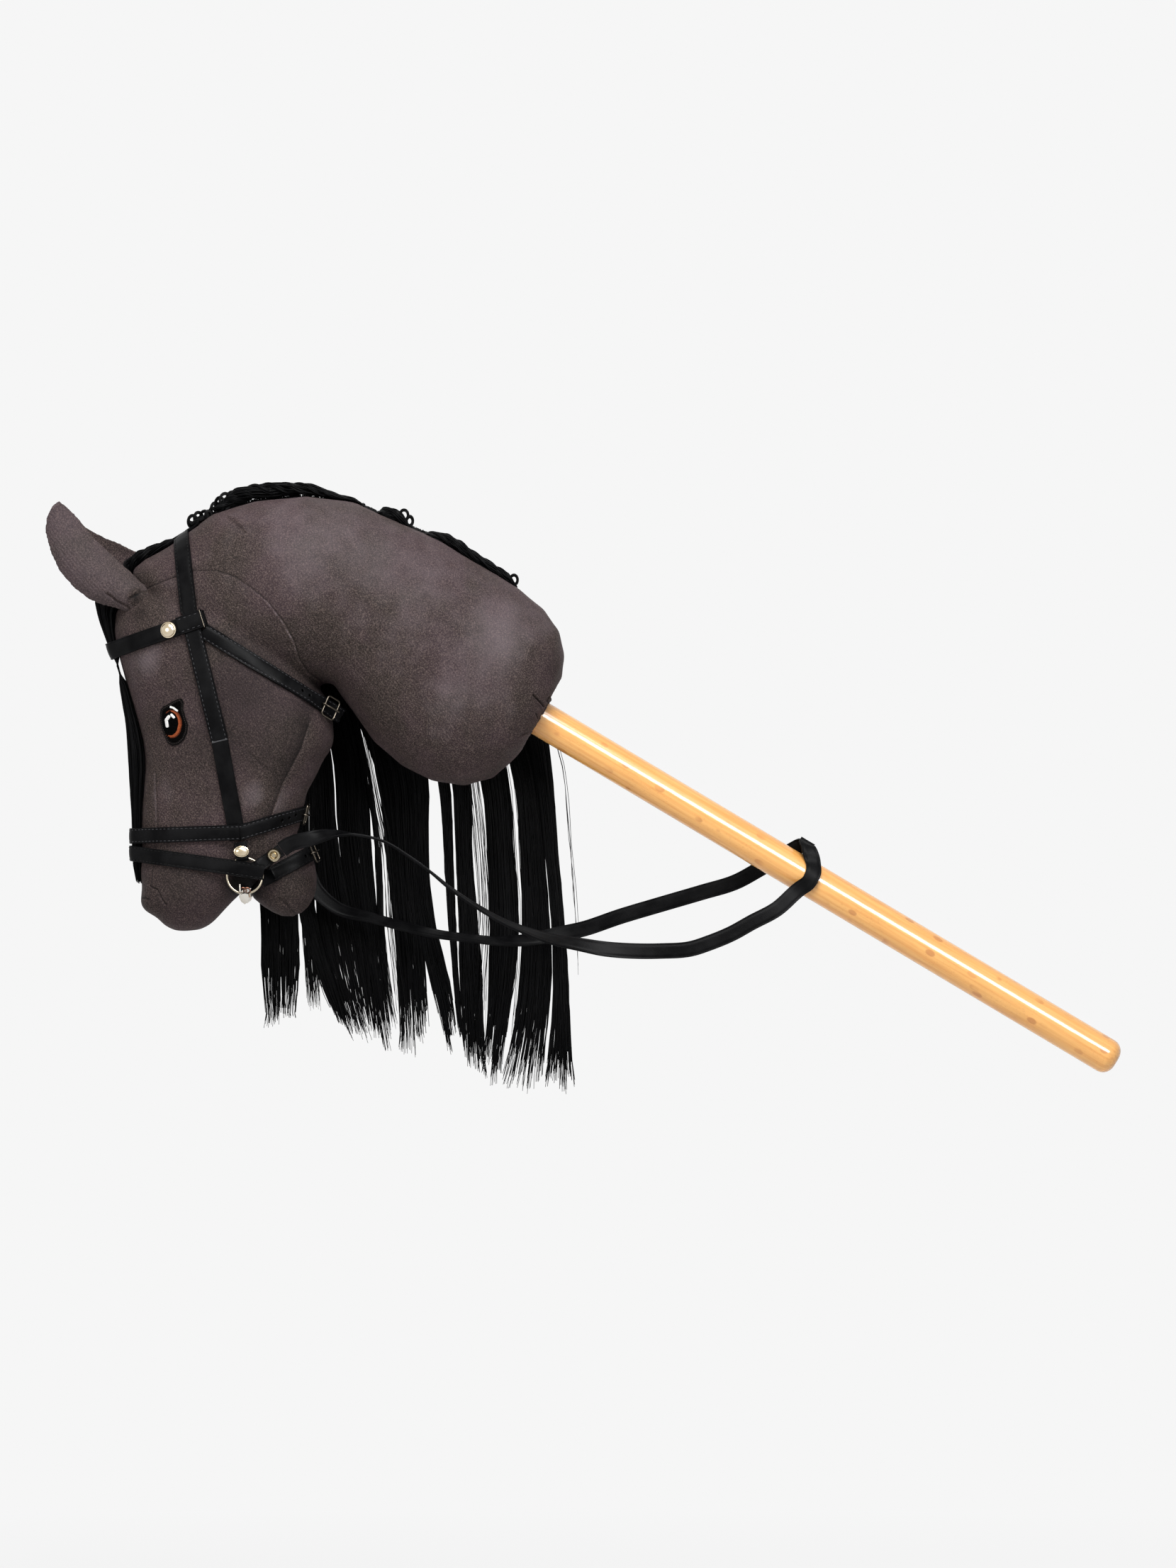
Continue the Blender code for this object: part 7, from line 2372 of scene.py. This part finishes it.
    def forelock(self) -> None:
        """Flat lock from the poll down the face, and the thin braid that feeds it."""
        points, edges = self.solid("forelock")
        pivot = mm(-258.0, 0.0, 70.0)
        run = []
        for angle in np.radians(np.arange(104.0, 4.0, -7.0)):
            ray = Vector((-math.cos(angle), 0.0, math.sin(angle)))
            normal = Vector((-math.sin(angle), 0.0, -math.cos(angle)))
            hit = self.cover.ray_cast(pivot + ray * 0.12, -ray, 0.12)[0]
            reach = (hit - pivot).length + 4.4 * MM
            side = RIGHT * 4.5 * MM
            found = section(points, edges, pivot, normal, RIGHT)
            if found is not None:
                reach = max(reach, (found[0] - pivot).dot(ray) + found[2].length)
                side = RIGHT * max(4.5 * MM, found[1].length)
            top, low = pivot + ray * reach, hit - ray * 1.2 * MM
            run.append((0.5 * (top + low), side, 0.5 * (top - low)))
        braid = self.braid(run[:13], 3, 30.0 * MM, 0.6)
        run = run[10:]
        for height in np.linspace(70.0 * MM, points.min(0)[2] + 0.8 * MM, 17):
            found = section(points, edges, Vector((0.0, 0.0, float(height))), -UP, RIGHT)
            if found is not None:
                free = 28.0 * MM < height < 44.0 * MM
                run.append(found if free else self.filled(found, -X_AXIS))
        self.grow("forelock_hair", [run], 5, ["forelock"], Strands=280, Steps=36, Gathers=2.0, Gather=0.0,
                  Ragged=0.08, Frizz=1.8 * MM, Drift=0.1)
        self.grow("poll_braid", braid, 9, Strands=60, Steps=50, Gather=0.0, Drift=0.0, Ragged=0.03,
                  Frizz=1.0 * MM, Radius=0.3 * MM)

    def filled(self, found: Section, outward: Vector) -> Section:
        """Widen a section inwards, so that it lies on the cover.

        Args:
            found: The section.
            outward: Direction away from the cover.
        Returns:
            The widened section.
        """
        middle, side, depth = found
        top = middle + outward * (depth.length + 0.3 * MM)
        hit = self.cover.ray_cast(top + outward * 20.0 * MM, -outward, 60.0 * MM)[0]
        if hit is None:
            return found
        low = hit - outward * 1.4 * MM
        return 0.5 * (top + low), side, outward * max(0.5 * (top - low).dot(outward), 1.5 * MM)

    def build(self) -> None:
        """Grow and seat all hair."""
        self.locks()
        self.loose()
        self.rolls()
        self.forelock()


@dataclass
class Reins:
    """Two flat reins that hang from the bit and join over the stick."""

    width: float = 11.0 * MM
    thick: float = 2.0 * MM
    # Left rein in millimetres: point, then the direction of its width
    left: tuple = (
        ((-162.0, -43.5, -84.5), (-0.3, 0.3, 1.0)), ((-145.5, -42.5, -81.0), (0.0, 0.9, 0.4)),
        ((-131.5, -42.0, -81.5), (0.0, 1.0, 0.0)), ((-110.0, -40.5, -86.5), (0.0, 1.0, 0.0)),
        ((-92.5, -39.5, -97.0), (0.0, 1.0, 0.0)), ((-78.0, -38.5, -107.5), (0.0, 1.0, 0.0)),
        ((-64.0, -37.5, -119.0), (0.0, 1.0, 0.12)), ((-46.5, -36.5, -131.0), (0.0, 0.98, 0.2)),
        ((-29.5, -35.5, -141.0), (0.0, 0.96, 0.28)), ((-12.5, -34.5, -148.5), (0.0, 0.92, 0.38)),
        ((9.0, -33.0, -155.5), (0.1, 0.8, 0.6)), ((28.0, -32.0, -159.0), (0.1, 0.6, 0.8)),
        ((45.0, -31.0, -162.0), (0.1, 0.35, 0.93)), ((65.0, -30.0, -163.5), (0.0, 0.15, 1.0)),
        ((85.0, -28.5, -163.5), (0.0, 0.0, 1.0)), ((105.5, -27.0, -162.0), (-0.1, 0.0, 1.0)),
        ((119.5, -25.5, -157.5), (-0.3, 0.0, 1.0)), ((134.0, -24.0, -151.5), (-0.4, 0.0, 0.9)),
        ((148.5, -22.5, -143.5), (-0.5, 0.0, 0.9)), ((165.5, -20.0, -134.5), (-0.6, 0.0, 0.8)))
    right: tuple = (
        ((-171.5, 43.0, -93.5), (0.4, 0.0, 0.9)), ((-166.0, 42.5, -105.5), (0.8, 0.2, 0.6)),
        ((-159.0, 41.5, -121.0), (0.6, 0.4, 0.7)), ((-145.0, 40.5, -133.5), (0.4, 0.6, 0.7)),
        ((-119.0, 39.5, -141.0), (0.2, 0.8, 0.5)), ((-102.0, 38.5, -145.5), (0.1, 0.85, 0.5)),
        ((-71.5, 37.0, -152.5), (0.1, 0.9, 0.45)), ((-51.5, 36.0, -155.0), (0.1, 0.9, 0.4)),
        ((-31.5, 35.0, -157.0), (0.1, 0.9, 0.45)), ((-11.5, 34.0, -156.5), (0.0, 0.7, 0.7)),
        ((13.5, 32.0, -152.0), (-0.2, 0.3, 0.95)),
        ((28.0, 31.0, -149.0), (-0.3, 0.0, 1.0)), ((56.5, 29.0, -139.5), (-0.3, 0.0, 1.0)),
        ((85.0, 27.0, -131.0), (-0.3, 0.0, 1.0)), ((114.0, 24.0, -122.5), (-0.3, 0.0, 1.0)),
        ((137.0, 21.0, -115.5), (-0.35, 0.0, 0.95)))
    # Where the reins wrap the stick, in millimetres: along it, above its axis, clear of its side
    wrap_left: tuple = ((218.0, -9.5, 5.0), (221.0, -2.5, 2.4), (220.5, 5.0, 2.2), (216.5, 11.5, 3.6),
                        (211.0, 16.5, 0.0))
    wrap_right: tuple = ((189.0, -8.5, 4.8), (193.0, -2.0, 2.4), (196.5, 5.0, 2.2), (200.0, 11.5, 3.6),
                         (203.0, 16.5, 0.0))
    join_along: float = 206.0 * MM
    join_rise: float = 8.0 * MM
    join_half: float = 1.8 * MM
    gap: float = 0.3 * MM

    @staticmethod
    def on_stick(along: float, above: float, beside: float) -> Vector:
        """Point by its place on the stick, in metres."""
        return STICK_DIR * along + STICK_UP * above + RIGHT * beside

    def route(self, side: float, rows: Sequence, wrap: Sequence, bit: Bit) -> tuple[list, list]:
        """Route points and width directions of one rein.

        Args:
            side: Minus one for left, one for right.
            rows: Its free stretch, as places and width directions.
            wrap: Its places round the stick.
            bit: The bit that it starts from.
        Returns:
            The points and the width directions.
        """
        radius, ring = STICK_RADIUS, bit.ring_centre(side)
        angle = math.radians(bit.rein_angle)
        away = Vector((math.cos(angle), 0.0, math.sin(angle)))
        flat = Vector((-away.z, 0.0, away.x))
        out = bit.ring_radius + bit.rein_reach + self.gap
        points = [ring + away * out, ring + away * (out + 5.0 * MM)] + [mm(*p) for p, _ in rows]
        widths = [flat, flat] + [Vector(w).normalized() for _, w in rows]
        for along, above, clear in wrap[:-1]:
            rise = above * MM
            beside = math.sqrt(max(0.0, radius * radius - rise * rise)) + clear * MM + 0.5 * self.thick
            points.append(self.on_stick(along * MM, rise, side * beside))
            widths.append(-STICK_DIR)
        along, above, _ = wrap[-1]
        points.append(self.on_stick(along * MM, above * MM, side * 8.5 * MM))
        for beside in (3.5 * MM, self.gap):
            points.append(self.on_stick(self.join_along, radius + self.join_rise - 0.6 * MM,
                                        side * (self.join_half + beside)))
        return points, widths + [-STICK_DIR] * 3

    @staticmethod
    def smooth(points: Sequence[Vector], widths: Sequence[Vector], step: float) -> tuple[list, list, float]:
        """Even places on a smooth line through uneven points.

        Args:
            points: The route's points.
            widths: The width direction at each.
            step: Distance between the new places.
        Returns:
            Places, width directions and the line's length.
        """
        gaps = [(b - a).length for a, b in zip(points[:-1], points[1:])]
        slopes = [(points[1] - points[0]) / gaps[0]]
        for i in range(1, len(points) - 1):
            before = (points[i] - points[i - 1]) / gaps[i - 1]
            after = (points[i + 1] - points[i]) / gaps[i]
            slopes.append((before * gaps[i] + after * gaps[i - 1]) / (gaps[i] + gaps[i - 1]))
        slopes.append((points[-1] - points[-2]) / gaps[-1])
        dense, turns = [], []
        for i, h in enumerate(gaps):
            for k in range(12):
                t = k / 12.0
                dense.append(points[i] * (2 * t ** 3 - 3 * t * t + 1)
                             + points[i + 1] * (3 * t * t - 2 * t ** 3)
                             + slopes[i] * h * (t ** 3 - 2 * t * t + t)
                             + slopes[i + 1] * h * (t ** 3 - t * t))
                turns.append(widths[i].lerp(widths[i + 1], t))
        dense.append(points[-1])
        turns.append(widths[-1])
        runs = [0.0]
        for a, b in zip(dense[:-1], dense[1:]):
            runs.append(runs[-1] + (b - a).length)
        count = int(runs[-1] / step) + 1
        at = np.linspace(0.0, runs[-1], count)
        tables = [np.stack([np.interp(at, runs, np.array(rows)[:, k]) for k in range(3)], axis=1)
                  for rows in (dense, turns)]
        return [Vector(p) for p in tables[0]], [Vector(w) for w in tables[1]], runs[-1]

    def build(self, bit: Bit) -> None:
        """Make and seat both reins and their join.

        Args:
            bit: The bit that they start from.
        """
        join = self.join()
        for side, label, rows, wrap in ((-1.0, "left", self.left, self.wrap_left),
                                        (1.0, "right", self.right, self.wrap_right)):
            points, widths = self.route(side, rows, wrap, bit)
            places, turns, length = self.smooth(points, widths, 2.5 * MM)
            across, outward = [], []
            for i, place in enumerate(places):
                ahead = (places[min(i + 1, len(places) - 1)] - places[max(i - 1, 0)]).normalized()
                flat = (turns[i] - ahead * turns[i].dot(ahead)).normalized()
                across.append(flat)
                outward.append(ahead.cross(flat))
            inner = [p - n * 0.5 * self.thick for p, n in zip(places, outward)]
            line = StrapLine(inner, across, outward, self.width, self.thick)
            rein = line.ribbon(f"rein_{label}_strap", LEATHER, crease=1.2 * MM, crown=0.0)
            seat(rein, [f"rein_{label}"])

    def join(self) -> Piece:
        """Pinched ridge where the reins are sewn together above the stick.

        Returns:
            The ridge.
        """
        high = STICK_RADIUS + self.join_rise
        half = self.join_half
        profile = [(-half, high - 2.0 * MM), (-half, high + 0.4 * MM), (-0.7 * half, high + 1.5 * MM),
                   (0.0, high + 2.3 * MM), (0.7 * half, high + 1.5 * MM), (half, high + 0.4 * MM),
                   (half, high - 2.0 * MM)]
        points = []
        rows = [(-0.5, 0.9), (-0.46, 1.0), (-0.2, 1.0), (0.1, 1.0), (0.46, 1.0), (0.5, 0.9)]
        for share, narrow in rows:
            for beside, above in profile:
                points.append(self.on_stick(self.join_along + share * self.width, above, beside * narrow))
        faces = bands(len(rows), len(profile)) + ends(len(rows), len(profile))
        ridge = mesh_piece("rein_join_ridge", points, faces, LEATHER, angle=50.0)
        seat(ridge, ["rein_join"])
        return ridge


@dataclass
class Studio:
    """Camera, lamps, world and floor."""

    backdrop: str = "#F6F6F6"
    distance: float = 12.0
    lens: float = 390.6
    aim: tuple[float, float] = (33.25, -46.0)
    floor_height: float = -640.0 * MM

    def camera(self) -> None:
        """Level side view, as in the photograph."""
        data = bpy.data.cameras.new("camera")
        data.sensor_width = 36.0
        data.lens = self.lens
        camera = bpy.data.objects.new("camera", data)
        camera.location = Vector((self.aim[0] * MM, -self.distance, self.aim[1] * MM))
        camera.rotation_euler = (math.radians(90.0), 0.0, 0.0)
        bpy.context.scene.collection.objects.link(camera)
        bpy.context.scene.camera = camera

    def lamp(self, name: str, place: tuple[float, float, float], size: tuple[float, float],
             power: float, roll: float = 0.0) -> Piece:
        """Large soft lamp that faces the horse.

        Args:
            name: The lamp's name.
            place: Where it stands, in metres.
            size: Its width and height in metres.
            power: Its power in watts.
            roll: Turn about its own axis, in radians.
        Returns:
            The lamp.
        """
        data = bpy.data.lights.new(name, "AREA")
        data.shape = "ELLIPSE"
        data.size, data.size_y = size
        data.energy = power
        lamp = bpy.data.objects.new(name, data)
        lamp.location = place
        facing = (-Vector(place)).to_track_quat("-Z", "Y").to_matrix() @ Matrix.Rotation(roll, 3, "Z")
        lamp.rotation_euler = facing.to_euler()
        bpy.context.scene.collection.objects.link(lamp)
        return lamp

    def seen_directly(self, tree: NodeTree) -> Socket:
        """Share that is one for camera, glossy and transmission rays.

        Args:
            tree: A node tree of the studio.
        Returns:
            The share.
        """
        path = node(tree, "ShaderNodeLightPath").outputs
        either = node(tree, "ShaderNodeMath", {0: path["Is Camera Ray"], 1: path["Is Glossy Ray"]},
                      operation="MAXIMUM")
        return node(tree, "ShaderNodeMath", {0: either.outputs[0], 1: path["Is Transmission Ray"]},
                    operation="MAXIMUM").outputs[0]

    def world(self) -> None:
        """Pale surround: its own colour to the eye, a mild fill for the horse."""
        world = bpy.data.worlds.new("studio")
        tree = blank(world)
        shown = node(tree, "ShaderNodeBackground", {"Color": linear(self.backdrop), "Strength": 1.0})
        fill = node(tree, "ShaderNodeBackground", {"Color": linear("#FFFFFF"), "Strength": 0.1})
        mix = node(tree, "ShaderNodeMixShader", {0: self.seen_directly(tree), 1: fill.outputs[0],
                                                 2: shown.outputs[0]})
        node(tree, "ShaderNodeOutputWorld", {"Surface": mix.outputs[0]})
        bpy.context.scene.world = world

    def floor(self) -> None:
        """Plain pale floor that keeps a soft shadow."""
        side = 6.0
        z = self.floor_height
        floor = mesh_piece("floor", [(-side, -side, z), (side, -side, z), (side, side, z), (-side, side, z)],
                           [(0, 1, 2, 3)])
        material = bpy.data.materials.new("studio_floor")
        tree = blank(material)
        glow = node(tree, "ShaderNodeEmission", {"Color": linear(self.backdrop), "Strength": 1.0})
        matt = node(tree, "ShaderNodeBsdfDiffuse", {"Color": linear("#E6E6E6")})
        place = node(tree, "ShaderNodeTexCoord").outputs["Object"]
        away = node(tree, "ShaderNodeVectorMath", {0: place}, operation="LENGTH").outputs["Value"]
        near = node(tree, "ShaderNodeMapRange", {"Value": away, "From Min": 0.7, "From Max": 2.0,
                                                 "To Min": 0.9, "To Max": 1.0}).outputs[0]
        share = node(tree, "ShaderNodeMath", {0: near, 1: self.seen_directly(tree)}, operation="MULTIPLY")
        mix = node(tree, "ShaderNodeMixShader", {0: share.outputs[0], 1: matt.outputs[0], 2: glow.outputs[0]})
        node(tree, "ShaderNodeOutputMaterial", {"Surface": mix.outputs[0]})
        floor.data.materials.append(material)

    def build(self) -> None:
        """Set the studio up."""
        self.camera()
        self.world()
        self.floor()
        self.lamp("key", (0.2, -2.1, 2.4), (2.4, 1.7), 140.0)
        self.lamp("fill", (-2.0, -2.6, 0.4), (1.2, 1.2), 22.0)
        self.lamp("rear", (0.6, 2.4, 1.6), (1.6, 1.6), 17.0).visible_glossy = False
        # White card that lights nothing directly and is only mirrored
        self.lamp("card", (0.82, -2.08, 0.91), (1.6, 0.8), 62.0, -STICK_DROP).visible_diffuse = False
        bpy.context.scene.view_settings.view_transform = "Standard"


def main() -> None:
    """Build every piece in order and report it."""
    logging.basicConfig(level=logging.INFO, format="%(message)s")
    Studio().build()
    bit = Bit()
    Reins().build(bit)
    Stick().build()
    bridle = Bridle()
    lines = bridle.measure()
    covers = Covers()
    skin = covers.build(lines)
    stitches = StitchTree()
    Eyes().build(skin, ThreadTree(), stitches)
    bit.build(bridle.sewing)
    covers.sewn(skin, stitches)
    bridle.build(stitches)
    Mane(HairTree(), skin).build()


if __name__ == "__main__":
    main()
